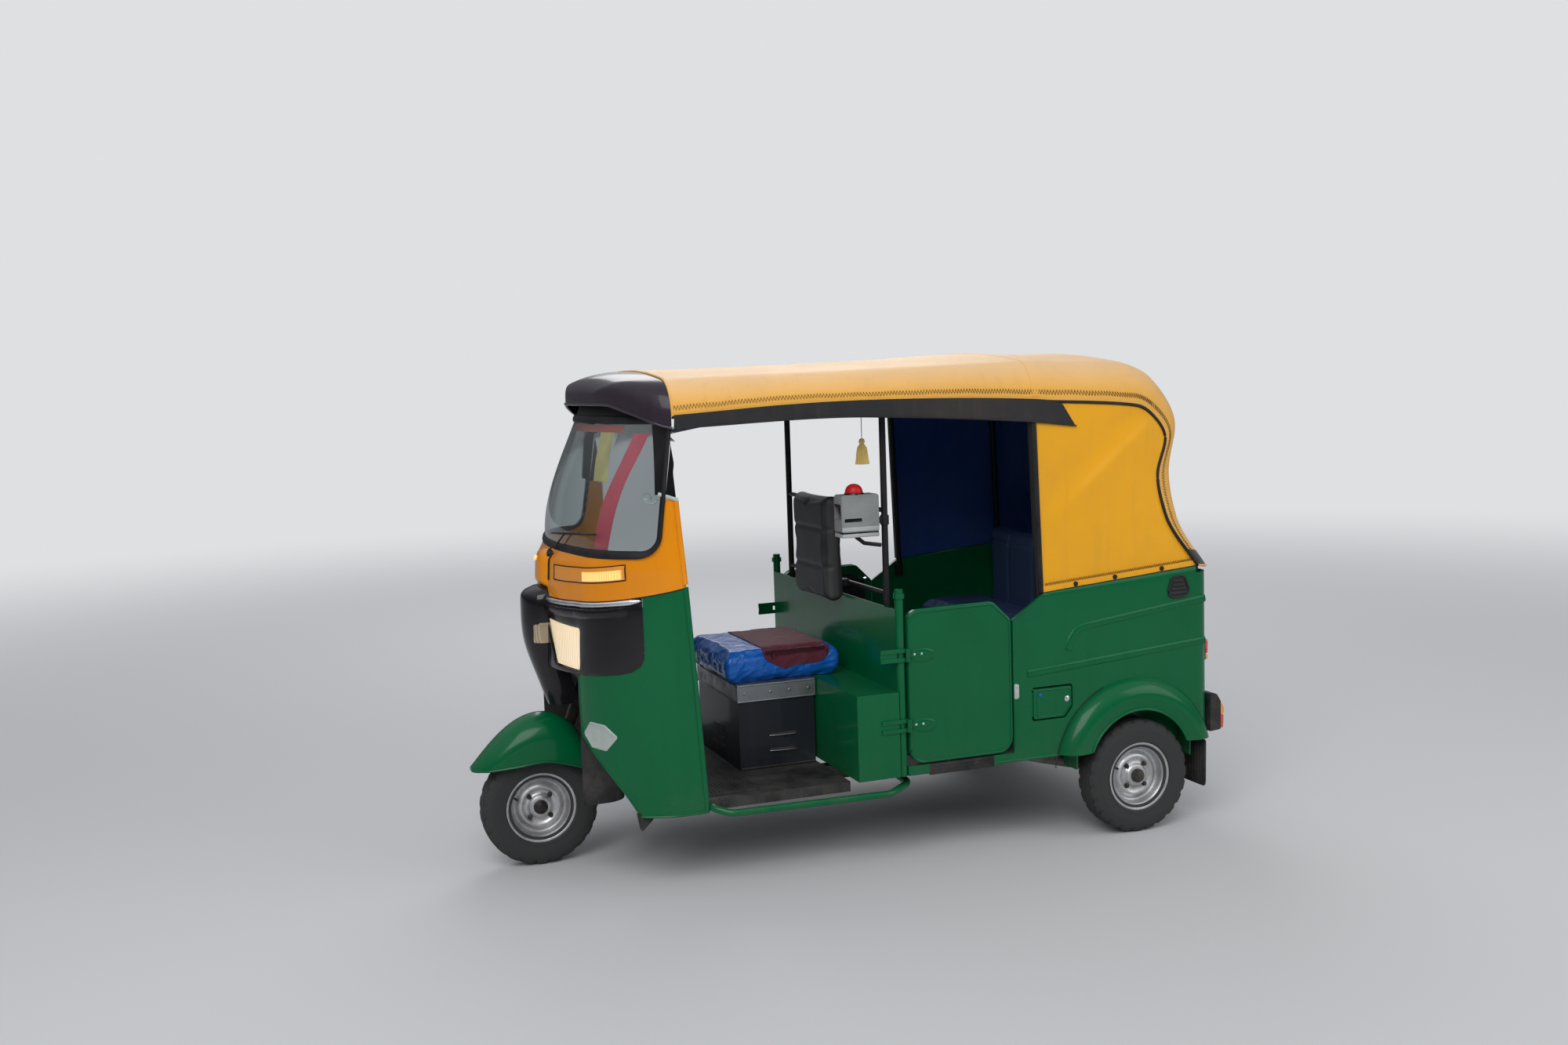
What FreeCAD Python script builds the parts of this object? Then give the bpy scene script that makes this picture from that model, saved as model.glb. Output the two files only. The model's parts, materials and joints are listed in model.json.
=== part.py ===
import FreeCAD, Part
import math
import os
import re

from FreeCAD import Placement, Rotation, Vector

# Three-wheeled auto rickshaw with a folding soft hood, built as separate pieces, in millimetres.
# +X is forward, +Y the vehicle's left side and +Z up; the origin lies on the ground, mid length.

SIZES = (
    # alias, value, meaning
    ("front_axle_x", 1080, "front wheel centre ahead of the origin"),
    ("rear_axle_x", -920, "rear wheel centres behind the origin"),
    ("wheel_radius", 200, "outer radius of a tyre"),
    ("tyre_width", 102, "width of a tyre at its sidewalls"),
    ("rim_radius", 101.6, "bead seat radius of a rim"),
    ("rim_flange_radius", 115, "outer radius of a rim flange"),
    ("rim_width", 78, "width over the rim flanges"),
    ("rim_thickness", 3.2, "sheet thickness of a rim"),
    ("rim_fit", 0.3, "gap between a rim barrel and its tyre"),
    ("hub_radius", 42, "radius of the hub dome"),
    ("axle_radius", 12, "radius of a wheel axle"),
    ("axle_fit", 0.4, "gap round an axle in its hub"),
    ("rear_track_half", 577, "rear wheel centre plane from the middle"),
    ("drum_radius", 88, "radius of a brake drum"),
    ("drum_width", 46, "width of a brake drum"),
    ("drum_gap", 6, "gap between a rim and its brake drum"),
    ("rake_deg", 22, "lean of the steering axis"),
    ("steer_foot_back", 20, "steering axis behind the axle at its foot"),
    ("steer_foot_z", 230, "height of the foot point of the steering axis"),
    ("stem_radius", 20, "radius of the steering stem"),
    ("stem_fit", 0.5, "gap between the stem and its head tube"),
    ("head_wall", 7, "wall of the head tube"),
    ("head_low_z", 618, "lower end of the head tube"),
    ("head_high_z", 790, "upper end of the head tube"),
    ("bar_z", 985, "height of the handlebar clamp"),
    ("bar_half", 250, "half width of the handlebar"),
    ("bar_radius", 12, "radius of the handlebar tube"),
    ("grip_radius", 17, "radius of a grip"),
    ("grip_length", 112, "length of a grip"),
    ("fork_side", 108, "fork leg from the middle of the wheel"),
    ("link_radius", 17, "radius of the trailing link"),
    ("damper_pin", 6, "radius of a damper's mounting pin"),
    ("seat", 0.3, "seating gap between pieces of one body"),
    ("sheet_wall", 6, "thickness of a front panel"),
    ("cowl_rear_back", 447, "cowl rear edge behind the front axle, at its foot"),
    ("cowl_lean_deg", 3.7, "forward lean of the cowl rear edge"),
    ("apron_low_z", 250, "lower edge of the apron"),
    ("belt_z", 922, "height of the colour joint above the front axle"),
    ("belt_rise_deg", 9, "rise of the colour joint towards the rear"),
    ("band_gap", 3, "dark joint between stacked panels"),
    ("arch_half", 300, "half width of the front wheel opening"),
    ("well_back", 245, "rear wall of the front wheel well behind the axle"),
    ("well_wall", 5, "wall of the front wheel well"),
    ("well_top_z", 690, "roof of the front wheel well"),
    ("strip_height", 20, "height of the bright strip"),
    ("strip_proud", 9, "how far the bright strip stands out"),
    ("garnish_height", 216, "height of the lamp garnish"),
    ("garnish_proud", 5, "how far the lamp garnish stands out"),
    ("garnish_rear_back", 262, "rear end of the garnish behind the front axle"),
    ("lamp_depth", 16, "thickness of a headlamp lens"),
    ("lamp_gap", 1.5, "gap round a headlamp lens"),
    ("indicator_low", 62, "indicator lens above the colour joint"),
    ("indicator_height", 46, "height of an indicator lens"),
    ("screen_low_z", 1100, "lower edge of the glass"),
    ("screen_high_z", 1512, "upper edge of the glass"),
    ("screen_side_back", 345, "glass rear edge behind the front axle"),
    ("screen_side_lean_deg", 9, "lean of the glass rear edge"),
    ("screen_corner", 62, "corner radius of the glass"),
    ("glass_thickness", 5, "thickness of the glass"),
    ("gasket_width", 22, "width of the rubber gasket"),
    ("gasket_lap", 5, "how far the gasket laps the glass"),
    ("pillar_joint_z", 1268, "joint of the coloured cowl and black pillars"),
    ("cowl_top_z", 1530, "top of the windscreen frame"),
    ("visor_low_z", 1496, "lower edge of the visor"),
    ("visor_wall", 5, "wall of the visor"),
    ("roof_front_x", 706, "front edge of the hood roof"),
    ("fabric", 6, "thickness of the hood fabric with its lining"),
    ("quarter_front_x", -560, "front edge of the hood quarters at their foot"),
    ("quarter_lean", 20, "how far that edge leans forward at the top"),
    ("hood_split_x", -943, "where the roof ends and the back curtain starts"),
    ("window_half", 285, "half width of the rear window"),
    ("window_low_z", 1130, "lower edge of the rear window"),
    ("window_high_z", 1330, "upper edge of the rear window"),
    ("window_corner", 45, "corner radius of the rear window"),
    ("tube_radius", 11, "radius of a hood frame tube"),
    ("tub_half", 600, "half width of the rear body"),
    ("tub_wall", 12, "thickness of a rear body wall"),
    ("tub_rear_x", -1237, "rear face of the body"),
    ("tub_low_z", 304, "lower edge of the body"),
    ("tub_front_z", 872, "body top edge at the hood's front corner"),
    ("tub_rear_z", 902, "body top edge at the rear"),
    ("tub_corner", 58, "plan radius of the rear body corners"),
    ("tail_half", 520, "half width of the tail panel"),
    ("door_front_x", -50, "front edge of a door"),
    ("door_rear_x", -434, "rear edge of a door"),
    ("door_low_z", 342, "lower edge of a door"),
    ("door_high_z", 862, "upper edge of a door"),
    ("door_notch_z", 796, "height where a door's slope meets its rear edge"),
    ("door_thickness", 24, "thickness of a door"),
    ("door_corner", 52, "corner radius of a door"),
    ("door_gap", 6, "gap round a door"),
    ("hinge_radius", 8, "radius of a door hinge barrel"),
    ("box_front_x", 135, "front face of the cross box"),
    ("bulkhead_x", -15, "front face of the bulkhead"),
    ("bulkhead_z", 862, "top of the bulkhead"),
    ("panel_wall", 8, "wall of the cross box and bulkhead"),
    ("ledge_z", 590, "top of the cross box"),
    ("post_radius", 14, "radius of the corner posts"),
    ("cross_tube_radius", 8, "radius of the cross tubes behind the driver"),
    ("post_z", 930, "top of the corner posts"),
    ("floor_z", 290, "top of the driver's floor"),
    ("floor_half", 522, "half width of the driver's floor"),
    ("floor_wall", 6, "thickness of the floors"),
    ("floor_flange", 34, "depth of the driver's floor edge"),
    ("rear_floor_z", 340, "top of the passenger floor"),
    ("riser_x", -596, "front face of the bench riser"),
    ("bench_z", 588, "top of the bench frame"),
    ("bench_rear_x", -1004, "rear of the bench frame"),
    ("wheelbox_half", 508, "inner wall of a rear wheel box from the middle"),
    ("wheelbox_z", 446, "roof of a rear wheel box"),
    ("wheelbox_front", 232, "wheel box wall ahead of the rear axle"),
    ("wheelbox_back", 236, "wheel box wall behind the rear axle"),
    ("arch_radius", 206, "radius of a rear wheel opening"),
    ("arch_z", 236, "height of the centre of a rear wheel opening"),
    ("flare_radius", 314, "outer radius of a rear fender"),
    ("flare_half", 650, "outermost point of a rear fender from the middle"),
    ("rail_radius", 12, "radius of a step rail"),
    ("rail_z", 254, "height of a step rail"),
    ("seat_box_front_x", 421, "front of the seat box"),
    ("seat_box_rear_x", 143, "rear of the seat box"),
    ("seat_box_half", 230, "half width of the seat box"),
    ("seat_box_z", 552, "top of the seat box"),
    ("band_height", 62, "height of the steel band over the seat box"),
    ("cushion_gap", 0.4, "gap under a cushion"),
    ("cushion_edge", 26, "radius of the edges of a cushion"),
    ("backrest_edge", 20, "radius of the edges of a backrest"),
    ("swage_radius", 7, "radius of the pressed swages along the rear body"),
    ("swage_proud", 3, "how far a swage stands out"),
    ("driver_cushion_height", 108, "thickness of the driver's cushion"),
    ("driver_cushion_half", 250, "half width of the driver's cushion"),
    ("rear_cushion_height", 130, "thickness of the bench cushion"),
    ("rear_back_height", 430, "height of the bench backrest"),
    ("engine_half", 170, "half width of the engine block"),
    ("meter_z", 1098, "underside of the fare meter"),
    ("pole_y", 455, "poles behind the driver from the middle"),
    ("pole_x", -44, "poles behind the driver"),
    ("bumper_radius", 16, "radius of the rear bumper tube"),
    ("corner_lamp_rear_x", -1300, "rear face of the corner lamps"),
    ("lid_half", 330, "half width of the engine lid"),
    ("lid_low_z", 396, "lower edge of the engine lid"),
    ("lid_high_z", 790, "upper edge of the engine lid"),
    ("lid_gap", 6, "gap round the engine lid"),
    ("flap_front_x", -513, "front edge of the service flap"),
    ("flap_rear_x", -666, "rear edge of the service flap"),
    ("flap_low_z", 440, "lower edge of the service flap"),
    ("flap_high_z", 550, "upper edge of the service flap"),
    ("mudflap_x", -1192, "rear mudflaps"),
    ("mudflap_low_z", 132, "lower edge of the mudflaps"),
    ("mudflap_wall", 6, "thickness of the mudflaps"),
)

doc = FreeCAD.newDocument("AutoRickshaw")
sheet = doc.addObject("Spreadsheet::Sheet", "Sizes")
for row, (alias, value, meaning) in enumerate(SIZES, 1):
    sheet.set(f"A{row}", meaning)
    sheet.set(f"B{row}", str(value))
    sheet.setAlias(f"B{row}", alias)
doc.recompute()
ALIASES = {alias for alias, value, meaning in SIZES}
NODES = []


class SheetReader:
    """Reads a size from the sheet by its alias, as a plain number."""

    def __getattr__(self, alias):
        return float(sheet.get(alias))


S = SheetReader()


def formula(text):
    """An expression in which plain aliases point to the sheet."""
    def refer(match):
        word = match.group()
        return "Sizes." + word if word in ALIASES else word
    return re.sub(r"[A-Za-z_]\w*", refer, str(text))


def bind(obj, **sizes):
    """Bind properties to expressions; a double underscore stands for the dot in a path."""
    for path, text in sizes.items():
        obj.setExpression(path.replace("__", "."), formula(text))
    return obj


def block(label, x, y, z):
    """A box between two limits on each axis, given as expressions."""
    obj = doc.addObject("Part::Box", label)
    return bind(obj, Length=f"({x[1]}) - ({x[0]})", Width=f"({y[1]}) - ({y[0]})",
                Height=f"({z[1]}) - ({z[0]})", Placement__Base__x=x[0],
                Placement__Base__y=y[0], Placement__Base__z=z[0])


def rod(label, radius, length, base, axis):
    """A cylinder from a base point along X, Y or Z."""
    obj = doc.addObject("Part::Cylinder", label)
    turn = {"x": Rotation(Vector(0, 1, 0), 90), "y": Rotation(Vector(1, 0, 0), -90), "z": Rotation()}
    obj.Placement = Placement(Vector(), turn[axis])
    return bind(obj, Radius=radius, Height=length, Placement__Base__x=base[0],
                Placement__Base__y=base[1], Placement__Base__z=base[2])


def cut(label, base, tool):
    obj = doc.addObject("Part::Cut", label)
    obj.Base, obj.Tool = base, tool
    return obj


def fuse(label, *shapes):
    obj = doc.addObject("Part::MultiFuse", label)
    obj.Shapes = list(shapes)
    return obj


def feature(label, shape):
    """An object whose shape the code below works out."""
    obj = doc.addObject("Part::Feature", label)
    obj.Shape = shape
    return obj


def node(obj, name):
    """Mark an object as a finished piece with its own name."""
    obj.Label = name
    NODES.append(obj)
    return obj


def mirror(label, source):
    """The same piece on the other side of the vehicle."""
    obj = doc.addObject("Part::Mirroring", label)
    obj.Source, obj.Normal = source, Vector(0, 1, 0)
    return obj


def both_sides(shape):
    """A shape and its mirror image, as solids that don't touch."""
    return Part.makeCompound([shape, shape.mirror(Vector(), Vector(0, 1, 0))])


def arc(first, middle, last):
    return Part.Arc(first, middle, last).toShape()


def line(first, last):
    return Part.LineSegment(first, last).toShape()


def corner_cut(before, corner, after, radius):
    """Where a round corner starts and ends, with its middle point."""
    one, two = (before - corner), (after - corner)
    half = one.getAngle(two) / 2
    reach = min(radius / math.tan(half), 0.49 * one.Length, 0.49 * two.Length)
    radius = reach * math.tan(half)
    one.normalize()
    two.normalize()
    inward = one + two
    inward.normalize()
    middle = corner + inward * (radius / math.sin(half) - radius)
    return corner + one * reach, middle, corner + two * reach


def rounded_path(points, radius):
    """An open wire of straight runs joined by tangent arcs."""
    edges, start = [], points[0]
    for before, corner, after in zip(points, points[1:], points[2:]):
        first, middle, last = corner_cut(before, corner, after, radius)
        edges += [line(start, first), arc(first, middle, last)]
        start = last
    edges.append(line(start, points[-1]))
    return Part.Wire(edges)


def rounded_face(points, radii):
    """A flat face whose corners are rounded by a radius each; nought keeps one sharp."""
    count, corners = len(points), []
    for i, (corner, radius) in enumerate(zip(points, radii)):
        if radius:
            corners.append(corner_cut(points[i - 1], corner, points[(i + 1) % count], radius))
        else:
            corners.append((corner,))
    edges = []
    for i, ends in enumerate(corners):
        if len(ends) == 3:
            edges.append(arc(*ends))
        following = corners[(i + 1) % count]
        if (ends[-1] - following[0]).Length > 1e-6:
            edges.append(line(ends[-1], following[0]))
    return Part.Face(Part.Wire(edges))


def side_plate(outline, y_low, y_high, radius=0):
    """A plate seen from the side: its outline is (x, z) points, it spans y_low to y_high."""
    radii = radius if isinstance(radius, (list, tuple)) else [radius] * len(outline)
    face = rounded_face([Vector(x, y_low, z) for x, z in outline], radii)
    return face.extrude(Vector(0, y_high - y_low, 0))


def front_plate(outline, x_low, x_high, radius=0):
    """A plate seen from the front: its outline is (y, z) points, it spans x_low to x_high."""
    radii = radius if isinstance(radius, (list, tuple)) else [radius] * len(outline)
    face = rounded_face([Vector(x_low, y, z) for y, z in outline], radii)
    return face.extrude(Vector(x_high - x_low, 0, 0))


def tube(points, radius, bend):
    """A round bar or tube outline swept along straight runs and tangent arcs."""
    path = rounded_path(points, bend)
    start = path.Edges[0]
    circle = Part.makeCircle(radius, points[0], start.tangentAt(start.FirstParameter))
    return path.makePipeShell([Part.Wire([circle])], True, True)


def solid_box(x, y, z):
    """A box shape between two limits on each axis, as numbers."""
    return Part.makeBox(x[1] - x[0], y[1] - y[0], z[1] - z[0], Vector(x[0], y[0], z[0]))


FAR = 1500.0


def slab(low, high):
    """The layer between two heights above the slanted colour joint."""
    layer = solid_box((-FAR, FAR), (-FAR, FAR), (low, high))
    layer.rotate(Vector(), Vector(0, 1, 0), S.belt_rise_deg)
    layer.translate(Vector(S.front_axle_x, 0, S.belt_z))
    return layer


def ahead_of_rear_edge(setback=0.0):
    """Everything ahead of the cowl's leaning rear edge."""
    region = solid_box((0, 2 * FAR), (-FAR, FAR), (-FAR, FAR))
    region.rotate(Vector(), Vector(0, 1, 0), S.cowl_lean_deg)
    region.translate(Vector(S.front_axle_x - S.cowl_rear_back + setback, 0, S.apron_low_z))
    return region


# Front body

# Plan sections of the front body, for its left half; x counts from the front axle.
# height, half width, where the side ends, the turn's middle (x, y), the face's end (x, y), nose x
LOWER_SECTIONS = (
    (225, 530, -362, -185, 444, -112, 300, -55),
    (600, 540, -360, -175, 452, -94, 300, -42),
    (1000, 541, -350, -190, 460, -104, 300, -50),
)
BAND_SECTIONS = (
    (900, 541, -355, -187, 456, -100, 300, -48),
    (1052, 540, -345, -192, 464, -106, 305, -58),
    (1096, 536, -338, -204, 464, -128, 315, -90),
)
SCREEN_SECTIONS = (
    (1096, 536, -338, -204, 464, -128, 315, -90),
    (1240, 528, -345, -218, 456, -148, 315, -108),
    (1390, 520, -358, -262, 448, -205, 312, -160),
    (1540, 510, -372, -318, 438, -272, 310, -222),
)
CORNER_SHARE = 0.72


def plan_wire(section, offset):
    """One closed plan outline of the front body, moved in by the offset."""
    height, half, side, turn_x, turn_y, face_x, face_y, nose = section
    axle = S.front_axle_x
    rear = axle - S.cowl_rear_back - 4 * S.cowl_rear_back / 5
    half_in = half - offset
    turn = (axle + turn_x - CORNER_SHARE * offset, turn_y - CORNER_SHARE * offset)
    face = (axle + face_x - offset, face_y - offset / 4)

    def point(x, y):
        return Vector(x, y, height)

    corners = [point(rear, half_in), point(axle + side, half_in), point(*turn), point(*face)]
    other = [Vector(p.x, -p.y, p.z) for p in corners]
    return Part.Wire([
        line(corners[0], corners[1]), arc(*corners[1:4]),
        arc(corners[3], point(axle + nose - offset, 0), other[3]),
        arc(other[3], other[2], other[1]), line(other[1], other[0]), line(other[0], corners[0])])


def front_solid(sections, offset, ruled=False):
    return Part.makeLoft([plan_wire(section, offset) for section in sections], True, ruled)


def front_shell(sections, outer, inner, ruled=False):
    """The wall between two offsets of the front body; a negative one stands proud."""
    return front_solid(sections, outer, ruled).cut(front_solid(sections, inner, ruled))


def garnish_zone(low, high, setback=0.0):
    """The part of a layer at the colour joint that lies ahead of the garnish's rear end."""
    start = S.front_axle_x - S.garnish_rear_back + setback
    return slab(low, high).common(solid_box((start, start + FAR), (-FAR, FAR), (0, FAR)))


def headlamp_outline(gap=0.0):
    """The left headlamp from the front, as (y, z) points: a trapezoid with a slanted inner edge."""
    low, high = S.belt_z - 212 - gap, S.belt_z - 62 + gap
    return ((78 - gap, high), (322 + gap, high - 8), (316 + gap, low), (158 - gap, low + 4))


def lamp_cutter(gap=0.0):
    axle = S.front_axle_x
    prism = front_plate(headlamp_outline(gap), axle - 180, axle + 60, 12)
    return prism.fuse(prism.mirror(Vector(), Vector(0, 1, 0)))


def make_apron():
    wall, axle = S.sheet_wall, S.front_axle_x
    shell = front_shell(LOWER_SECTIONS, 0, wall)
    shell = shell.common(slab(-FAR, -S.band_gap)).common(ahead_of_rear_edge())
    shell = shell.cut(garnish_zone(-S.garnish_height - S.strip_height - 2 * S.seat - 1, FAR, -S.seat))
    low = S.apron_low_z
    shell = shell.common(solid_box((-FAR, FAR), (-FAR, FAR), (low, FAR)))
    opening = solid_box((axle - S.well_back, FAR), (-S.arch_half, S.arch_half), (0, S.belt_z))
    slope = side_plate(((axle - 232, low - 20), (axle - 222, low + 24), (axle - 90, low + 236),
                        (axle - 82, low + 420), (axle + 90, low + 420), (axle + 90, low - 20)),
                       -FAR, FAR, (20, 40, 160, 0, 0, 0))
    return shell.cut(opening).cut(slope)


node(feature("Apron", make_apron()), "apron")


def make_wheel_well():
    """The black inner housing behind the front wheel: rear wall, sides and roof."""
    axle, wall = S.front_axle_x, S.well_wall
    rear, half = axle - S.well_back, S.arch_half
    low, high = S.apron_low_z + 10, S.well_top_z

    def housing(inset, drop):
        outline = ((rear + inset, half - inset), (axle - 92, half - inset),
                   (axle - 92, inset - half), (rear + inset, inset - half))
        face = rounded_face([Vector(x, y, low - drop) for x, y in outline], (95, 0, 0, 95))
        return face.extrude(Vector(0, 0, high - inset - low + drop))

    opened = housing(wall, 20).fuse(solid_box((axle - 110, axle), (-half + wall, half - wall),
                                              (low - 20, high - wall)))
    bore = S.stem_radius + S.stem_fit
    head = steer_cylinder(bore + S.head_wall, S.head_low_z, S.head_high_z)
    return housing(0, 0).cut(opened).fuse(head).cut(steer_cylinder(bore, S.head_low_z - 60, S.head_high_z + 60))


def steer_point(height):
    """The point of the steering axis at a height."""
    back = (height - S.steer_foot_z) * math.tan(math.radians(S.rake_deg))
    return Vector(S.front_axle_x - S.steer_foot_back - back, 0, height)


def steer_cylinder(radius, low, high):
    start, end = steer_point(low), steer_point(high)
    return Part.makeCylinder(radius, (end - start).Length, start, end - start)


node(feature("WheelWell", make_wheel_well()), "wheel_well")


# The nose of the garnish: height, front x from the axle, half width.
NOSE_SECTIONS = (
    (548, -50, 40),
    (622, -24, 60),
    (770, 22, 84),
    (900, 28, 86),
    (962, 12, 66),
)


def make_nose(offset=0.0):
    axle, wires = S.front_axle_x, []
    for height, front, half in NOSE_SECTIONS:
        rear, side = axle - 110, half - offset
        shoulder = axle + front - 42 - offset

        def point(x, y):
            return Vector(x, y, height)

        wires.append(Part.Wire([
            line(point(rear, -side), point(shoulder, -side)),
            arc(point(shoulder, -side), point(axle + front - offset, 0), point(shoulder, side)),
            line(point(shoulder, side), point(rear, side)), line(point(rear, side), point(rear, -side))]))
    return Part.makeLoft(wires, True, False)


def make_garnish():
    """The glossy black lamp surround with its brow and nose."""
    high = -S.strip_height - 1 - S.seat
    low = high - S.garnish_height
    surround = front_shell(LOWER_SECTIONS, -S.garnish_proud, S.sheet_wall).common(garnish_zone(low, high))
    brow = front_shell(LOWER_SECTIONS, -S.garnish_proud - 12, 0).common(garnish_zone(high - 34, high, 40))
    surround = surround.fuse(brow)
    wall = make_nose().cut(make_nose(S.sheet_wall))
    wall = wall.cut(front_solid(LOWER_SECTIONS, S.sheet_wall)).common(slab(-FAR, high))
    inside = make_nose(S.sheet_wall).common(solid_box((0, FAR), (-FAR, FAR), (0, S.belt_z - 60)))
    return surround.cut(lamp_cutter(S.lamp_gap)).cut(inside).fuse(wall)


node(feature("Garnish", make_garnish()), "lamp_garnish")


def make_headlamps():
    lens = front_shell(LOWER_SECTIONS, -S.garnish_proud + 2, S.lamp_depth).common(lamp_cutter())
    return lens.cut(make_nose())


node(feature("Headlamps", make_headlamps()), "headlamps")


def make_bright_strip():
    strip = front_shell(LOWER_SECTIONS, -S.strip_proud, S.sheet_wall)
    return strip.common(garnish_zone(-S.strip_height - 1, -1)).cut(make_nose())


node(feature("BrightStrip", make_bright_strip()), "bright_strip")


def screen_outline(grow=0.0):
    """The glass seen from the side: everything ahead of its leaning rear edge, grown evenly."""
    rear = S.front_axle_x - S.screen_side_back - grow
    low, high = S.screen_low_z - grow, S.screen_high_z + grow
    lean = (high - low) * math.tan(math.radians(S.screen_side_lean_deg))
    front = S.front_axle_x + 60
    outline = ((rear + 36, low), (rear + 36 - lean, high), (front, high), (front, low))
    corner = S.screen_corner + grow
    return side_plate(outline, -FAR, FAR, (corner, corner / 2, 0, 0))


def indicator_zone(gap=0.0):
    layer = slab(S.indicator_low - gap, S.indicator_low + S.indicator_height + gap)
    left = solid_box((S.front_axle_x - 218 - gap, FAR), (132 - gap, FAR), (0, FAR))
    return layer.common(left.fuse(left.mirror(Vector(), Vector(0, 1, 0))))


def make_cowl():
    """The coloured panel under and beside the windscreen."""
    wall = S.sheet_wall
    band = front_shell(BAND_SECTIONS, 0, wall, True)
    sides = front_shell(SCREEN_SECTIONS, 0, wall)
    panel = band.fuse(sides).common(ahead_of_rear_edge())
    panel = panel.common(slab(S.band_gap / 3, FAR))
    panel = panel.common(solid_box((-FAR, FAR), (-FAR, FAR), (0, S.pillar_joint_z)))
    lip = front_shell(LOWER_SECTIONS, wall + S.seat, 2 * wall).common(ahead_of_rear_edge(2))
    panel = panel.fuse(lip.common(slab(-14, 10)).cut(make_nose()))
    return panel.cut(screen_outline(S.gasket_width - S.gasket_lap)).cut(indicator_zone(S.lamp_gap))


node(feature("Cowl", make_cowl()), "cowl")


def make_indicators():
    lens = front_shell(BAND_SECTIONS, -3, S.sheet_wall, True)
    return lens.common(indicator_zone())


node(feature("Indicators", make_indicators()), "front_indicators")


def make_header():
    """The black upper pillars and the rail over the glass."""
    shell = front_shell(SCREEN_SECTIONS, 0, S.sheet_wall).common(ahead_of_rear_edge())
    shell = shell.common(solid_box((-FAR, FAR), (-FAR, FAR), (S.pillar_joint_z + S.seat, S.cowl_top_z)))
    return shell.cut(screen_outline(S.gasket_width - S.gasket_lap))


node(feature("Header", make_header()), "windscreen_header")


def make_gasket():
    grow = S.gasket_width - S.gasket_lap
    ring = front_shell(SCREEN_SECTIONS, -4, S.sheet_wall + 5)
    ring = ring.common(screen_outline(grow)).cut(screen_outline(-S.gasket_lap))
    groove = front_shell(SCREEN_SECTIONS, 2, 2 + S.glass_thickness).common(screen_outline())
    return ring.cut(groove)


node(feature("Gasket", make_gasket()), "windscreen_gasket")


def make_glass():
    shell = front_shell(SCREEN_SECTIONS, 2.2, 1.8 + S.glass_thickness)
    return shell.common(screen_outline(-0.3))


node(feature("Glass", make_glass()), "windscreen")

# Visor sections along the vehicle: x from the roof's front edge, half width, crest height, shoulder.
VISOR_SECTIONS = (
    (0, 538, 1672, 150),
    (58, 500, 1671, 150),
    (112, 420, 1660, 140),
    (150, 318, 1636, 120),
    (174, 190, 1600, 92),
)


def arch_wire(x, low, half, crest, shoulder, inset=0.0):
    """A closed cross-section: flat foot, upright sides, round shoulders and a slightly bowed top."""
    side, top = half - inset, crest - inset
    drop = shoulder

    def point(y, z):
        return Vector(x, y, z)

    right = [point(side, low), point(side, top - drop), point(side - drop * 0.2, top - drop * 0.42),
             point(side - drop * 0.62, top - drop * 0.2)]
    left = [Vector(p.x, -p.y, p.z) for p in right]
    return Part.Wire([line(right[0], right[1]), arc(*right[1:4]), arc(right[3], point(0, top), left[3]),
                      arc(left[3], left[2], left[1]), line(left[1], left[0]), line(left[0], right[0])])


def make_visor():
    """The dark domed peak over the windscreen."""
    def dome(inset, low):
        wires = [arch_wire(S.roof_front_x + x - (inset if x else -S.seat), low, half, crest, shoulder, inset)
                 for x, half, crest, shoulder in VISOR_SECTIONS]
        return Part.makeLoft(wires, True, False)
    shell = dome(0, S.visor_low_z).cut(dome(S.visor_wall, S.visor_low_z - 20))
    return shell.cut(front_solid(SCREEN_SECTIONS, -S.seat).common(
        solid_box((0, FAR), (-FAR, FAR), (0, S.cowl_top_z))))


node(feature("Visor", make_visor()), "visor")


def make_dash():
    """The narrow shelf under the windscreen, with a lip and the round instrument's housing."""
    inner = front_solid(BAND_SECTIONS, S.sheet_wall + 1, True)
    axle = S.front_axle_x
    shelf = inner.common(solid_box((axle - 152, axle), (-430, 430), (1040, 1046)))
    lip = inner.common(solid_box((axle - 152, axle - 146), (-430, 430), (960, 1046)))
    pod = Part.makeCylinder(52, 60, Vector(axle - 158, 0, 1000), Vector(1, 0, 0.35))
    return shelf.fuse(lip).fuse(pod.common(inner))


node(feature("Dash", make_dash()), "dash_panel")

# Hood

# The band of the hood: seam x and z, half width, crest x and z.
ROOF_SECTIONS = (
    (706, 1523, 540, 706, 1673),
    (235, 1545, 566, 235, 1684),
    (-198, 1543, 590, -198, 1692),
    (-560, 1526, 592, -570, 1698),
    (-943, 1498, 593, -900, 1694),
)
BACK_SECTIONS = (
    (-943, 1498, 593, -900, 1694),
    (-1004, 1466, 592, -1052, 1640),
    (-1059, 1378, 591, -1172, 1452),
    (-1026, 1250, 592, -1146, 1262),
    (-1056, 1113, 594, -1172, 1094),
    (-1184, 924, 598, -1284, 906),
)
SHOULDER_POINTS = ((0.0, 0.0), (20.0, 0.46), (94.0, 0.80))


def band_wire(section, inset, sink):
    """One arched cross-section of the hood band, square to its run."""
    seam_x, seam_z, half, crest_x, crest_z = section
    seam, crest = Vector(seam_x, 0, seam_z), Vector(crest_x, 0, crest_z)
    rise = crest - seam
    height = rise.Length - inset
    rise.normalize()

    def point(y, up):
        return seam + rise * up + Vector(0, y, 0)

    side = half - inset
    right = [point(side - inward, share * height) for inward, share in SHOULDER_POINTS]
    left = [Vector(p.x, -p.y, p.z) for p in right]
    edges = [arc(*right), arc(right[2], point(0, height), left[2]), arc(left[2], left[1], left[0])]
    if sink:
        low_right, low_left = point(side, -sink), point(-side, -sink)
        edges += [line(left[0], low_left), line(low_left, low_right), line(low_right, right[0])]
    else:
        edges.append(line(left[0], right[0]))
    return Part.Wire(edges)


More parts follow.
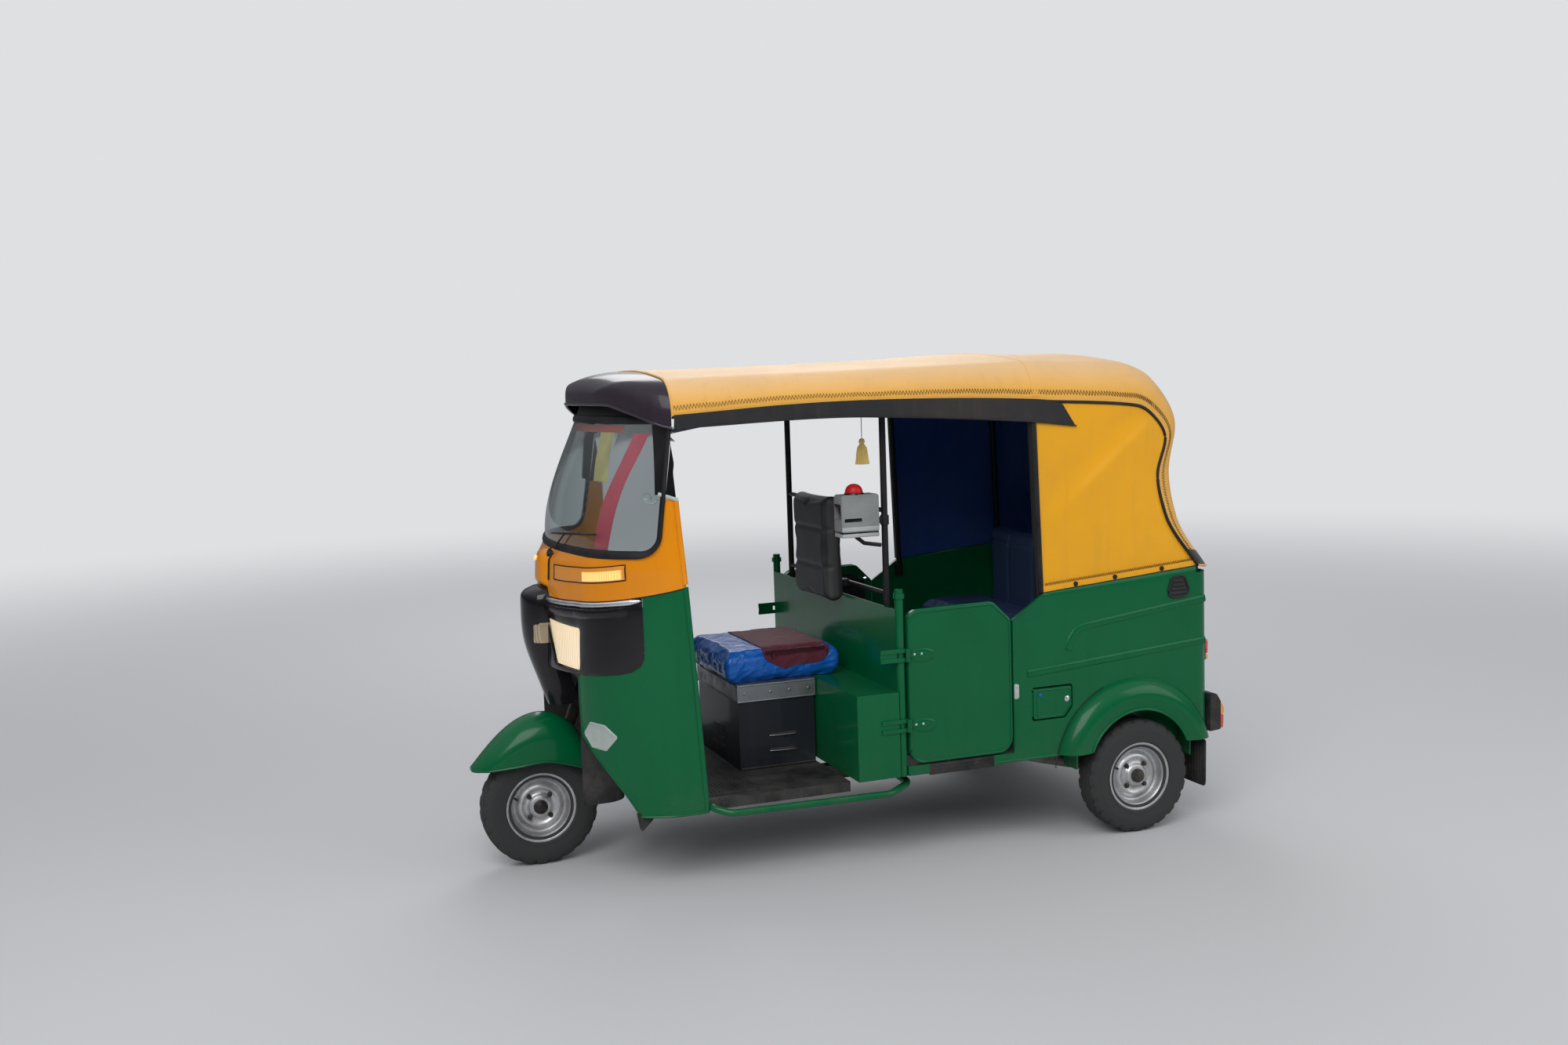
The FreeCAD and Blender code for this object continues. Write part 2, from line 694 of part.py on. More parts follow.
def hood_band(sections):
    """A fabric wall lofted through the band's cross-sections and open towards the cabin."""
    outer = Part.makeLoft([band_wire(section, 0, 0) for section in sections], True, False)
    inner = Part.makeLoft([band_wire(section, S.fabric, 12) for section in sections], True, False)
    return outer.cut(inner)


node(feature("HoodRoof", hood_band(ROOF_SECTIONS)), "hood_roof")


def window_prism(grow=0.0):
    half, low, high = S.window_half + grow, S.window_low_z - grow, S.window_high_z + grow
    outline = ((-half, low), (half, low), (half, high), (-half, high))
    rear = BACK_SECTIONS[-1][3]
    return front_plate(outline, rear - 60, rear + 260, S.window_corner + grow)


node(feature("HoodBack", hood_band(BACK_SECTIONS).cut(window_prism())), "hood_back")


def make_rear_window():
    """The clear sheet in the opening of the back curtain."""
    outer = Part.makeLoft([band_wire(section, 1.5, 0) for section in BACK_SECTIONS], True, False)
    inner = Part.makeLoft([band_wire(section, 4, 12) for section in BACK_SECTIONS], True, False)
    return outer.cut(inner).common(window_prism(-S.seat))


node(feature("RearWindow", make_rear_window()), "rear_window")


def quarter_outline():
    """Outline of a hood quarter from the side, as wire edges with the seam's curves."""
    foot, lean = S.quarter_front_x, S.quarter_lean
    seam = {name: Vector(x, 0, z) for name, x, z in (
        ("split", -943, 1496), ("turn", -1016, 1454), ("heel", -1057, 1378),
        ("waist", -1024, 1236), ("flare", -1074, 1084), ("end", -1182, 926))}
    low = Vector(foot, 0, S.tub_front_z + 3)
    high = Vector(foot + lean, 0, 1524)
    return Part.Wire([
        line(low, high), line(high, seam["split"]), arc(seam["split"], seam["turn"], seam["heel"]),
        arc(seam["heel"], seam["waist"], seam["flare"]), line(seam["flare"], seam["end"]),
        line(seam["end"], low)])


def make_quarter():
    face = Part.Face(quarter_outline())
    face.translate(Vector(0, 592 - S.fabric, 0))
    plate = face.extrude(Vector(0, S.fabric, 0))
    return plate.cut(Part.makeLoft([band_wire(section, 0, 0) for section in BACK_SECTIONS], True, False))


node(feature("HoodQuarterLeft", make_quarter()), "hood_quarter_left")
node(mirror("HoodQuarterRight", doc.HoodQuarterLeft), "hood_quarter_right")


def make_valances():
    """The black strips that hang under the hood's side seams, pointed at their rear ends."""
    plan = ((700, 547), (235, 572), (-198, 598), (-715, 599))
    faces = [Vector(x, y, 1400) for x, y in plan] + [Vector(x, y - 6, 1400) for x, y in reversed(plan)]
    strip = rounded_face(faces, [0] * 8).extrude(Vector(0, 0, 180))
    outline = ((696, 1529), (235, 1551), (-198, 1549), (-560, 1532), (-648, 1513), (-700, 1434),
               (-487, 1460), (-55, 1491), (236, 1500), (690, 1480))
    strip = strip.common(side_plate(outline, 400, 700))
    for sections in (ROOF_SECTIONS, BACK_SECTIONS[:3]):
        strip = strip.cut(Part.makeLoft([band_wire(section, -S.seat, 1) for section in sections], True, False))
    return both_sides(strip)


node(feature("Valances", make_valances()), "side_valances")


def hoop_points(section, foot=None):
    """A bow that lies inside the band at one section, with its feet down to a height if given."""
    seam_x, seam_z, half, crest_x, crest_z = section
    inset = S.fabric + S.tube_radius + S.seat
    seam, crest = Vector(seam_x, 0, seam_z), Vector(crest_x, 0, crest_z)
    rise = crest - seam
    height = rise.Length - inset
    rise.normalize()
    right = [seam + rise * (share * height) + Vector(0, half - inset - inward, 0)
             for inward, share in SHOULDER_POINTS]
    if foot:
        right.insert(0, Vector(foot[0], half - inset - 2, foot[1]))
    left = [Vector(p.x, -p.y, p.z) for p in right]
    return right + [seam + rise * height] + left[::-1]


def make_hood_frame():
    """Cant rails along the seams, two hoops standing inside the body walls and a front bow."""
    radius, inset = S.tube_radius, S.fabric + S.tube_radius + S.seat
    rail = [Vector(x, half - inset - 6, z - 2) for x, z, half, crest_x, crest_z in ROOF_SECTIONS]
    rail[0] += Vector(-26, 0, 0)
    rail[-1] += Vector(-62, 0, -22)
    rails = tube(rail, radius, 300)
    middle = (-536, 1527, 592, -536, 1697.5)
    rear = (-1000, 1468, 592, -1044, 1640)
    front = (680, 1524, 541, 680, 1673.5)
    foot_z, wall = S.tub_front_z - 62, S.tub_half - S.tub_wall
    hoops = [tube(hoop_points(middle, (-560, foot_z)), radius, 60),
             tube(hoop_points(rear, (-1020, foot_z)), radius, 60), tube(hoop_points(front), radius, 60)]
    pads = [solid_box((x - 16, x + 16), (wall - 16, wall - S.seat), (foot_z - 4, foot_z + 40))
            for x in (-560, -1020)]
    mirrored = [shape.mirror(Vector(), Vector(0, 1, 0)) for shape in [rails] + pads]
    return rails.multiFuse(mirrored + hoops + pads)


node(feature("HoodFrame", make_hood_frame()), "hood_frame")

# Rear body


def tub_solid(inset):
    """The rear body's plan with round rear corners, extruded past its top and bottom."""
    rear, half = S.tub_rear_x + inset, S.tub_half - inset
    outline = ((S.door_rear_x, half), (rear, half), (rear, -half), (S.door_rear_x, -half))
    radius = S.tub_corner - inset
    face = rounded_face([Vector(x, y, 200) for x, y in outline], (0, radius, radius, 0))
    return face.extrude(Vector(0, 0, 900))


def tub_side_view():
    """The rear body from the side: slanted front corner, rising top edge and clipped rear foot."""
    front = S.door_rear_x - S.door_gap
    return side_plate(((front, S.tub_low_z), (front, S.door_notch_z - 4),
                       (S.quarter_front_x, S.tub_front_z), (S.tub_rear_x - 10, S.tub_rear_z),
                       (S.tub_rear_x - 10, S.tub_low_z + 40), (S.rear_axle_x, S.tub_low_z)), -FAR, FAR)


def wheel_opening(radius, y_low, y_high):
    return Part.makeCylinder(radius, y_high - y_low, Vector(S.rear_axle_x + 6, y_low, S.arch_z),
                             Vector(0, 1, 0))


def make_flare():
    """A pressed rear fender: a bulging half ring with an inner lip."""
    radius, half, wall = S.flare_radius, S.flare_half, S.sheet_wall
    lip, base = S.arch_radius, S.tub_half - S.tub_wall
    centre = Vector(S.rear_axle_x + 6, 0, S.arch_z)

    def point(r, y):
        return centre + Vector(r, y, 0)

    outer = (point(radius, base), point(radius, S.tub_half), point(radius - 26, half - 12),
             point(lip + 44, half), point(lip, half - 10))
    inner = (point(lip, half - 10 - wall), point(lip + 44, half - wall),
             point(radius - 30, half - 14 - wall), point(radius - wall, base))
    profile = Part.Wire([
        line(outer[0], outer[1]), arc(*outer[1:4]), line(outer[3], outer[4]), line(outer[4], inner[0]),
        line(inner[0], inner[1]), arc(inner[1], inner[2], inner[3]), line(inner[3], outer[0])])
    ring = Part.Face(profile).revolve(centre, Vector(0, 1, 0), 360)
    return ring.common(solid_box((-2 * FAR, FAR), (0, FAR), (S.tub_low_z + 6, FAR)))


def flap_outline(gap=0.0):
    """The service flap from the side, with its lower rear corner cut."""
    front, rear = S.flap_front_x + gap, S.flap_rear_x - gap
    low, high = S.flap_low_z - gap, S.flap_high_z + gap
    return ((front, low), (front, high), (rear, high), (rear, low + 36), (rear + 30, low))


# The swages of the body side: points (x, z) along each.
SWAGES = (
    ((-1170, 652), (-495, 602)),
    ((-1170, 801), (-760, 752), (-690, 735), (-652, 672)),
)


def make_swage(points):
    """A half-round bead pressed out of the body side."""
    y = S.tub_half + S.swage_proud - S.swage_radius
    return tube([Vector(x, y, z) for x, z in points], S.swage_radius, 40)


def make_body_side():
    shell = tub_solid(0).cut(tub_solid(S.tub_wall)).common(tub_side_view())
    shell = shell.common(solid_box((-2 * FAR, FAR), (S.tail_half, FAR), (0, FAR)))
    shell = shell.cut(wheel_opening(S.flare_radius - S.sheet_wall, 0, FAR))
    sill = solid_box((S.door_rear_x - S.door_gap, S.bulkhead_x - 2 * S.post_radius - 2 * S.seat),
                     (S.tub_half - S.tub_wall, S.tub_half), (S.tub_low_z, S.door_low_z - S.door_gap))
    return shell.multiFuse([make_flare(), sill] + [make_swage(points) for points in SWAGES])


def make_left_side():
    return make_body_side().cut(side_plate(flap_outline(S.lid_gap / 2), 400, FAR, 10))


node(feature("BodySideLeft", make_left_side()), "body_side_left")
node(feature("BodySideRight", make_body_side().mirror(Vector(), Vector(0, 1, 0))), "body_side_right")


def make_service_flap():
    """The flap with its hinge barrel in the gap at the front edge."""
    low, high, half_gap = S.flap_low_z + 14, S.flap_high_z - 14, S.lid_gap / 2
    plate = side_plate(flap_outline(-half_gap), S.tub_half - S.tub_wall, S.tub_half + 2, 8)
    barrel = Part.makeCylinder(half_gap - S.seat, high - low, Vector(S.flap_front_x, S.tub_half - half_gap, low))
    leaf = solid_box((S.flap_front_x - half_gap - 2, S.flap_front_x),
                     (S.tub_half - half_gap - 1.5, S.tub_half - half_gap + 1.5), (low, high))
    return plate.multiFuse([barrel, leaf])


node(feature("ServiceFlap", make_service_flap()), "service_flap")


def lid_outline(gap=0.0):
    half, low, high = S.lid_half + gap, S.lid_low_z - gap, S.lid_high_z + gap
    return ((-half, low), (half, low), (half, high), (-half, high))


def make_tail_panel():
    shell = tub_solid(0).cut(tub_solid(S.tub_wall)).common(tub_side_view())
    half = S.tail_half - 0.3
    shell = shell.common(solid_box((-2 * FAR, S.rear_axle_x - 100), (-half, half), (0, FAR)))
    return shell.cut(front_plate(lid_outline(S.lid_gap), S.tub_rear_x - 50, S.tub_rear_x + 50, 40))


node(feature("TailPanel", make_tail_panel()), "tail_panel")


def make_engine_lid():
    rear = S.tub_rear_x
    lid = front_plate(lid_outline(), rear - 6, rear + S.tub_wall - 2, 34)
    slots = [solid_box((rear - 20, rear + 20), (side - 92, side + 92), (z, z + 11))
             for side in (-180, 180) for z in range(int(S.lid_low_z) + 60, int(S.lid_low_z) + 220, 26)]
    half_gap, top = S.lid_gap / 2, S.lid_high_z
    barrels = [Part.makeCylinder(half_gap - S.seat, 90, Vector(rear, side, top + half_gap), Vector(0, 1, 0))
               for side in (-225, 135)]
    leaves = [solid_box((rear - 2, rear + 2), (side, side + 90), (top - 2, top + half_gap))
              for side in (-225, 135)]
    return lid.cut(Part.makeCompound(slots)).multiFuse(barrels + leaves)


node(feature("EngineLid", make_engine_lid()), "engine_lid")


def wheel_boxes():
    """The boxes round the rear wheels, open below and towards the fenders."""
    axle, wall = S.rear_axle_x, S.sheet_wall
    front, back = axle + S.wheelbox_front, axle - S.wheelbox_back
    outer = solid_box((back, front), (S.wheelbox_half - wall, S.tub_half - S.tub_wall - 0.3),
                      (S.tub_low_z - 60, S.wheelbox_z + wall))
    inner = solid_box((back + wall, front - wall), (S.wheelbox_half, FAR), (0, S.wheelbox_z))
    shaft = Part.makeCylinder(S.drum_radius + 8, 200, Vector(axle, S.wheelbox_half - 100, S.wheel_radius), Vector(0, 1, 0))
    return both_sides(outer.cut(inner).cut(shaft))


node(feature("WheelBoxes", wheel_boxes()), "rear_wheel_boxes")

# Cabin

cross_outer = block("CrossBoxOuter", ("bulkhead_x", "box_front_x"), ("-tub_half", "tub_half"),
                    ("tub_low_z", "ledge_z"))
cross_inner = block("CrossBoxInner", ("bulkhead_x - 1", "box_front_x - panel_wall"),
                    ("panel_wall - tub_half", "tub_half - panel_wall"), ("tub_low_z - 1", "ledge_z - panel_wall"))
cross_box = cut("CrossBox", cross_outer, cross_inner)

bulkhead = block("BulkheadPanel", ("bulkhead_x - panel_wall", "bulkhead_x"),
                 ("post_radius - tub_half", "tub_half - post_radius"), ("tub_low_z", "bulkhead_z"))
posts = []
for side, sign in (("Left", ""), ("Right", "-")):
    seat = f"{sign}(tub_half - post_radius)"
    posts.append(rod(f"Post{side}", "post_radius", "post_z - tub_low_z",
                     ("bulkhead_x - post_radius - seat", seat, "tub_low_z"), "z"))
    posts.append(rod(f"Collar{side}", "post_radius + 5", "16",
                     ("bulkhead_x - post_radius - seat", seat, "post_z - 30"), "z"))


HINGE_HEIGHTS = (476, 712)


def hinge_axis():
    """Where the left door's hinge line stands in plan."""
    return S.door_front_x + S.door_gap / 2, S.tub_half + S.hinge_radius + S.seat


def hinge_pieces(side, reach, low, high):
    """A knuckle round the hinge line with its leaf, towards the door (-1) or the body (1)."""
    x, y = hinge_axis()
    pieces = []
    for z in HINGE_HEIGHTS:
        pieces.append(Part.makeCylinder(S.hinge_radius, high - low, Vector(x, y, z + low)))
        limits = sorted((x, x + side * reach))
        pieces.append(solid_box(limits, (S.tub_half + S.seat, S.tub_half + 5), (z + low, z + high)))
    return pieces


def make_hinges():
    """The body's half of the door hinges: two knuckles, leaf and pin at each height."""
    x, y = hinge_axis()
    upper, lower = hinge_pieces(1, 96, 8 + S.seat, 22), hinge_pieces(1, 96, -22, -8 - S.seat)
    pins = [Part.makeCylinder(S.hinge_radius / 2, 44, Vector(x, y, z - 22)) for z in HINGE_HEIGHTS]
    feet = [solid_box((x + 36, x + 96), (S.tub_half - 1, S.tub_half + 1), (z - 22, z + 22)) for z in HINGE_HEIGHTS]
    return both_sides(pins[0].multiFuse(pins[1:] + upper + lower + feet))


node(fuse("CrossMember", cross_box, bulkhead, *posts, feature("HingeHalves", make_hinges())), "cross_member")


def floor_limit():
    """The space inside the apron, prolonged to the cross box."""
    rear = solid_box((S.box_front_x, S.front_axle_x - 1.2 * S.cowl_rear_back), (-S.floor_half, S.floor_half),
                     (S.apron_low_z - 20, S.floor_z + 20))
    return front_solid(LOWER_SECTIONS, S.sheet_wall + S.seat).fuse(rear)


floor_outer = block("FloorOuter", ("box_front_x", "front_axle_x - well_back - seat"),
                    ("-floor_half", "floor_half"), ("floor_z - floor_flange", "floor_z"))
floor_inner = block("FloorInner", ("box_front_x - 1", "front_axle_x - well_back"),
                    ("floor_wall - floor_half", "floor_half - floor_wall"),
                    ("floor_z - floor_flange - 1", "floor_z - floor_wall"))
driver_floor = doc.addObject("Part::Common", "DriverFloor")
driver_floor.Base = cut("FloorTray", floor_outer, floor_inner)
driver_floor.Tool = feature("FloorLimit", floor_limit())

rear_plate = block("RearFloorPlate", ("riser_x", "bulkhead_x - panel_wall - seat"),
                   ("tub_wall - tub_half", "tub_half - tub_wall"), ("rear_floor_z - floor_wall", "rear_floor_z"))
notches = doc.addObject("Part::Compound", "PostNotches")
notch_x = ("bulkhead_x - 2 * post_radius - 2 * seat", "bulkhead_x")
notches.Links = [
    block("NotchLeft", notch_x, ("tub_half - 2 * post_radius - seat", "tub_half"), ("tub_low_z", "ledge_z")),
    block("NotchRight", notch_x, ("-tub_half", "2 * post_radius + seat - tub_half"), ("tub_low_z", "ledge_z"))]
floors = doc.addObject("Part::Compound", "Floors")
floors.Links = [driver_floor, cut("PassengerFloor", rear_plate, notches)]
node(floors, "floor_panels")


def make_bench():
    """Riser, top and back plate of the passenger bench, one welded frame."""
    wall, half = S.panel_wall, S.wheelbox_half - S.sheet_wall - 0.3
    front, rear, top = S.riser_x, S.bench_rear_x, S.bench_z
    riser = solid_box((front - wall, front), (-half, half), (S.tub_low_z, top))
    seat = solid_box((rear, front), (-half, half), (top - wall, top))
    back = solid_box((rear - wall, rear), (-half, half), (top - wall, S.tub_front_z + 10))
    deck = solid_box((S.tub_rear_x + S.tub_wall + 6, rear), (-half, half), (800, 800 + wall))
    ears = [solid_box((S.rear_axle_x + 56, S.rear_axle_x + 84), (side - 13, side + 13), (567.3, top - wall + 1))
            for side in (-440, 440)]
    return riser.multiFuse([seat, back, deck] + ears)


node(feature("Bench", make_bench()), "bench_frame")



def cushion(label, name, x, y, z, radius):
    """A cushion: a box bound to the sheet with all its edges rounded."""
    base = block(label + "Core", x, y, z)
    doc.recompute()
    rounded = doc.addObject("Part::Fillet", label)
    rounded.Base = base
    rounded.Edges = [(i + 1, radius, radius) for i in range(12)]
    return node(rounded, name)


cushion("RearCushion", "rear_cushion", ("bench_rear_x + 96", "riser_x + 18"), ("-490", "490"),
        ("bench_z + cushion_gap", "bench_z + cushion_gap + rear_cushion_height"), S.cushion_edge)
cushion("RearBackrest", "rear_backrest", ("bench_rear_x + 0.4", "bench_rear_x + 94"), ("-490", "490"),
        ("bench_z + cushion_gap", "bench_z + cushion_gap + rear_back_height"), S.backrest_edge)

box_solid = block("SeatBoxOuter", ("seat_box_rear_x", "seat_box_front_x"), ("-seat_box_half", "seat_box_half"),
                  ("floor_z", "seat_box_z"))
node(box_solid, "seat_box")
band_outer = block("BandOuter", ("seat_box_rear_x - 4", "seat_box_front_x + 4"),
                   ("-seat_box_half - 4", "seat_box_half + 4"), ("seat_box_z - 24", "seat_box_z + band_height - 24"))
band_inner = block("BandInner", ("seat_box_rear_x", "seat_box_front_x"), ("-seat_box_half", "seat_box_half"),
                   ("seat_box_z - 30", "seat_box_z + band_height - 30"))
node(cut("SeatBand", band_outer, band_inner), "seat_band")
cushion("DriverCushion", "driver_cushion", ("12", "seat_box_front_x + 62"),
        ("-driver_cushion_half", "driver_cushion_half"),
        ("seat_box_z + band_height - 24 + cushion_gap",
         "seat_box_z + band_height - 24 + cushion_gap + driver_cushion_height"), S.cushion_edge)
cushion("DriverBackrest", "driver_backrest", ("bulkhead_x + seat", "pole_x + 104"), ("-190", "190"),
        ("812", "1240"), S.backrest_edge)


def make_partition():
    """Two poles behind the driver with cross tubes that carry the backrest."""
    x, y, radius = S.pole_x, S.pole_y, S.tube_radius
    foot, front = S.bulkhead_z - 76, S.bulkhead_x - S.panel_wall - S.seat
    pole = Part.makeCylinder(radius, 1590 - foot, Vector(x, y, foot), Vector(0, 0, 1))
    pole = pole.fuse(solid_box((x, front), (y - 14, y + 14), (foot + 8, foot + 58)))
    other = pole.mirror(Vector(), Vector(0, 1, 0))
    rails = [Part.makeCylinder(S.cross_tube_radius, 2 * y, Vector(x, -y, z), Vector(0, 1, 0)) for z in (900, 1180)]
    pads = [solid_box((x + 3, S.bulkhead_x), (side - 14, side + 14), (z - 12, z + 12))
            for side in (-120, 120) for z in (900, 1180)]
    return pole.multiFuse([other] + rails + pads)


node(feature("Partition", make_partition()), "partition_frame")


def make_meter():
    """The fare meter: a grey case with a domed lamp, on a bracket from the left pole."""
    x, y, z = S.pole_x + 28, S.pole_y - 6, S.meter_z
    case = front_plate(((y - 36, z), (y + 36, z), (y + 36, z + 132), (y - 36, z + 132)), x, x + 160, 10)
    dome = Part.makeCylinder(30, 18, Vector(x + 78, y, z + 132)).fuse(
        Part.makeSphere(30, Vector(x + 78, y, z + 148)).common(
            solid_box((-FAR, FAR), (-FAR, FAR), (z + 148, FAR))))
    arm = solid_box((S.pole_x + S.tube_radius + S.seat, x + 2), (y - 8, y + 12), (z + 50, z + 78))
    return case.fuse(dome).fuse(arm)


node(feature("Meter", make_meter()), "fare_meter")

# Steering, with the front wheel's fork, link, guard and axle


def make_stem():
    """The steering stem: straight through the head tube, then cranked round the wheel to the link."""
    side, axle = -S.fork_side, S.front_axle_x
    top, low = steer_point(S.bar_z - 6), steer_point(548)
    path = [top, low, Vector(axle - 132, side, 430), Vector(axle - 96, side, 282)]
    stem = tube(path, S.stem_radius, 48)
    pivot = Part.makeCylinder(S.link_radius + 7, 38, Vector(axle - 94, side - 16, 278), Vector(0, 1, 0))
    bracket = solid_box((axle - 134, axle - 78), (side - 8, side + 8), (410, 438))
    pin = Part.makeCylinder(S.damper_pin, 70, Vector(axle - 92, side - 74, 424), Vector(0, 1, 0))
    return stem.multiFuse([pivot, bracket, pin])


node(feature("Stem", make_stem()), "steering_stem")


def make_link():
    """The trailing link from the stem's foot to the axle, with the axle and the brake plate."""
    side, axle, z = -S.fork_side, S.front_axle_x, S.wheel_radius
    arm = tube([Vector(axle - 94, side - 34, 278), Vector(axle, side - 34, z)], S.link_radius, 10)
    ends = [Part.makeCylinder(S.link_radius + 6, 18, Vector(axle - 94, side - 43, 278), Vector(0, 1, 0)),
            Part.makeCylinder(S.link_radius + 6, 34, Vector(axle, side - 43, z), Vector(0, 1, 0))]
    pin = Part.makeCylinder(S.axle_radius, -side + 43 + S.tyre_width / 4, Vector(axle, side - 43, z),
                            Vector(0, 1, 0))
    drum = Part.makeCylinder(S.drum_radius, S.drum_width,
                             Vector(axle, -S.rim_width / 2 - S.drum_gap - S.drum_width, z), Vector(0, 1, 0))
    lug = solid_box((axle - 8, axle + 20), (side - 42, side - 32), (z + 8, z + 44))
    damper_pin = Part.makeCylinder(S.damper_pin, 36, Vector(axle + 6, side - 74, z + 30), Vector(0, 1, 0))
    return arm.multiFuse(ends + [pin, drum, lug, damper_pin])



def make_damper(low, high, radius, turns, wire):
    """A coil-over damper turned about one line, with an eye at each end."""
    run = high - low
    length, core = run.Length, radius - 2 * wire
    start, stop = 0.15 * length, 0.85 * length
    pitch = (stop - start) / turns
    profile = [(0, 0), (core * 0.5, 0), (core * 0.5, start - 5), (radius, start - 5), (radius, start)]
    for turn in range(turns):
        profile += [(core, start + pitch * (turn + 0.12)), (radius - 1, start + pitch * (turn + 0.5)),
                    (core, start + pitch * (turn + 0.88))]
    profile += [(radius, stop), (radius, stop + 5), (core * 0.7, stop + 5), (core * 0.7, length), (0, length)]
    wire_loop = Part.makePolygon([Vector(r, 0, z) for r, z in profile + profile[:1]])
    turned = Part.Face(wire_loop).revolve(Vector(), Vector(0, 0, 1), 360)
    turned.Placement = Placement(low, Rotation(Vector(0, 0, 1), run))
    eyes = [Part.makeCylinder(wire + 9, 26, end - Vector(0, 13, 0), Vector(0, 1, 0)) for end in (low, high)]
    bores = [Part.makeCylinder(S.damper_pin + S.seat, 60, end - Vector(0, 30, 0), Vector(0, 1, 0))
             for end in (low, high)]
    return turned.multiFuse(eyes).cut(Part.makeCompound(bores))


front_damper_low = Vector(S.front_axle_x + 6, -S.fork_side - 60, S.wheel_radius + 30)
front_damper_high = Vector(S.front_axle_x - 92, -S.fork_side - 60, 424)
front_damper = make_damper(front_damper_low, front_damper_high, 27, 7, 5)
node(feature("FrontSuspension", Part.makeCompound([make_link(), front_damper])), "front_suspension")

# The front guard: x from the axle, lower edge z, half width, crown z.
GUARD_SECTIONS = (
    (226, 347, 22, 360),
    (175, 350, 64, 414),
    (87, 358, 84, 490),
    (-22, 366, 89, 524),
    (-129, 336, 87, 468),
    (-194, 300, 80, 330),
)


def make_guard():
    """The helmet-shaped front mudguard."""
    def wire(x, low, half, crown):
        bulge = min(half, 0.92 * (crown - low))
        spring = crown - bulge

        def point(y, z):
            return Vector(S.front_axle_x + x, y, z)

        return Part.Wire([line(point(half, low), point(half, spring)),
                          arc(point(half, spring), point(0, crown), point(-half, spring)),
                          line(point(-half, spring), point(-half, low)), line(point(-half, low), point(half, low))])

    wall = 3.0
    outer = Part.makeLoft([wire(*section) for section in GUARD_SECTIONS], True, False)
    inner_sections = [(x - (5 if i == 0 else 0) - (2 if i == len(GUARD_SECTIONS) - 1 else 0),
                       low - 14, half - wall, crown - wall)
                      for i, (x, low, half, crown) in enumerate(GUARD_SECTIONS)]
    inner = Part.makeLoft([wire(*section) for section in inner_sections], True, False)
    return outer.cut(inner)


node(feature("FrontGuard", make_guard()), "front_mudguard")


def make_handlebar():
    """A bent tube through the clamp on the stem, with a grip at each end."""
    top = steer_point(S.bar_z)
    half, rise = S.bar_half, 22
    points = [top + Vector(-26, -half, rise), top + Vector(-20, -half * 0.55, rise), top,
              top + Vector(-20, half * 0.55, rise), top + Vector(-26, half, rise)]
    bar = tube(points, S.bar_radius, 60)
    clamp = steer_cylinder(S.stem_radius + 8, S.bar_z - 30, S.bar_z + 22)
    grips = [Part.makeCylinder(S.grip_radius, S.grip_length,
                               top + Vector(-26, sign * (half - S.grip_length + 8), rise),
                               Vector(-0.04, sign, 0)) for sign in (-1, 1)]
    return bar.multiFuse([clamp] + grips)


node(feature("Handlebar", make_handlebar().cut(make_stem())), "handlebar")

# Wheels


def make_tyre():
    """A road tyre: sidewalls that bulge past the rim, a round shoulder and a flat crown."""
    bead, outer, half = S.rim_radius + S.rim_fit, S.wheel_radius, S.tyre_width / 2
    foot, flange = S.rim_width / 2 - 2 * S.rim_thickness - S.rim_fit, S.rim_flange_radius

    def point(radius, y):
        return Vector(radius, y, 0)

    right = [point(bead, foot), point(flange + 1.6, foot + 1), point((bead + outer) / 2 + 6, half),
             point(outer - 12, half - 7), point(outer - 3, half - 16)]
    left = [Vector(p.x, -p.y, 0) for p in right]
    profile = Part.Wire([
        line(right[0], right[1]), arc(*right[1:4]), line(right[3], right[4]),
        arc(right[4], point(outer, 0), left[4]), line(left[4], left[3]), arc(left[3], left[2], left[1]),
        line(left[1], left[0]), line(left[0], right[0])])
    return Part.Face(profile).revolve(Vector(), Vector(0, 1, 0), 360)


def make_rim():
    """A pressed steel rim: barrel with rolled flanges, a stepped disc and a hub dome with its bore."""
    seat, flange, wall, half = S.rim_radius, S.rim_flange_radius, S.rim_thickness, S.rim_width / 2
    bore = S.axle_radius + S.axle_fit
    points = ((bore, half - 6), (S.hub_radius - 8, half - 6), (S.hub_radius, half - 14),
              (S.hub_radius + 2, half - 28), (seat - 34, half - 22), (seat - 22, half - 34), (seat - wall, half - 36),
              (seat - wall, half - wall), (seat + 6, half - wall), (flange - 3, half - 1), (flange, half + 1),
              (flange - 1, half - wall - 1), (seat + 4, half - 2 * wall), (seat, half - 2 * wall),
              (seat, -half + 2 * wall), (seat + 4, -half + 2 * wall), (flange - 1, -half + wall + 1),
              (flange, -half - 1), (flange - 3, -half + 1), (seat + 6, -half + wall), (seat - wall, -half + wall),
              (seat - wall, half - 40), (seat - 24, half - 38), (seat - 36, half - 26), (S.hub_radius + 2, half - 33),
              (S.hub_radius - 10, -half + 4), (bore, -half + 4))
    wire = Part.makePolygon([Vector(r, y, 0) for r, y in points + (points[0],)])
    return Part.Face(wire).revolve(Vector(), Vector(0, 1, 0), 360)


# Wheel places: name, x, y, and the side on which the dished face looks out.
WHEELS = (
    ("front", S.front_axle_x, 0, 1),
    ("rear_left", S.rear_axle_x, S.rear_track_half, 1),
    ("rear_right", S.rear_axle_x, -S.rear_track_half, -1),
)
tyre_shape, rim_shape = make_tyre(), make_rim()
for name, x, y, side in WHEELS:
    turned = rim_shape if side > 0 else rim_shape.mirror(Vector(), Vector(0, 1, 0))
    for part, shape in (("tyre", tyre_shape), ("rim", turned)):
        wheel_piece = feature(f"{part}_{name}_piece", shape)
        wheel_piece.Placement = Placement(Vector(x, y, S.wheel_radius), Rotation())
        node(wheel_piece, f"{part}_{name}")

# Rear running gear and underbody


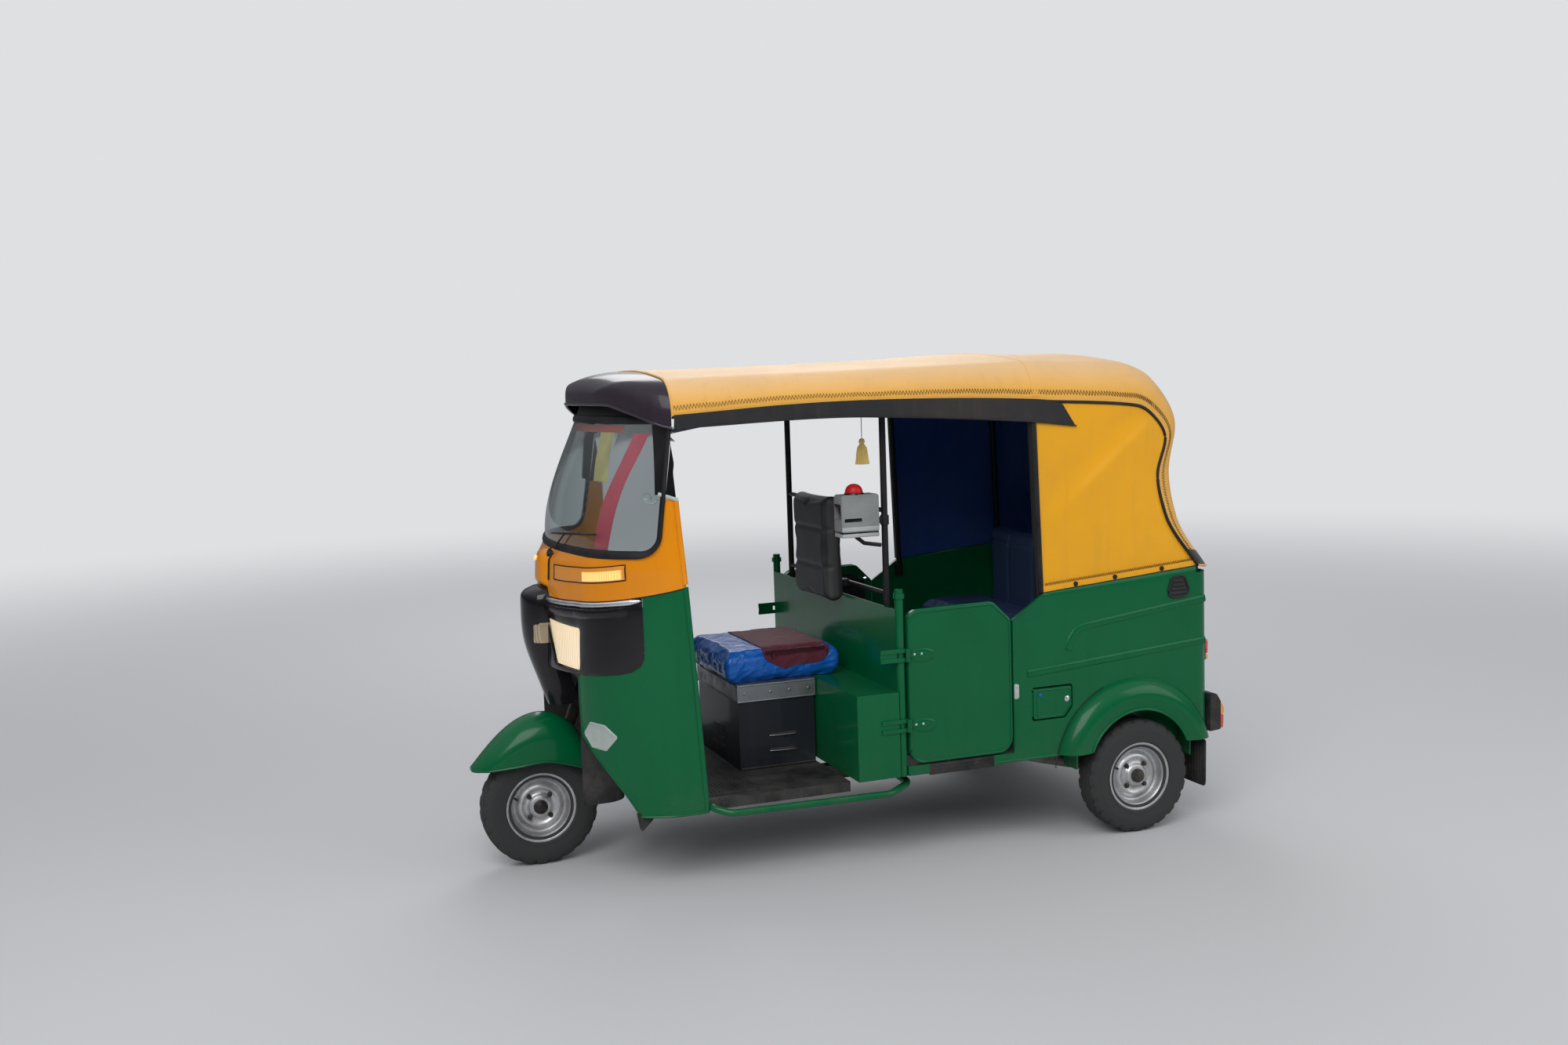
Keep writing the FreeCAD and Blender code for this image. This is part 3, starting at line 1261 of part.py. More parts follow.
def make_rear_arms():
    """Trailing arms with their pivot tubes, drums and axle stubs."""
    axle, track, z = S.rear_axle_x, S.rear_track_half, S.wheel_radius
    inner = track - S.rim_width / 2 - S.drum_gap
    arm = tube([Vector(axle + 370, 330, 272), Vector(axle + 300, 452, 268), Vector(axle + 20, 470, z)], 22, 60)
    pivot = Part.makeCylinder(26, 96, Vector(axle + 370, 282, 272), Vector(0, 1, 0))
    drum = Part.makeCylinder(S.drum_radius, S.drum_width, Vector(axle, inner - S.drum_width, z), Vector(0, 1, 0))
    hub = Part.makeCylinder(40, inner - S.drum_width - 440, Vector(axle, 440, z), Vector(0, 1, 0))
    pin = Part.makeCylinder(S.axle_radius, track + 44 - inner, Vector(axle, inner - 10, z), Vector(0, 1, 0))
    lug = solid_box((axle + 82, axle + 110), (459, 470), (216, 276))
    damper_pin = Part.makeCylinder(S.damper_pin, 34, Vector(axle + 96, 426, 262), Vector(0, 1, 0))
    return both_sides(arm.multiFuse([pivot, drum, hub, pin, lug, damper_pin]))


def make_rear_dampers():
    axle = S.rear_axle_x
    low, high = Vector(axle + 96, 440, 262), Vector(axle + 70, 440, 552)
    return both_sides(make_damper(low, high, 38, 7, 6))


def make_engine():
    """The engine and gearbox as one plain block, with its output bosses."""
    axle, half = S.rear_axle_x, S.engine_half
    block_shape = solid_box((axle - 188, axle + 130), (-half, half), (178, 470))
    bosses = [Part.makeCylinder(46, 24, Vector(axle, sign * half, S.wheel_radius), Vector(0, sign, 0))
              for sign in (-1, 1)]
    mounts = [solid_box((x - 18, x + 18), (-199.7, 199.7), (250, 274)) for x in (axle - 120, axle + 100)]
    return block_shape.multiFuse(bosses + mounts)


node(feature("Engine", make_engine()), "engine")


def make_half_shafts():
    axle, start, end = S.rear_axle_x, S.engine_half + 24.3, 439.7
    shaft = Part.makeCylinder(14, end - start, Vector(axle, start, S.wheel_radius), Vector(0, 1, 0))
    boots = [Part.makeCone(38, 20, 60, Vector(axle, start, S.wheel_radius), Vector(0, 1, 0)),
             Part.makeCone(20, 36, 60, Vector(axle, end - 60, S.wheel_radius), Vector(0, 1, 0))]
    return both_sides(shaft.multiFuse(boots))


node(feature("RearSuspension", Part.makeCompound([make_rear_arms(), make_rear_dampers(), make_half_shafts()])),
     "rear_suspension")


def make_underframe():
    """Two long channel rails with cross members, under both floors."""
    front, rear = S.front_axle_x - S.well_back - 40, S.riser_x - 20
    rail = solid_box((rear, front), (232, 282), (236, S.floor_z - S.floor_wall - 0.3))
    members = [solid_box((x - 22, x + 22), (-281, 281), (244, 278)) for x in (front - 60, 300, -60, rear + 40)]
    lift = solid_box((S.riser_x + S.seat, S.bulkhead_x - 40), (240, 274), (S.floor_z - S.floor_wall - 1,
                                                           S.rear_floor_z - S.floor_wall - 0.3))
    cradle = solid_box((S.rear_axle_x - 188, rear + 10), (200, 233), (246, 278))
    mirrored = [shape.mirror(Vector(), Vector(0, 1, 0)) for shape in (rail, lift, cradle)]
    return rail.multiFuse([lift, cradle] + mirrored + members)


node(feature("Underframe", make_underframe()), "underframe")


def make_step_rail():
    """The low tube along the side of the floor, bent in at both ends."""
    front = S.front_axle_x - S.cowl_rear_back - 14
    z, out = S.rail_z, S.tub_half - 8
    ends = S.floor_half + S.seat
    return both_sides(tube([Vector(front, ends, z + 14), Vector(front, ends + 26, z + 14),
                            Vector(front - 48, out - 10, z), Vector(20, out, z - 4), Vector(-70, 540, z + 12),
                            Vector(-78, 283, z + 12)], S.rail_radius, 50))


node(feature("StepRails", make_step_rail()), "step_rails")


def make_silencer():
    can = Part.makeCylinder(58, 380, Vector(S.rear_axle_x - 256, -210, 272), Vector(0, 1, 0))
    pipe = tube([Vector(S.rear_axle_x - 256, -205, 272), Vector(S.rear_axle_x - 256, -250, 272),
                 Vector(S.rear_axle_x - 330, -262, 262)], 16, 30)
    stay = solid_box((S.rear_axle_x - 256, S.rear_axle_x - 188 - S.seat), (-100, -64), (262, 282))
    return can.multiFuse([pipe, stay])


node(feature("Silencer", make_silencer()), "silencer")


def make_bumper():
    """The rear bumper tube with two stays and its end plates."""
    rear, radius = S.tub_rear_x - 34, S.bumper_radius
    bar = Part.makeCylinder(radius, 1060, Vector(rear, -530, 366), Vector(0, 1, 0))
    stays = [solid_box((rear, S.tub_rear_x - S.seat), (y - 15, y + 15), (356, 376)) for y in (-420, 420)]
    return bar.multiFuse(stays)


node(feature("Bumper", make_bumper()), "rear_bumper")


def make_corner_lamps():
    """Lamp blocks at both ends of the bumper, with sloping tops."""
    rear, front = S.corner_lamp_rear_x, S.tub_rear_x - 0.3
    outline = ((front, 318), (front, 462), (rear + 30, 452), (rear, 398), (rear + 4, 318))
    return both_sides(side_plate(outline, 530.3, 592, (0, 10, 10, 10, 6)))


node(feature("CornerLamps", make_corner_lamps()), "corner_lamps")


def make_tail_lamps():
    rear = S.tub_rear_x
    lens = front_plate(((486, 572), (552, 572), (552, 646), (486, 646)), rear - 24, rear - 0.3, 12)
    return both_sides(lens)


node(feature("TailLamps", make_tail_lamps()), "tail_lamps")


def make_mudflaps():
    """Rubber flaps behind the rear wheels, wider below the body's foot."""
    low, top, foot = S.mudflap_low_z, S.tub_low_z + 72, S.tub_low_z - 6
    wall = S.tub_half - S.tub_wall - 2.2
    outline = ((452, low), (452, top), (wall, top), (wall, foot), (626, foot), (622, low))
    return both_sides(front_plate(outline, S.mudflap_x, S.mudflap_x + S.mudflap_wall, (12, 0, 0, 4, 4, 12)))


node(feature("Mudflaps", make_mudflaps()), "mudflaps")

# Doors


def door_outline():
    """A half door from the side, with its top rear corner cut along the body's slope."""
    front, rear = S.door_front_x, S.door_rear_x
    low, high = S.door_low_z, S.door_high_z
    return ((front, low), (front, high - 6), (rear + 66, high), (rear, S.door_notch_z), (rear, low))


def make_door():
    """A half door with its straps and knuckles, bored for the hinge pins."""
    corner, outer = S.door_corner, S.tub_half
    radii = (corner, corner * 0.8, 22, 16, corner)
    door = side_plate(door_outline(), outer - S.door_thickness, outer, radii)
    x, y = hinge_axis()
    knuckles = hinge_pieces(-1, 78, -8, 8)
    feet = [solid_box((x - 76, x - 20), (outer - 1, outer + 1), (z - 8, z + 8)) for z in HINGE_HEIGHTS]
    bores = [Part.makeCylinder(S.hinge_radius / 2 + S.seat, 60, Vector(x, y, z - 30)) for z in HINGE_HEIGHTS]
    return door.multiFuse(knuckles + feet).cut(Part.makeCompound(bores))


node(feature("DoorLeft", make_door()), "door_left")
node(mirror("DoorRight", doc.DoorLeft), "door_right")


def export():
    """Check every object, then write each piece to its own file."""
    doc.recompute()
    faults = [obj.Label for obj in doc.Objects if {"Invalid", "Error"} & set(obj.State)]
    faults += [obj.Label for obj in NODES if obj.Shape.isNull() or not obj.Shape.isValid()]
    if faults:
        raise ValueError("objects that failed: " + ", ".join(faults))
    os.makedirs("parts", exist_ok=True)
    for obj in NODES:
        obj.Shape.exportStep(f"parts/{obj.Label}.step")
        box = obj.Shape.BoundBox
        print(f"{obj.Label:20s} solids {len(obj.Shape.Solids)} x {box.XMin:.0f} {box.XMax:.0f}"
              f" y {box.YMin:.0f} {box.YMax:.0f} z {box.ZMin:.0f} {box.ZMax:.0f}")


export()
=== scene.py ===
import json
import logging
import math
from dataclasses import dataclass, field
from enum import Enum
from typing import Callable, Iterable, Iterator, Optional, Sequence

import bmesh
import bpy
from mathutils import Matrix, Vector, noise
from mathutils.bvhtree import BVHTree


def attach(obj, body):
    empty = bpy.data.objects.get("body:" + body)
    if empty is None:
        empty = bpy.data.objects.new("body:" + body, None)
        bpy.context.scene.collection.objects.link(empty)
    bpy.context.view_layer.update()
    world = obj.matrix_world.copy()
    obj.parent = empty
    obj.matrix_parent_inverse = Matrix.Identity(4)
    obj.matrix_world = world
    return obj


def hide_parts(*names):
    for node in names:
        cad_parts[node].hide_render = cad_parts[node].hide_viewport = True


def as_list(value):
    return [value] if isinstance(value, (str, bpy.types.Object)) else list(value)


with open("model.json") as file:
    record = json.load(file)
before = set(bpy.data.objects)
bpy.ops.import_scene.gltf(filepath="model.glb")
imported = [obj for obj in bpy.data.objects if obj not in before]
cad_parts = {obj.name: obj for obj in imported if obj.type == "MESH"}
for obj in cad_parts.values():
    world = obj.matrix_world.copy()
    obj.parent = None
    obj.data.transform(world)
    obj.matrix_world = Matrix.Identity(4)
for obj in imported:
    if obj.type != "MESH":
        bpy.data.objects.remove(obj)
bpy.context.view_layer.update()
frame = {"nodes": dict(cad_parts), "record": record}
LOG = logging.getLogger("rickshaw")
MM = 0.001
WELD = 0.00004
BEVEL_OVER = math.radians(40)
LEFT = Vector((0, 1, 0))
UP = Vector((0, 0, 1))
REAR = Vector((-1, 0, 0))

Rgb = tuple[float, float, float]
Point = tuple[float, float]
Row = list[Vector]


class Body(Enum):
    """The rigid bodies of the vehicle that pieces ride on."""

    MAIN = "vehicle_body"
    STEERING = "steering"
    FRONT_WHEEL = "wheel_front"
    REAR_LEFT_WHEEL = "wheel_rear_left"
    REAR_RIGHT_WHEEL = "wheel_rear_right"
    LEFT_DOOR = "door_left"
    RIGHT_DOOR = "door_right"
    FLAP = "service_flap"
    LID = "engine_lid"


# Node groups


class NodeBench:
    """Adds nodes to a tree, sets their sockets and links them."""

    def __init__(self, tree: bpy.types.NodeTree) -> None:
        """Work on one tree.

        Args:
            tree: the material's or group's node tree.
        """
        self.tree = tree

    def feed(self, socket: bpy.types.NodeSocket, value: object) -> None:
        """Link a socket to another one, or set it to a plain value."""
        if isinstance(value, bpy.types.NodeSocket):
            self.tree.links.new(value, socket)
        else:
            socket.default_value = value

    def add(self, kind: str, settings: Optional[dict] = None, **inputs: object) -> bpy.types.Node:
        """Add a node.

        Args:
            kind: the node's type name, without the ShaderNode prefix.
            settings: attributes of the node.
            **inputs: values or sockets by input name, with spaces as underscores, or by index as i0, i1.

        Returns:
            The new node.
        """
        node = self.tree.nodes.new("ShaderNode" + kind)
        for name, value in (settings or {}).items():
            setattr(node, name, value)
        for name, value in inputs.items():
            index = name[1:]
            numbered = name[0] == "i" and index.isdigit()
            self.feed(node.inputs[int(index) if numbered else name.replace("_", " ")], value)
        return node

    def math(self, operation: str, first: object, second: object = 0.0) -> bpy.types.NodeSocket:
        """Return the output of a Math node that is clamped to 0 to 1."""
        node = self.add("Math", {"operation": operation, "use_clamp": True}, i0=first, i1=second)
        return node.outputs[0]

    def blend(self, factor: object, first: object, second: object) -> bpy.types.NodeSocket:
        """Return a mix of two colours by a factor."""
        mix = self.tree.nodes.new("ShaderNodeMix")
        mix.data_type = "RGBA"
        for index, value in ((0, factor), (6, first), (7, second)):
            self.feed(mix.inputs[index], value)
        return mix.outputs[2]

    def ramp(self, value: bpy.types.NodeSocket, low: float, high: float) -> bpy.types.NodeSocket:
        """Return 0 to 1 as the value goes from low to high, smoothly."""
        node = self.add("MapRange", {"interpolation_type": "SMOOTHSTEP"}, Value=value, From_Min=low,
                        From_Max=high)
        return node.outputs[0]


class EffectGroup:
    """A node group that several materials share, built once."""

    name = "effect"
    inputs: tuple[tuple[str, str, float], ...] = ()
    outputs: tuple[tuple[str, str], ...] = ()

    def tree(self) -> bpy.types.NodeTree:
        """Return the group, and build it the first time."""
        found = bpy.data.node_groups.get(self.name)
        if found:
            return found
        tree = bpy.data.node_groups.new(self.name, "ShaderNodeTree")
        for label, kind, value in self.inputs:
            socket = tree.interface.new_socket(name=label, in_out="INPUT", socket_type=kind)
            if kind == "NodeSocketFloat":
                socket.default_value = value
        for label, kind in self.outputs:
            tree.interface.new_socket(name=label, in_out="OUTPUT", socket_type=kind)
        bench = NodeBench(tree)
        source = tree.nodes.new("NodeGroupInput")
        target = tree.nodes.new("NodeGroupOutput")
        results = self.fill(bench, source.outputs)
        for label, socket in results.items():
            tree.links.new(socket, target.inputs[label])
        return tree

    def fill(self, bench: NodeBench, source: object) -> dict[str, bpy.types.NodeSocket]:
        """Build the group's inner nodes and return its output sockets by name."""
        raise NotImplementedError

    def use(self, bench: NodeBench, **inputs: object) -> bpy.types.Node:
        """Place the group in a material with its own values."""
        node = bench.tree.nodes.new("ShaderNodeGroup")
        node.node_tree = self.tree()
        for name, value in inputs.items():
            bench.feed(node.inputs[name.replace("_", " ")], value)
        return node


class RoadGrime(EffectGroup):
    """Dust and splashes that thicken towards the ground, broken up by noise."""

    name = "road_grime"
    inputs = (("Color", "NodeSocketColor", 0), ("Dirt", "NodeSocketColor", 0),
              ("Low", "NodeSocketFloat", 0.25), ("High", "NodeSocketFloat", 0.7),
              ("Amount", "NodeSocketFloat", 0.6))
    outputs = (("Color", "NodeSocketColor"), ("Mask", "NodeSocketFloat"))

    def fill(self, bench: NodeBench, source: object) -> dict[str, bpy.types.NodeSocket]:
        """Mix the dirt colour in by height and noise."""
        place = bench.add("NewGeometry")
        height = bench.add("SeparateXYZ", i0=place.outputs["Position"]).outputs[2]
        fade = bench.add("MapRange", {"interpolation_type": "SMOOTHSTEP"}, Value=height,
                         From_Min=source["Low"], From_Max=source["High"], To_Min=1.0, To_Max=0.0).outputs[0]
        cloud = bench.add("TexNoise", Scale=9.0, Detail=6.0, Roughness=0.65, Vector=place.outputs["Position"])
        spots = bench.add("TexNoise", Scale=120.0, Detail=3.0, Roughness=0.6,
                          Vector=place.outputs["Position"])
        patchy = bench.math("MULTIPLY", fade, bench.ramp(cloud.outputs[0], 0.34, 0.66))
        specks = bench.math("MULTIPLY", fade, bench.ramp(spots.outputs[0], 0.60, 0.70))
        mask = bench.math("MULTIPLY", bench.math("ADD", patchy, specks), source["Amount"])
        return {"Color": bench.blend(mask, source["Color"], source["Dirt"]), "Mask": mask}


class ColourDrift(EffectGroup):
    """Slow changes of tone over a surface, with faint vertical streaks."""

    name = "colour_drift"
    inputs = (("Color", "NodeSocketColor", 0), ("Other", "NodeSocketColor", 0),
              ("Scale", "NodeSocketFloat", 3.0), ("Amount", "NodeSocketFloat", 0.4))
    outputs = (("Color", "NodeSocketColor"), ("Mask", "NodeSocketFloat"))

    def fill(self, bench: NodeBench, source: object) -> dict[str, bpy.types.NodeSocket]:
        """Mix two tones by a cloud of noise and stretched streaks."""
        place = bench.add("NewGeometry").outputs["Position"]
        cloud = bench.add("TexNoise", Vector=place, Scale=source["Scale"], Detail=5.0, Roughness=0.6)
        stretched = bench.add("Mapping", Vector=place, Scale=(14.0, 14.0, 1.6))
        streak = bench.add("TexNoise", Vector=stretched.outputs[0], Scale=2.2, Detail=4.0)
        both = bench.math("ADD", bench.ramp(cloud.outputs[0], 0.35, 0.7),
                          bench.math("MULTIPLY", bench.ramp(streak.outputs[0], 0.52, 0.75), 0.5))
        mask = bench.math("MULTIPLY", both, source["Amount"])
        return {"Color": bench.blend(mask, source["Color"], source["Other"]), "Mask": mask}


class FineScratches(EffectGroup):
    """Thin short scratches in two directions."""

    name = "fine_scratches"
    inputs = (("Scale", "NodeSocketFloat", 1.0), ("Amount", "NodeSocketFloat", 0.3))
    outputs = (("Mask", "NodeSocketFloat"),)

    def fill(self, bench: NodeBench, source: object) -> dict[str, bpy.types.NodeSocket]:
        """Threshold two strongly stretched noises."""
        place = bench.add("NewGeometry").outputs["Position"]
        scaled = bench.add("VectorMath", {"operation": "SCALE"}, Vector=place,
                           Scale=source["Scale"]).outputs[0]
        lines = []
        for turn, scale in (((0.2, 0.5, 0.1), (5.0, 240.0, 240.0)), ((0.4, -0.7, 0.5), (6.0, 180.0, 210.0))):
            mapped = bench.add("Mapping", Vector=scaled, Rotation=turn, Scale=scale)
            grain = bench.add("TexNoise", Vector=mapped.outputs[0], Scale=1.0, Detail=1.0)
            lines.append(bench.ramp(grain.outputs[0], 0.69, 0.74))
        return {"Mask": bench.math("MULTIPLY", bench.math("MAXIMUM", *lines), source["Amount"])}


class WovenThread(EffectGroup):
    """A plain weave as a height field, with slubs."""

    name = "woven_thread"
    inputs = (("Scale", "NodeSocketFloat", 700.0),)
    outputs = (("Height", "NodeSocketFloat"),)

    def fill(self, bench: NodeBench, source: object) -> dict[str, bpy.types.NodeSocket]:
        """Cross two sets of bands and add a little noise."""
        place = bench.add("NewGeometry").outputs["Position"]
        bands = []
        for axis in ("X", "Z"):
            wave = bench.add("TexWave", {"bands_direction": axis, "wave_profile": "SIN"}, Vector=place,
                             Scale=source["Scale"], Distortion=0.6, Detail=1.0)
            bands.append(wave.outputs["Fac"])
        slub = bench.add("TexNoise", Vector=place, Scale=260.0, Detail=3.0)
        crossed = bench.math("MULTIPLY", *bands)
        return {"Height": bench.math("ADD", crossed, bench.math("MULTIPLY", slub.outputs[0], 0.5))}


class PebbledGrain(EffectGroup):
    """The small cells of grained vinyl or moulded plastic as a height field."""

    name = "pebbled_grain"
    inputs = (("Scale", "NodeSocketFloat", 420.0),)
    outputs = (("Height", "NodeSocketFloat"),)

    def fill(self, bench: NodeBench, source: object) -> dict[str, bpy.types.NodeSocket]:
        """Use smooth cells with fine noise between them."""
        place = bench.add("NewGeometry").outputs["Position"]
        cells = bench.add("TexVoronoi", {"feature": "SMOOTH_F1"}, Vector=place, Scale=source["Scale"])
        fine = bench.add("TexNoise", Vector=place, Scale=900.0, Detail=2.0)
        return {"Height": bench.math("ADD", cells.outputs["Distance"],
                                     bench.math("MULTIPLY", fine.outputs[0], 0.3))}


# Finishes


def rgba(colour: Rgb) -> tuple[float, float, float, float]:
    """Return a colour with full opacity."""
    return (*colour, 1.0)


@dataclass(frozen=True)
class Finish:
    """A surface finish and the material slot of the record that it belongs to."""

    name: str
    slot: str
    colour: Rgb
    roughness: float = 0.5

    def material(self) -> bpy.types.Material:
        """Return the material, and build it the first time."""
        found = bpy.data.materials.get(self.name)
        if found:
            return found
        material = bpy.data.materials.new(self.name)
        material.use_nodes = True
        bench = NodeBench(material.node_tree)
        shader = material.node_tree.nodes["Principled BSDF"]
        self.dress(bench, shader)
        return material

    def set(self, bench: NodeBench, shader: bpy.types.Node, **inputs: object) -> None:
        """Set or link the shader's sockets by name."""
        for name, value in inputs.items():
            bench.feed(shader.inputs[name.replace("_", " ")], value)

    def bump(self, bench: NodeBench, height: bpy.types.NodeSocket, depth: float, strength: float = 0.5
             ) -> bpy.types.NodeSocket:
        """Return the normal of a bump of that depth in metres."""
        return bench.add("Bump", Height=height, Distance=depth, Strength=strength).outputs[0]

    def dress(self, bench: NodeBench, shader: bpy.types.Node) -> None:
        """Build the material's nodes."""
        raise NotImplementedError


@dataclass(frozen=True)
class Enamel(Finish):
    """Gloss paint on sheet metal, with road dirt below and fine scratches."""

    shade: Rgb = (0.0, 0.0, 0.0)
    dirt: Rgb = (0.16, 0.13, 0.10)
    grime: float = 0.55
    grime_top: float = 0.72
    coat: float = 0.7

    def dress(self, bench: NodeBench, shader: bpy.types.Node) -> None:
        """Paint, drift, dirt, scratches and orange peel."""
        drift = ColourDrift().use(bench, Color=rgba(self.colour), Other=rgba(self.shade), Scale=2.4,
                                  Amount=0.55)
        dirty = RoadGrime().use(bench, Color=drift.outputs["Color"], Dirt=rgba(self.dirt), Low=0.22,
                                High=self.grime_top, Amount=self.grime)
        scratch = FineScratches().use(bench, Scale=1.7, Amount=0.16)
        worn = tuple(min(1.0, c * 1.6 + 0.03) for c in self.colour)
        colour = bench.blend(bench.math("MULTIPLY", scratch.outputs[0], 0.3), dirty.outputs["Color"],
                             rgba(worn))
        rough = bench.math("ADD", bench.math("MULTIPLY", dirty.outputs["Mask"], 0.5),
                           bench.math("ADD", bench.math("MULTIPLY", scratch.outputs[0], 0.1), self.roughness))
        peel = bench.add("TexNoise", Scale=170.0, Detail=2.0,
                         Vector=bench.add("NewGeometry").outputs["Position"])
        self.set(bench, shader, Base_Color=colour, Roughness=rough, Coat_Weight=self.coat,
                 Coat_Roughness=0.06, Specular_IOR_Level=0.15,
                 Normal=self.bump(bench, peel.outputs[0], 0.0006, 0.06))


@dataclass(frozen=True)
class Moulded(Finish):
    """Plastic or rubber with a fine grain, dusty in its low places."""

    dust: Rgb = (0.20, 0.18, 0.16)
    dusting: float = 0.35
    grain: float = 420.0
    depth: float = 0.0003
    specular: float = 0.22
    coat: float = 0.0

    def dress(self, bench: NodeBench, shader: bpy.types.Node) -> None:
        """Base tone, dust and grain."""
        lighter = tuple(min(1.0, c * 1.5 + 0.012) for c in self.colour)
        drift = ColourDrift().use(bench, Color=rgba(self.colour), Other=rgba(lighter), Scale=6.0, Amount=0.6)
        dirty = RoadGrime().use(bench, Color=drift.outputs["Color"], Dirt=rgba(self.dust), Low=0.05, High=1.1,
                                Amount=self.dusting)
        grain = PebbledGrain().use(bench, Scale=self.grain)
        rough = bench.math("ADD", bench.math("MULTIPLY", dirty.outputs["Mask"], 0.4), self.roughness)
        self.set(bench, shader, Base_Color=dirty.outputs["Color"], Roughness=rough, Coat_Weight=self.coat,
                 Specular_IOR_Level=self.specular, Normal=self.bump(bench, grain.outputs[0], self.depth))


@dataclass(frozen=True)
class Canvas(Finish):
    """Coated cloth: a weave under the coating, painted lighter where it faces the sky, partly as sun fading
    and partly as a painted highlight.
    """

    fade_highlight_colour: Rgb = (0.0, 0.0, 0.0)
    dirt: Rgb = (0.20, 0.14, 0.07)
    weave: float = 620.0
    sheen: float = 0.25

    def dress(self, bench: NodeBench, shader: bpy.types.Node) -> None:
        """Weave, a lighter top that is partly sun fading and partly a painted highlight, stains and soft
        creases.
        """
        place = bench.add("NewGeometry")
        up = bench.add("SeparateXYZ", i0=place.outputs["Normal"]).outputs[2]
        # Faces that point up are painted lighter: a painted highlight of the light from above, together with
        # sun fading.
        fade_highlight_mask = bench.math("MULTIPLY", bench.ramp(up, 0.15, 0.95), 0.85)
        top = bench.blend(fade_highlight_mask, rgba(self.colour), rgba(self.fade_highlight_colour))
        stain = ColourDrift().use(bench, Color=top, Other=rgba(self.dirt), Scale=1.7, Amount=0.12)
        weave = WovenThread().use(bench, Scale=self.weave)
        crease = bench.add("TexNoise", Vector=place.outputs["Position"], Scale=7.0, Detail=5.0,
                           Roughness=0.55, Distortion=0.6)
        soft = self.bump(bench, crease.outputs[0], 0.012, 0.22)
        fine = bench.add("Bump", Height=weave.outputs[0], Distance=0.0006, Strength=0.35, Normal=soft)
        rough = bench.math("ADD", bench.math("MULTIPLY", stain.outputs["Mask"], 0.5), self.roughness)
        self.set(bench, shader, Base_Color=stain.outputs["Color"], Roughness=rough, Sheen_Weight=self.sheen,
                 Sheen_Roughness=0.5, Specular_IOR_Level=0.25, Normal=fine.outputs[0])


@dataclass(frozen=True)
class Vinyl(Finish):
    """Seat vinyl with a leather grain and worn, shiny places."""

    worn: Rgb = (0.1, 0.1, 0.1)
    grain: float = 330.0
    wrinkle: float = 0.004
    coat: float = 0.0

    def dress(self, bench: NodeBench, shader: bpy.types.Node) -> None:
        """Grain, wear and soft wrinkles."""
        place = bench.add("NewGeometry")
        drift = ColourDrift().use(bench, Color=rgba(self.colour), Other=rgba(self.worn), Scale=5.0,
                                  Amount=0.7)
        grain = PebbledGrain().use(bench, Scale=self.grain)
        fold = bench.add("TexNoise", Vector=place.outputs["Position"], Scale=16.0, Detail=4.0, Distortion=1.2)
        soft = self.bump(bench, fold.outputs[0], self.wrinkle, 0.5)
        fine = bench.add("Bump", Height=grain.outputs[0], Distance=0.0007, Strength=0.4, Normal=soft)
        rough = bench.math("ADD", bench.math("MULTIPLY", drift.outputs["Mask"], 0.25), self.roughness)
        self.set(bench, shader, Base_Color=drift.outputs["Color"], Roughness=rough, Normal=fine.outputs[0],
                 Coat_Weight=self.coat, Coat_Roughness=0.15, Specular_IOR_Level=0.25)


@dataclass(frozen=True)
class Metal(Finish):
    """Bare or plated metal with brushing, smudges and some dirt."""

    metallic: float = 1.0
    brushing: float = 0.3
    dirt: Rgb = (0.10, 0.08, 0.06)
    grime: float = 0.5

    def dress(self, bench: NodeBench, shader: bpy.types.Node) -> None:
        """Brushed lines, dull patches and dirt."""
        place = bench.add("NewGeometry").outputs["Position"]
        dirty = RoadGrime().use(bench, Color=rgba(self.colour), Dirt=rgba(self.dirt), Low=0.1, High=0.9,
                                Amount=self.grime)
        scratch = FineScratches().use(bench, Scale=1.6, Amount=0.8)
        smudge = bench.add("TexNoise", Vector=place, Scale=22.0, Detail=5.0)
        rough = bench.math("ADD", bench.math("MULTIPLY", bench.ramp(smudge.outputs[0], 0.35, 0.7), 0.22),
                           bench.math("ADD", bench.math("MULTIPLY", dirty.outputs["Mask"], 0.35),
                                      self.roughness))
        self.set(bench, shader, Base_Color=dirty.outputs["Color"], Metallic=self.metallic, Roughness=rough,
                 Normal=self.bump(bench, scratch.outputs[0], 0.0003, self.brushing))


@dataclass(frozen=True)
class ClearGlass(Finish):
    """Window glass or clear sheet with a film of dust."""

    waviness: float = 0.0
    haze: float = 0.2

    def dress(self, bench: NodeBench, shader: bpy.types.Node) -> None:
        """Transmission, with roughness from dust and a slight wave."""
        place = bench.add("NewGeometry").outputs["Position"]
        film = bench.add("TexNoise", Vector=place, Scale=5.0, Detail=6.0, Roughness=0.6)
        rough = bench.math("ADD", bench.math("MULTIPLY", bench.ramp(film.outputs[0], 0.4, 0.75), self.haze),
                           self.roughness)
        wave = bench.add("TexNoise", Vector=place, Scale=9.0, Detail=2.0)
        self.set(bench, shader, Base_Color=rgba(self.colour), Roughness=rough, IOR=1.45,
                 Transmission_Weight=1.0, Normal=self.bump(bench, wave.outputs[0], self.waviness, 0.3))


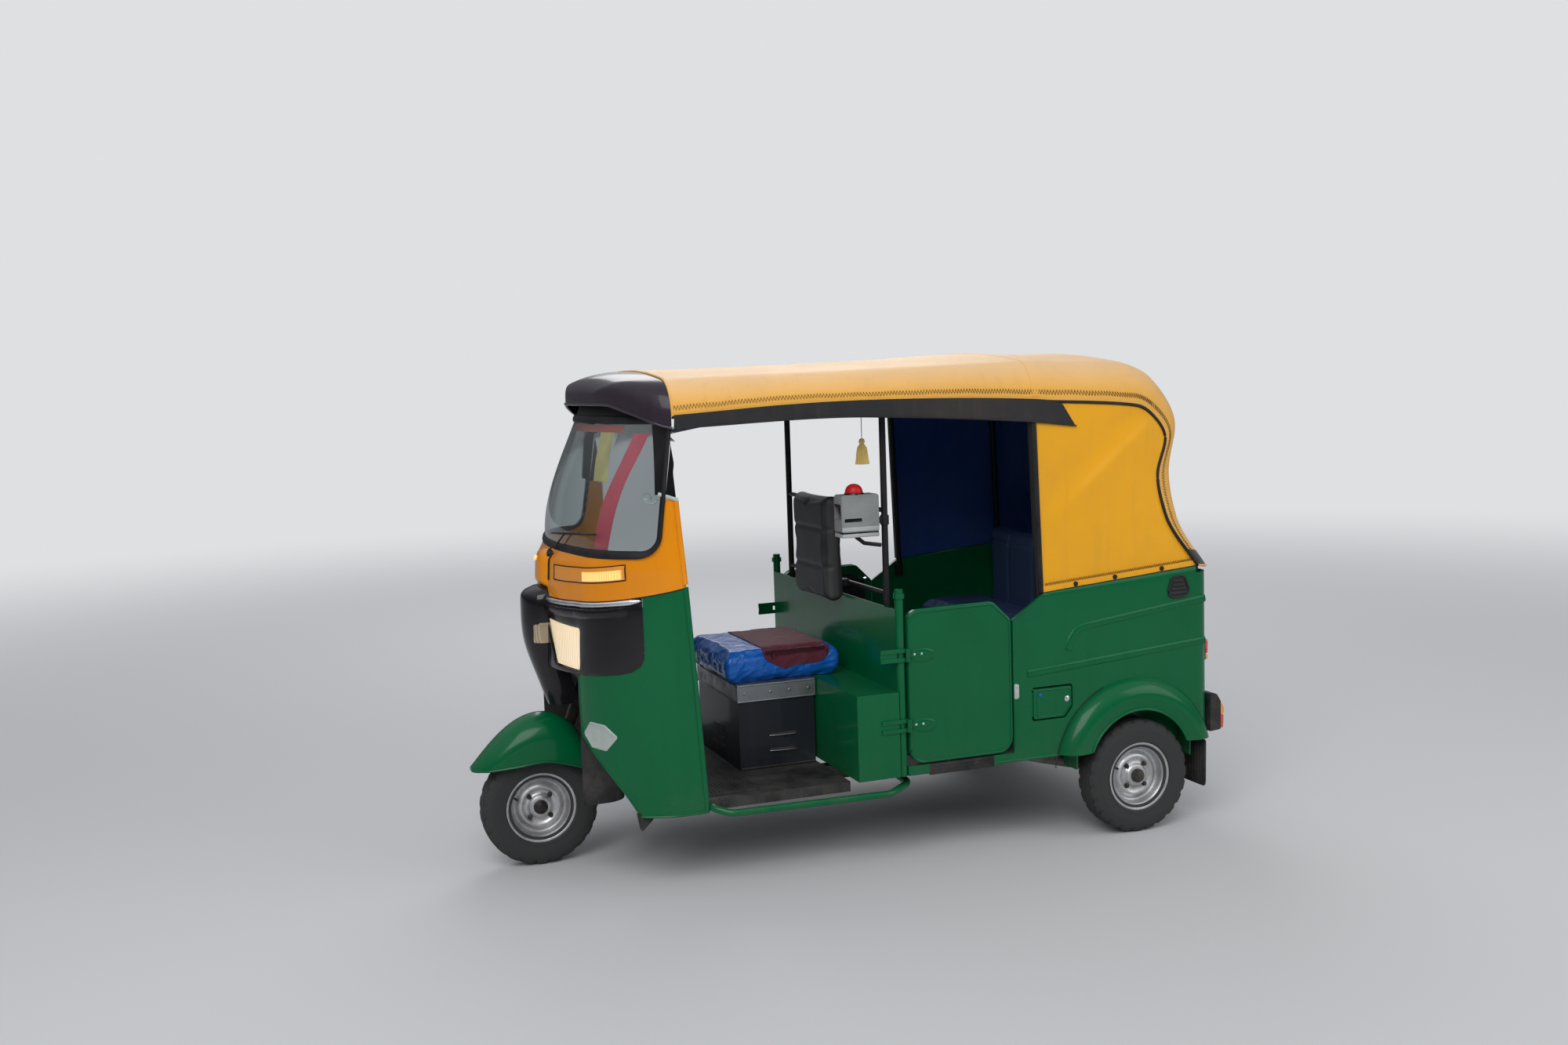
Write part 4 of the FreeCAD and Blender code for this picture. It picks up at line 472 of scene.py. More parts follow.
@dataclass(frozen=True)
class Lens(Finish):
    """A moulded lamp lens with fine flutes, lit from behind where it has a glow."""

    glow: float = 0.0
    glow_colour: Rgb = (1.0, 0.8, 0.5)
    flutes: float = 60.0
    direction: str = "Y"
    clear: float = 0.35

    def dress(self, bench: NodeBench, shader: bpy.types.Node) -> None:
        """Flutes as a bump and in the tone, with an even glow."""
        place = bench.add("NewGeometry").outputs["Position"]
        flute = bench.add("TexWave", {"bands_direction": self.direction}, Vector=place, Scale=self.flutes)
        deep = tuple(c * 0.55 for c in self.colour)
        colour = bench.blend(flute.outputs["Fac"], rgba(deep), rgba(self.colour))
        self.set(bench, shader, Base_Color=colour, Roughness=self.roughness, Transmission_Weight=self.clear,
                 Coat_Weight=0.8, Normal=self.bump(bench, flute.outputs["Fac"], 0.002, 0.5))
        if self.glow:
            light = bench.blend(flute.outputs["Fac"], rgba(tuple(c * 0.8 for c in self.glow_colour)),
                                rgba(self.glow_colour))
            self.set(bench, shader, Emission_Color=light, Emission_Strength=self.glow)


@dataclass(frozen=True)
class TreadRubber(Finish):
    """Tyre rubber with patches of dust by noise, alike on tread and sidewall."""

    dust: Rgb = (0.006, 0.006, 0.007)

    def dress(self, bench: NodeBench, shader: bpy.types.Node) -> None:
        """Dust by noise and a fine moulded grain."""
        place = bench.add("NewGeometry").outputs["Position"]
        cloud = bench.add("TexNoise", Vector=place, Scale=18.0, Detail=6.0, Roughness=0.7)
        mask = bench.math("MULTIPLY", bench.ramp(cloud.outputs[0], 0.38, 0.72), 0.5)
        grain = PebbledGrain().use(bench, Scale=600.0)
        rough = bench.math("ADD", bench.math("MULTIPLY", mask, 0.2), self.roughness)
        self.set(bench, shader, Base_Color=bench.blend(mask, rgba(self.colour), rgba(self.dust)),
                 Roughness=rough, Specular_IOR_Level=0.03, Normal=self.bump(bench, grain.outputs[0], 0.0004))


class Finishes:
    """All finishes of the vehicle by name."""

    GREEN = Enamel("green_enamel", "green_paint", (0.0002, 0.116, 0.038), 0.24, shade=(0.0002, 0.094, 0.030),
                   grime=0.09, grime_top=0.45, coat=0.18)
    AMBER_YELLOW = Enamel("cowl_enamel", "yellow_paint", (0.80, 0.270, 0.004), 0.24,
                          shade=(0.70, 0.215, 0.003), grime=0.15, coat=0.4)
    GLOSS_BLACK = Enamel("black_gloss", "gloss_black", (0.007, 0.006, 0.008), 0.20,
                         shade=(0.012, 0.010, 0.013), dirt=(0.09, 0.08, 0.08), grime=0.2, grime_top=0.9,
                         coat=0.5)
    VISOR = Enamel("visor_gloss", "gloss_black", (0.024, 0.017, 0.026), 0.34, shade=(0.040, 0.028, 0.040),
                   grime=0.0, coat=0.25)
    MATT_BLACK = Moulded("black_moulding", "black_plastic", (0.014, 0.014, 0.015), 0.55, dusting=0.25)
    RUBBER = Moulded("black_rubber", "rubber", (0.010, 0.010, 0.011), 0.62, dust=(0.11, 0.10, 0.09),
                     grain=700.0)
    GREY_PLASTIC = Moulded("grey_case", "grey_plastic", (0.19, 0.20, 0.20), 0.38, dusting=0.2, depth=0.0002)
    RED_PLASTIC = Moulded("red_dome", "grey_plastic", (0.45, 0.012, 0.012), 0.30, dusting=0.1, depth=0.0001)
    DARK_STEEL = Enamel("chassis_enamel", "dark_steel", (0.015, 0.015, 0.017), 0.42,
                        shade=(0.03, 0.022, 0.016), dirt=(0.10, 0.085, 0.07), grime=0.8, grime_top=0.9,
                        coat=0.1)
    BOX_STEEL = Enamel("seat_box_enamel", "dark_steel", (0.013, 0.016, 0.021), 0.40,
                       shade=(0.020, 0.024, 0.030), dirt=(0.045, 0.045, 0.045), grime=0.35, grime_top=0.45,
                       coat=0.15)
    CAST = Metal("cast_alloy", "cast_metal", (0.34, 0.34, 0.33), 0.52, metallic=0.8, grime=0.9)
    SILVER = Metal("wheel_silver", "silver_steel", (0.62, 0.62, 0.63), 0.30, metallic=0.85, grime=0.45)
    TRIM = Metal("bright_trim", "silver_trim", (0.74, 0.75, 0.78), 0.22, grime=0.1)
    STEEL = Metal("plain_steel", "brushed_metal", (0.30, 0.31, 0.33), 0.38, grime=0.35)
    CHROME = Metal("chrome", "silver_trim", (0.80, 0.81, 0.83), 0.10, brushing=0.1, grime=0.15)
    TYRE = TreadRubber("tyre_rubber", "tyre_rubber", (0.002, 0.002, 0.003), 0.72)
    DUSTY_STEEL = Metal("dusty_steel", "dark_steel", (0.17, 0.16, 0.15), 0.6, metallic=0.4, grime=0.8)
    GLASS = ClearGlass("windscreen_glass", "clear_glass", (0.86, 0.93, 0.91), 0.02, haze=0.05)
    SOFT_GLASS = ClearGlass("clear_sheet", "clear_sheet", (0.84, 0.86, 0.80), 0.10, waviness=0.01, haze=0.3)
    HEADLAMP = Lens("headlamp_lit", "lamp_glass", (1.0, 0.93, 0.78), 0.15, glow=0.42,
                    glow_colour=(1.0, 0.76, 0.46), flutes=38.0)
    HEADLAMP_EDGE = Lens("headlamp_side", "lamp_glass", (0.42, 0.32, 0.22), 0.15, glow=0.12, flutes=38.0)
    AMBER = Lens("amber_lens", "amber_lens", (0.42, 0.035, 0.003), 0.18, flutes=30.0, glow=0.06,
                 glow_colour=(1.0, 0.20, 0.02))
    AMBER_LIT = Lens("amber_lit", "amber_lens", (1.0, 0.45, 0.12), 0.18, flutes=44.0, glow=0.95,
                     glow_colour=(1.0, 0.62, 0.20))
    RED = Lens("red_lens", "red_lens", (0.55, 0.01, 0.008), 0.18, flutes=50.0, direction="Z", glow=0.15,
               glow_colour=(1.0, 0.03, 0.01))
    HOOD = Canvas("hood_canvas", "yellow_fabric", (0.88, 0.405, 0.004), 0.40, fade_highlight_colour=(0.92, 0.53, 0.16),
                  sheen=0.04)
    # A paler copy of the hood cloth for the band over the roof and back: partly faded cloth, partly a painted
    # highlight from the light above.
    HOOD_FADED_AND_LIT = Canvas("hood_canvas_faded_and_lit", "yellow_fabric", (0.86, 0.44, 0.07), 0.46, fade_highlight_colour=(0.92, 0.60, 0.30),
                      sheen=0.10)
    BLACK_CANVAS = Canvas("black_canvas", "black_fabric", (0.014, 0.014, 0.017), 0.6,
                          fade_highlight_colour=(0.03, 0.03, 0.034))
    LINING = Canvas("blue_lining", "yellow_fabric", (0.004, 0.055, 0.25), 0.55, fade_highlight_colour=(0.006, 0.060, 0.27))
    PIPING = Vinyl("black_piping", "black_fabric", (0.012, 0.012, 0.013), 0.45, worn=(0.03, 0.03, 0.03))
    NAVY = Vinyl("navy_vinyl", "navy_vinyl", (0.006, 0.018, 0.075), 0.40, worn=(0.010, 0.030, 0.100))
    BLUE_SHEET = Vinyl("blue_sheeting", "blue_vinyl", (0.004, 0.095, 0.42), 0.26, worn=(0.01, 0.14, 0.52),
                       grain=140.0, wrinkle=0.010, coat=0.3)
    MAROON = Canvas("maroon_cloth", "blue_vinyl", (0.090, 0.010, 0.026), 0.8, fade_highlight_colour=(0.11, 0.016, 0.034),
                    sheen=0.12)
    BLACK_VINYL = Vinyl("black_vinyl", "black_vinyl", (0.012, 0.012, 0.013), 0.45, worn=(0.03, 0.03, 0.032))
    RIBBON = Canvas("pink_ribbon", "black_fabric", (0.72, 0.10, 0.15), 0.5, fade_highlight_colour=(0.80, 0.16, 0.20))
    RED_BAND = Canvas("red_band", "black_fabric", (0.62, 0.06, 0.02), 0.5, fade_highlight_colour=(0.66, 0.08, 0.03))
    PALE_BADGE = Metal("pale_badge", "silver_trim", (0.50, 0.56, 0.52), 0.40, metallic=0.3, grime=0.3)
    PALE_STRIP = Moulded("pale_strip", "grey_plastic", (0.60, 0.50, 0.20), 0.5, dusting=0.1)
    PALE_METER = Moulded("meter_band", "grey_plastic", (0.33, 0.34, 0.34), 0.5, dusting=0.1, depth=0.0001)
    TASSEL = Canvas("tassel_cord", "yellow_fabric", (0.70, 0.52, 0.16), 0.7, fade_highlight_colour=(0.80, 0.66, 0.30),
                    sheen=0.3)
    THREAD = Canvas("hood_thread", "yellow_fabric", (0.085, 0.045, 0.014), 0.8, fade_highlight_colour=(0.12, 0.06, 0.02))

    BY_SLOT = {
        "green_paint": GREEN, "yellow_paint": AMBER_YELLOW, "gloss_black": GLOSS_BLACK,
        "black_plastic": MATT_BLACK, "lamp_glass": HEADLAMP, "amber_lens": AMBER, "red_lens": RED,
        "clear_glass": GLASS, "clear_sheet": SOFT_GLASS, "silver_trim": TRIM, "silver_steel": SILVER,
        "brushed_metal": STEEL, "dark_steel": DARK_STEEL, "cast_metal": CAST, "rubber": RUBBER,
        "tyre_rubber": TYRE, "yellow_fabric": HOOD, "black_fabric": BLACK_CANVAS, "navy_vinyl": NAVY,
        "blue_vinyl": BLUE_SHEET, "black_vinyl": BLACK_VINYL, "grey_plastic": GREY_PLASTIC,
    }


# Making meshes


def shares(count: int) -> list[float]:
    """Even shares from 0 to 1."""
    return [i / (count - 1) for i in range(count)]


def turns(count: int) -> list[float]:
    """Evenly spaced angles of a whole turn."""
    return [2 * math.pi * k / count for k in range(count)]


def flipped(point: Vector, flip: int = -1) -> Vector:
    """Return a point, or with -1 its mirror image on the vehicle's other side."""
    return Vector((point.x, point.y * flip, point.z))


def in_plane(pair: Point, axis: int, depth: float) -> Vector:
    """Return the point at a depth along an axis whose two other coordinates are a pair."""
    values = list(pair)
    values.insert(axis, depth)
    return Vector(values)


def axes_of(axis: Vector) -> tuple[Vector, Vector, Vector]:
    """Return an axis and two directions square to it, all of unit length."""
    main = Vector(axis).normalized()
    side = main.orthogonal().normalized()
    return main, side, main.cross(side)


def halve(low: float, high: float, steps: int, before: Callable[[float], bool]) -> float:
    """Return where a test that holds from low on stops, by halving the range."""
    for _ in range(steps):
        middle = (low + high) / 2
        if before(middle):
            low = middle
        else:
            high = middle
    return (low + high) / 2


def stops(lengths: Sequence[float], count: int) -> Iterator[tuple[int, float]]:
    """Yield the span and the share along it of evenly spaced stops on a path."""
    ends, i = [0.0], 0
    for length in lengths:
        ends.append(ends[-1] + length)
    for k in range(count):
        wanted = ends[-1] * k / (count - 1)
        while i < len(lengths) - 1 and ends[i + 1] < wanted:
            i += 1
        span = ends[i + 1] - ends[i]
        yield i, min(1.0, (wanted - ends[i]) / span) if span else 0.0


def along(path: Sequence[Point], count: int) -> list[Point]:
    """Resample a flat path at even distances, both ends kept."""
    lengths = [math.dist(a, b) for a, b in zip(path, path[1:])]
    return [tuple(p + (q - p) * t for p, q in zip(path[i], path[i + 1]))
            for i, t in stops(lengths, count)]


def even(path: Row, count: int) -> Row:
    """Resample a path at even distances, both ends kept."""
    lengths = [(b - a).length for a, b in zip(path, path[1:])]
    return [path[i].lerp(path[i + 1], t) for i, t in stops(lengths, count)]


def catmull(points: Sequence[Vector], step: float, closed: bool = False) -> Row:
    """Resample a path as a smooth curve through its points.

    Args:
        points: the points that the curve goes through.
        step: the wanted distance between samples, in the points' unit.
        closed: whether the last point joins the first.

    Returns:
        The samples along the curve.
    """
    pts = [Vector(p) for p in points]
    count = len(pts)
    if count < 3 and not closed:
        spans = max(1, int((pts[-1] - pts[0]).length / step))
        return [pts[0].lerp(pts[-1], i / spans) for i in range(spans + 1)]
    result: Row = []
    for i in range(count if closed else count - 1):
        p1, p2 = pts[i], pts[(i + 1) % count]
        p0 = pts[i - 1] if closed or i else p1 * 2 - p2
        p3 = pts[(i + 2) % count] if closed or i + 2 < count else p2 * 2 - p1
        spans = max(1, int(round((p2 - p1).length / step)))
        for j in range(spans):
            t = j / spans
            result.append(0.5 * (2 * p1 + (p2 - p0) * t + (2 * p0 - 5 * p1 + 4 * p2 - p3) * t * t
                                 + (3 * p1 - p0 - 3 * p2 + p3) * t ** 3))
    if not closed:
        result.append(pts[-1])
    return result


def rounded_outline(points: Sequence[Point], radii: float | Sequence[float], steps: int = 6) -> list[Point]:
    """Round the corners of a closed flat outline.

    Args:
        points: the corners.
        radii: one radius for all corners, or one each.
        steps: points per round corner.

    Returns:
        The outline with arcs at its corners.
    """
    count = len(points)
    each = [radii] * count if isinstance(radii, (int, float)) else list(radii)
    result: list[Point] = []
    for i, corner in enumerate(points):
        here = Vector(corner)
        before, after = Vector(points[i - 1]) - here, Vector(points[(i + 1) % count]) - here
        if each[i] <= 0:
            result.append(tuple(here))
            continue
        half = before.angle(after) / 2
        reach = min(each[i] / math.tan(half), 0.49 * before.length, 0.49 * after.length)
        start, end = here + before.normalized() * reach, here + after.normalized() * reach
        centre = here + (before.normalized() + after.normalized()).normalized() * (reach / math.cos(half))
        first, last = start - centre, end - centre
        for j in range(steps + 1):
            spoke = first.lerp(last, j / steps).normalized() * first.length
            result.append(tuple(centre + spoke))
    return result


class Form:
    """Vertices and faces of a piece, gathered from simple shapes; sizes are in millimetres."""

    def __init__(self) -> None:
        """Start empty."""
        self.verts: list[Vector] = []
        self.faces: list[tuple[int, ...]] = []

    def add(self, verts: Iterable[Vector], faces: Iterable[Sequence[int]]) -> "Form":
        """Add vertices and the faces between them."""
        base = len(self.verts)
        self.verts += [Vector(v) for v in verts]
        self.faces += [tuple(base + i for i in face) for face in faces]
        return self

    def grid(self, rows: Sequence[Row], closed: bool = False, wrap: bool = False) -> "Form":
        """Add a sheet of quads.

        Args:
            rows: equally long rows of points.
            closed: whether each row closes on itself.
            wrap: whether the last row joins the first.

        Returns:
            This form.
        """
        wide, count = len(rows[0]), len(rows)
        faces = []
        for i in range(count if wrap else count - 1):
            k = (i + 1) % count
            for j in range(wide if closed else wide - 1):
                n = (j + 1) % wide
                faces.append((i * wide + j, i * wide + n, k * wide + n, k * wide + j))
        return self.add([v for row in rows for v in row], faces)

    def capped(self, rows: Sequence[Row]) -> "Form":
        """Add a closed skin through ring-shaped rows, with flat ends."""
        base = len(self.verts)
        self.grid(rows, closed=True)
        wide = len(rows[0])
        self.faces.append(tuple(range(base + wide - 1, base - 1, -1)))
        self.faces.append(tuple(range(len(self.verts) - wide, len(self.verts))))
        return self

    def tube(self, path: Sequence[Vector], radius: float, sides: int = 10, closed: bool = False,
             flat: float = 1.0, up: Vector = UP) -> "Form":
        """Add a round or flattened tube along a path.

        Args:
            path: the centre line.
            radius: half the width.
            sides: points round the section.
            closed: whether the path closes on itself.
            flat: the section's second half width as a share of the first.
            up: the direction that the second half width leans to.

        Returns:
            This form.
        """
        pts = [Vector(p) for p in path]
        rows, count = [], len(pts)
        for i, here in enumerate(pts):
            ahead = pts[(i + 1) % count] if closed or i + 1 < count else here
            behind = pts[i - 1] if closed or i else here
            run = (ahead - behind).normalized()
            side = run.cross(up)
            if side.length < 0.05:
                side = run.cross(Vector((0.6, 0.8, 0.1)))
            side.normalize()
            top = side.cross(run)
            rows.append([here + side * (radius * math.cos(a)) + top * (radius * flat * math.sin(a))
                         for a in turns(sides)])
        return self.grid(rows, closed=True, wrap=True) if closed else self.capped(rows)

    def lathe(self, profile: Sequence[Point], centre: Vector, axis: Vector, segments: int = 48,
              closed: bool = True) -> "Form":
        """Turn a profile of (radius, along) points about an axis."""
        main, side, other = axes_of(axis)
        rows = []
        for a in turns(segments):
            spoke = side * math.cos(a) + other * math.sin(a)
            rows.append([Vector(centre) + spoke * r + main * h for r, h in profile])
        return self.grid(rows, closed=closed, wrap=True)

    def knob(self, centre: Vector, axis: Vector, radius: float, height: float, sides: int = 12,
             dome: float = 0.3) -> "Form":
        """Add a small round head, such as a rivet, stud or nut, domed at its top."""
        steps = [(radius, 0.0), (radius, height * (1 - dome)), (radius * 0.8, height * 0.93),
                 (radius * 0.3, height)]
        main, side, other = axes_of(axis)
        rows = [[Vector(centre) + (side * math.cos(a) + other * math.sin(a)) * r + main * h
                 for a in turns(sides)] for r, h in steps]
        return self.capped(rows)

    def box(self, x: Point, y: Point, z: Point) -> "Form":
        """Add a box between two limits on each axis."""
        corners = [Vector((x[i & 1], y[(i >> 1) & 1], z[i >> 2])) for i in range(8)]
        return self.add(corners, ((0, 2, 3, 1), (4, 5, 7, 6), (0, 1, 5, 4), (2, 6, 7, 3), (0, 4, 6, 2),
                                  (1, 3, 7, 5)))

    def prism(self, outline: Sequence[Point], axis: int, low: float, high: float) -> "Form":
        """Add a plate: a flat outline in the two other axes, extruded along one axis."""
        return self.capped([[in_plane(pair, axis, depth) for pair in outline] for depth in (low, high)])

    def mirrored(self) -> "Form":
        """Add the mirror image of all so far on the vehicle's other side."""
        return self.add([flipped(v) for v in self.verts], [face[::-1] for face in self.faces])

    def turned(self, matrix: Matrix) -> "Form":
        """Move all points by a matrix in millimetres."""
        self.verts = [matrix @ v for v in self.verts]
        return self

    def make(self, name: str, finish: Finish, body: Body = Body.MAIN, replaces: Sequence[str] = (),
             thick: float = 0.0, bevel: float = 0.0, smooth: int = 0, away: Optional[Point] = None,
             sharp: float = 38.0, segments: int = 2) -> bpy.types.Object:
        """Turn the form into an object with its finish, on its body.

        Args:
            name: the piece's name.
            finish: its finish.
            body: the body it rides on.
            replaces: CAD nodes that it stands for.
            thick: the wall in millimetres, for a form that is an open sheet.
            bevel: the width of rounded edges in millimetres.
            smooth: levels of subdivision.
            away: a point (x, z) that an open sheet faces away from.
            sharp: edges over this angle in degrees stay sharp.
            segments: segments of the rounded edges.

        Returns:
            The object.
        """
        mesh = bpy.data.meshes.new(name)
        mesh.from_pydata([v * MM for v in self.verts], [], self.faces)
        work = bmesh.new()
        work.from_mesh(mesh)
        bmesh.ops.remove_doubles(work, verts=work.verts, dist=WELD)
        if away is None:
            bmesh.ops.recalc_face_normals(work, faces=work.faces)
        else:
            heart = Vector((away[0] * MM, 0.0, away[1] * MM))
            lean = sum(face.normal.dot(face.calc_center_median() - heart) * face.calc_area()
                       for face in work.faces)
            if lean < 0:
                bmesh.ops.reverse_faces(work, faces=work.faces)
        work.to_mesh(mesh)
        work.free()
        piece = bpy.data.objects.new(name, mesh)
        bpy.context.scene.collection.objects.link(piece)
        if thick:
            wall = piece.modifiers.new("wall", "SOLIDIFY")
            wall.thickness, wall.offset, wall.use_even_offset = thick * MM, -1.0, True
        if bevel:
            edge = piece.modifiers.new("edge", "BEVEL")
            edge.width, edge.segments, edge.limit_method = bevel * MM, segments, "ANGLE"
            edge.angle_limit = BEVEL_OVER
        if smooth:
            fine = piece.modifiers.new("fine", "SUBSURF")
            fine.levels = fine.render_levels = smooth
        settle(piece)
        return finish_piece(piece, finish, body, replaces, sharp)


def settle(piece: bpy.types.Object) -> None:
    """Apply all modifiers of a piece to its mesh."""
    if not piece.modifiers:
        return
    bpy.context.view_layer.update()
    graph = bpy.context.evaluated_depsgraph_get()
    baked = bpy.data.meshes.new_from_object(piece.evaluated_get(graph))
    old = piece.data
    piece.modifiers.clear()
    piece.data = baked
    bpy.data.meshes.remove(old)


def finish_piece(piece: bpy.types.Object, finish: Finish, body: Body, replaces: Sequence[str] = (),
                 sharp: float = 38.0) -> bpy.types.Object:
    """Shade, dress and attach a piece.

    Args:
        piece: the object, in place.
        finish: its finish.
        body: the body it rides on.
        replaces: CAD nodes that it stands for.
        sharp: edges over this angle in degrees stay sharp.

    Returns:
        The piece.
    """
    mesh = piece.data
    mesh.materials.clear()
    mesh.materials.append(finish.material())
    mesh.shade_smooth()
    mesh.set_sharp_from_angle(angle=math.radians(sharp))
    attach(piece, body.value)
    if replaces:
        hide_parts(*replaces)
    LOG.info("%s: %d faces on %s", piece.name, len(mesh.polygons), body.value)
    return piece


def wobble(point: Vector, scale: float, seed: float = 0.0) -> float:
    """Return smooth noise from about -1 to 1 at a point in millimetres."""
    return noise.noise(Vector((point.x / scale + seed, point.y / scale - seed, point.z / scale + 2 * seed)))


# Studio


@dataclass
class Studio:
    """The floor, the pale backdrop, the soft light and the camera."""

    camera_at: tuple[float, float, float] = (2.0282, 5.1366, 1.6451)
    azimuth: float = 159.8994
    elevation: float = 5.5338
    roll: float = -1.9212
    lens: float = 35.134
    floor_tone: float = 0.62
    floor_reach: float = 40.0
    backdrop: tuple[float, float, float, float] = (0.80, 0.81, 0.83, 1.0)
    backdrop_light: float = 0.92

    def build(self) -> None:
        """Build all of the studio."""
        self.world()
        self.floor()
        self.lights()
        self.camera()

    def camera(self) -> None:
        """Place the camera as it stood for the photograph."""
        a, e, r = (math.radians(v) for v in (self.azimuth, self.elevation, self.roll))
        back = Vector((math.sin(a) * math.cos(e), -math.cos(a) * math.cos(e), math.sin(e)))
        right = (-back).cross(UP).normalized()
        up = right.cross(-back)
        across = right * math.cos(r) + up * math.sin(r)
        above = up * math.cos(r) - right * math.sin(r)
        data = bpy.data.cameras.new("camera")
        data.lens, data.sensor_width, data.clip_end = self.lens, 36.0, 200.0
        camera = bpy.data.objects.new("camera", data)
        turn = Matrix((across, above, back)).transposed().to_4x4()
        camera.matrix_world = Matrix.Translation(self.camera_at) @ turn
        bpy.context.scene.collection.objects.link(camera)
        bpy.context.scene.camera = camera

    def world(self) -> None:
        """Light the scene evenly, and show a pale backdrop to the camera and to gloss."""
        world = bpy.data.worlds.new("studio_world")
        world.use_nodes = True
        tree = world.node_tree
        tree.nodes.clear()
        bench = NodeBench(tree)
        ray = bench.add("LightPath")
        seen = bench.math("MAXIMUM", ray.outputs["Is Camera Ray"], ray.outputs["Is Transmission Ray"])
        light = bench.add("Background", Color=(0.86, 0.90, 0.97, 1.0), Strength=0.42)
        shown = bench.add("Background", Color=self.backdrop, Strength=self.backdrop_light)
        mix = bench.add("MixShader", i0=seen, i1=light.outputs[0], i2=shown.outputs[0])
        height = bench.add("SeparateXYZ", Vector=bench.add("TexCoord").outputs["Generated"]).outputs[2]
        sky = bench.math("ADD", bench.math("MULTIPLY", bench.ramp(height, 0.05, 0.85), 0.80), 0.10)
        gloss = bench.add("Background", Color=(0.90, 0.93, 1.0, 1.0), Strength=sky)
        both = bench.add("MixShader", i0=ray.outputs["Is Glossy Ray"], i1=mix.outputs[0], i2=gloss.outputs[0])
        output = tree.nodes.new("ShaderNodeOutputWorld")
        tree.links.new(both.outputs[0], output.inputs[0])
        bpy.context.scene.world = world

    def floor(self) -> None:
        """Lay a plain pale floor."""
        mesh = bpy.data.meshes.new("floor")
        corners = ((-1, -1), (1, -1), (1, 1), (-1, 1))
        mesh.from_pydata([(x * self.floor_reach, y * self.floor_reach, 0) for x, y in corners], [],
                         [(0, 1, 2, 3)])
        floor = bpy.data.objects.new("floor", mesh)
        bpy.context.scene.collection.objects.link(floor)
        material = bpy.data.materials.new("floor_paint")
        material.use_nodes = True
        shader = material.node_tree.nodes["Principled BSDF"]
        shader.inputs["Base Color"].default_value = (self.floor_tone, self.floor_tone, self.floor_tone * 1.01,
                                                     1.0)
        shader.inputs["Roughness"].default_value = 0.9
        bench = NodeBench(material.node_tree)
        away = bench.add("VectorMath", {"operation": "LENGTH"},
                         Vector=bench.add("NewGeometry").outputs["Position"])
        seen = bench.add("LightPath").outputs["Is Camera Ray"]
        far = bench.math("MULTIPLY", bench.ramp(away.outputs["Value"], 2.6, 13.0), seen)
        pale = bench.add("Emission", Color=self.backdrop, Strength=self.backdrop_light)
        mix = bench.add("MixShader", i0=far, i1=shader.outputs[0], i2=pale.outputs[0])
        material.node_tree.links.new(mix.outputs[0], material.node_tree.nodes["Material Output"].inputs[0])
        mesh.materials.append(material)

    def lights(self) -> None:
        """Hang three large soft lamps."""
        for name, place, aim, size, power in (
                ("key", (3.0, 5.0, 5.2), (0.0, 0.2, 0.7), 4.5, 260.0),
                ("fill", (-4.8, 4.4, 3.4), (-0.3, 0.0, 0.8), 4.0, 90.0),
                ("rim", (-1.5, -5.0, 4.6), (0.0, 0.0, 0.9), 4.0, 130.0)):
            data = bpy.data.lights.new(name, "AREA")
            data.size, data.energy = size, power
            lamp = bpy.data.objects.new(name, data)
            spot = Vector(place)
            lamp.location = spot
            lamp.rotation_euler = (Vector(aim) - spot).to_track_quat("-Z", "Y").to_euler()
            bpy.context.scene.collection.objects.link(lamp)


# Front body


def arc_points(first: Point, middle: Point, last: Point, parts: Sequence[float]) -> list[Point]:
    """Points on the circle arc through three points, at shares from 0 to 1 of its angle."""
    (ax, ay), (bx, by), (cx, cy) = first, middle, last
    d = 2 * (ax * (by - cy) + bx * (cy - ay) + cx * (ay - by))
    a2, b2, c2 = ax * ax + ay * ay, bx * bx + by * by, cx * cx + cy * cy
    ox = (a2 * (by - cy) + b2 * (cy - ay) + c2 * (ay - by)) / d
    oy = (a2 * (cx - bx) + b2 * (ax - cx) + c2 * (bx - ax)) / d
    radius = math.hypot(ax - ox, ay - oy)
    start, mid, end = (math.atan2(y - oy, x - ox) for x, y in (first, middle, last))
    sweep, part = (end - start) % (2 * math.pi), (mid - start) % (2 * math.pi)
    if part > sweep:
        sweep -= 2 * math.pi
    return [(ox + radius * math.cos(start + sweep * s), oy + radius * math.sin(start + sweep * s))
            for s in parts]


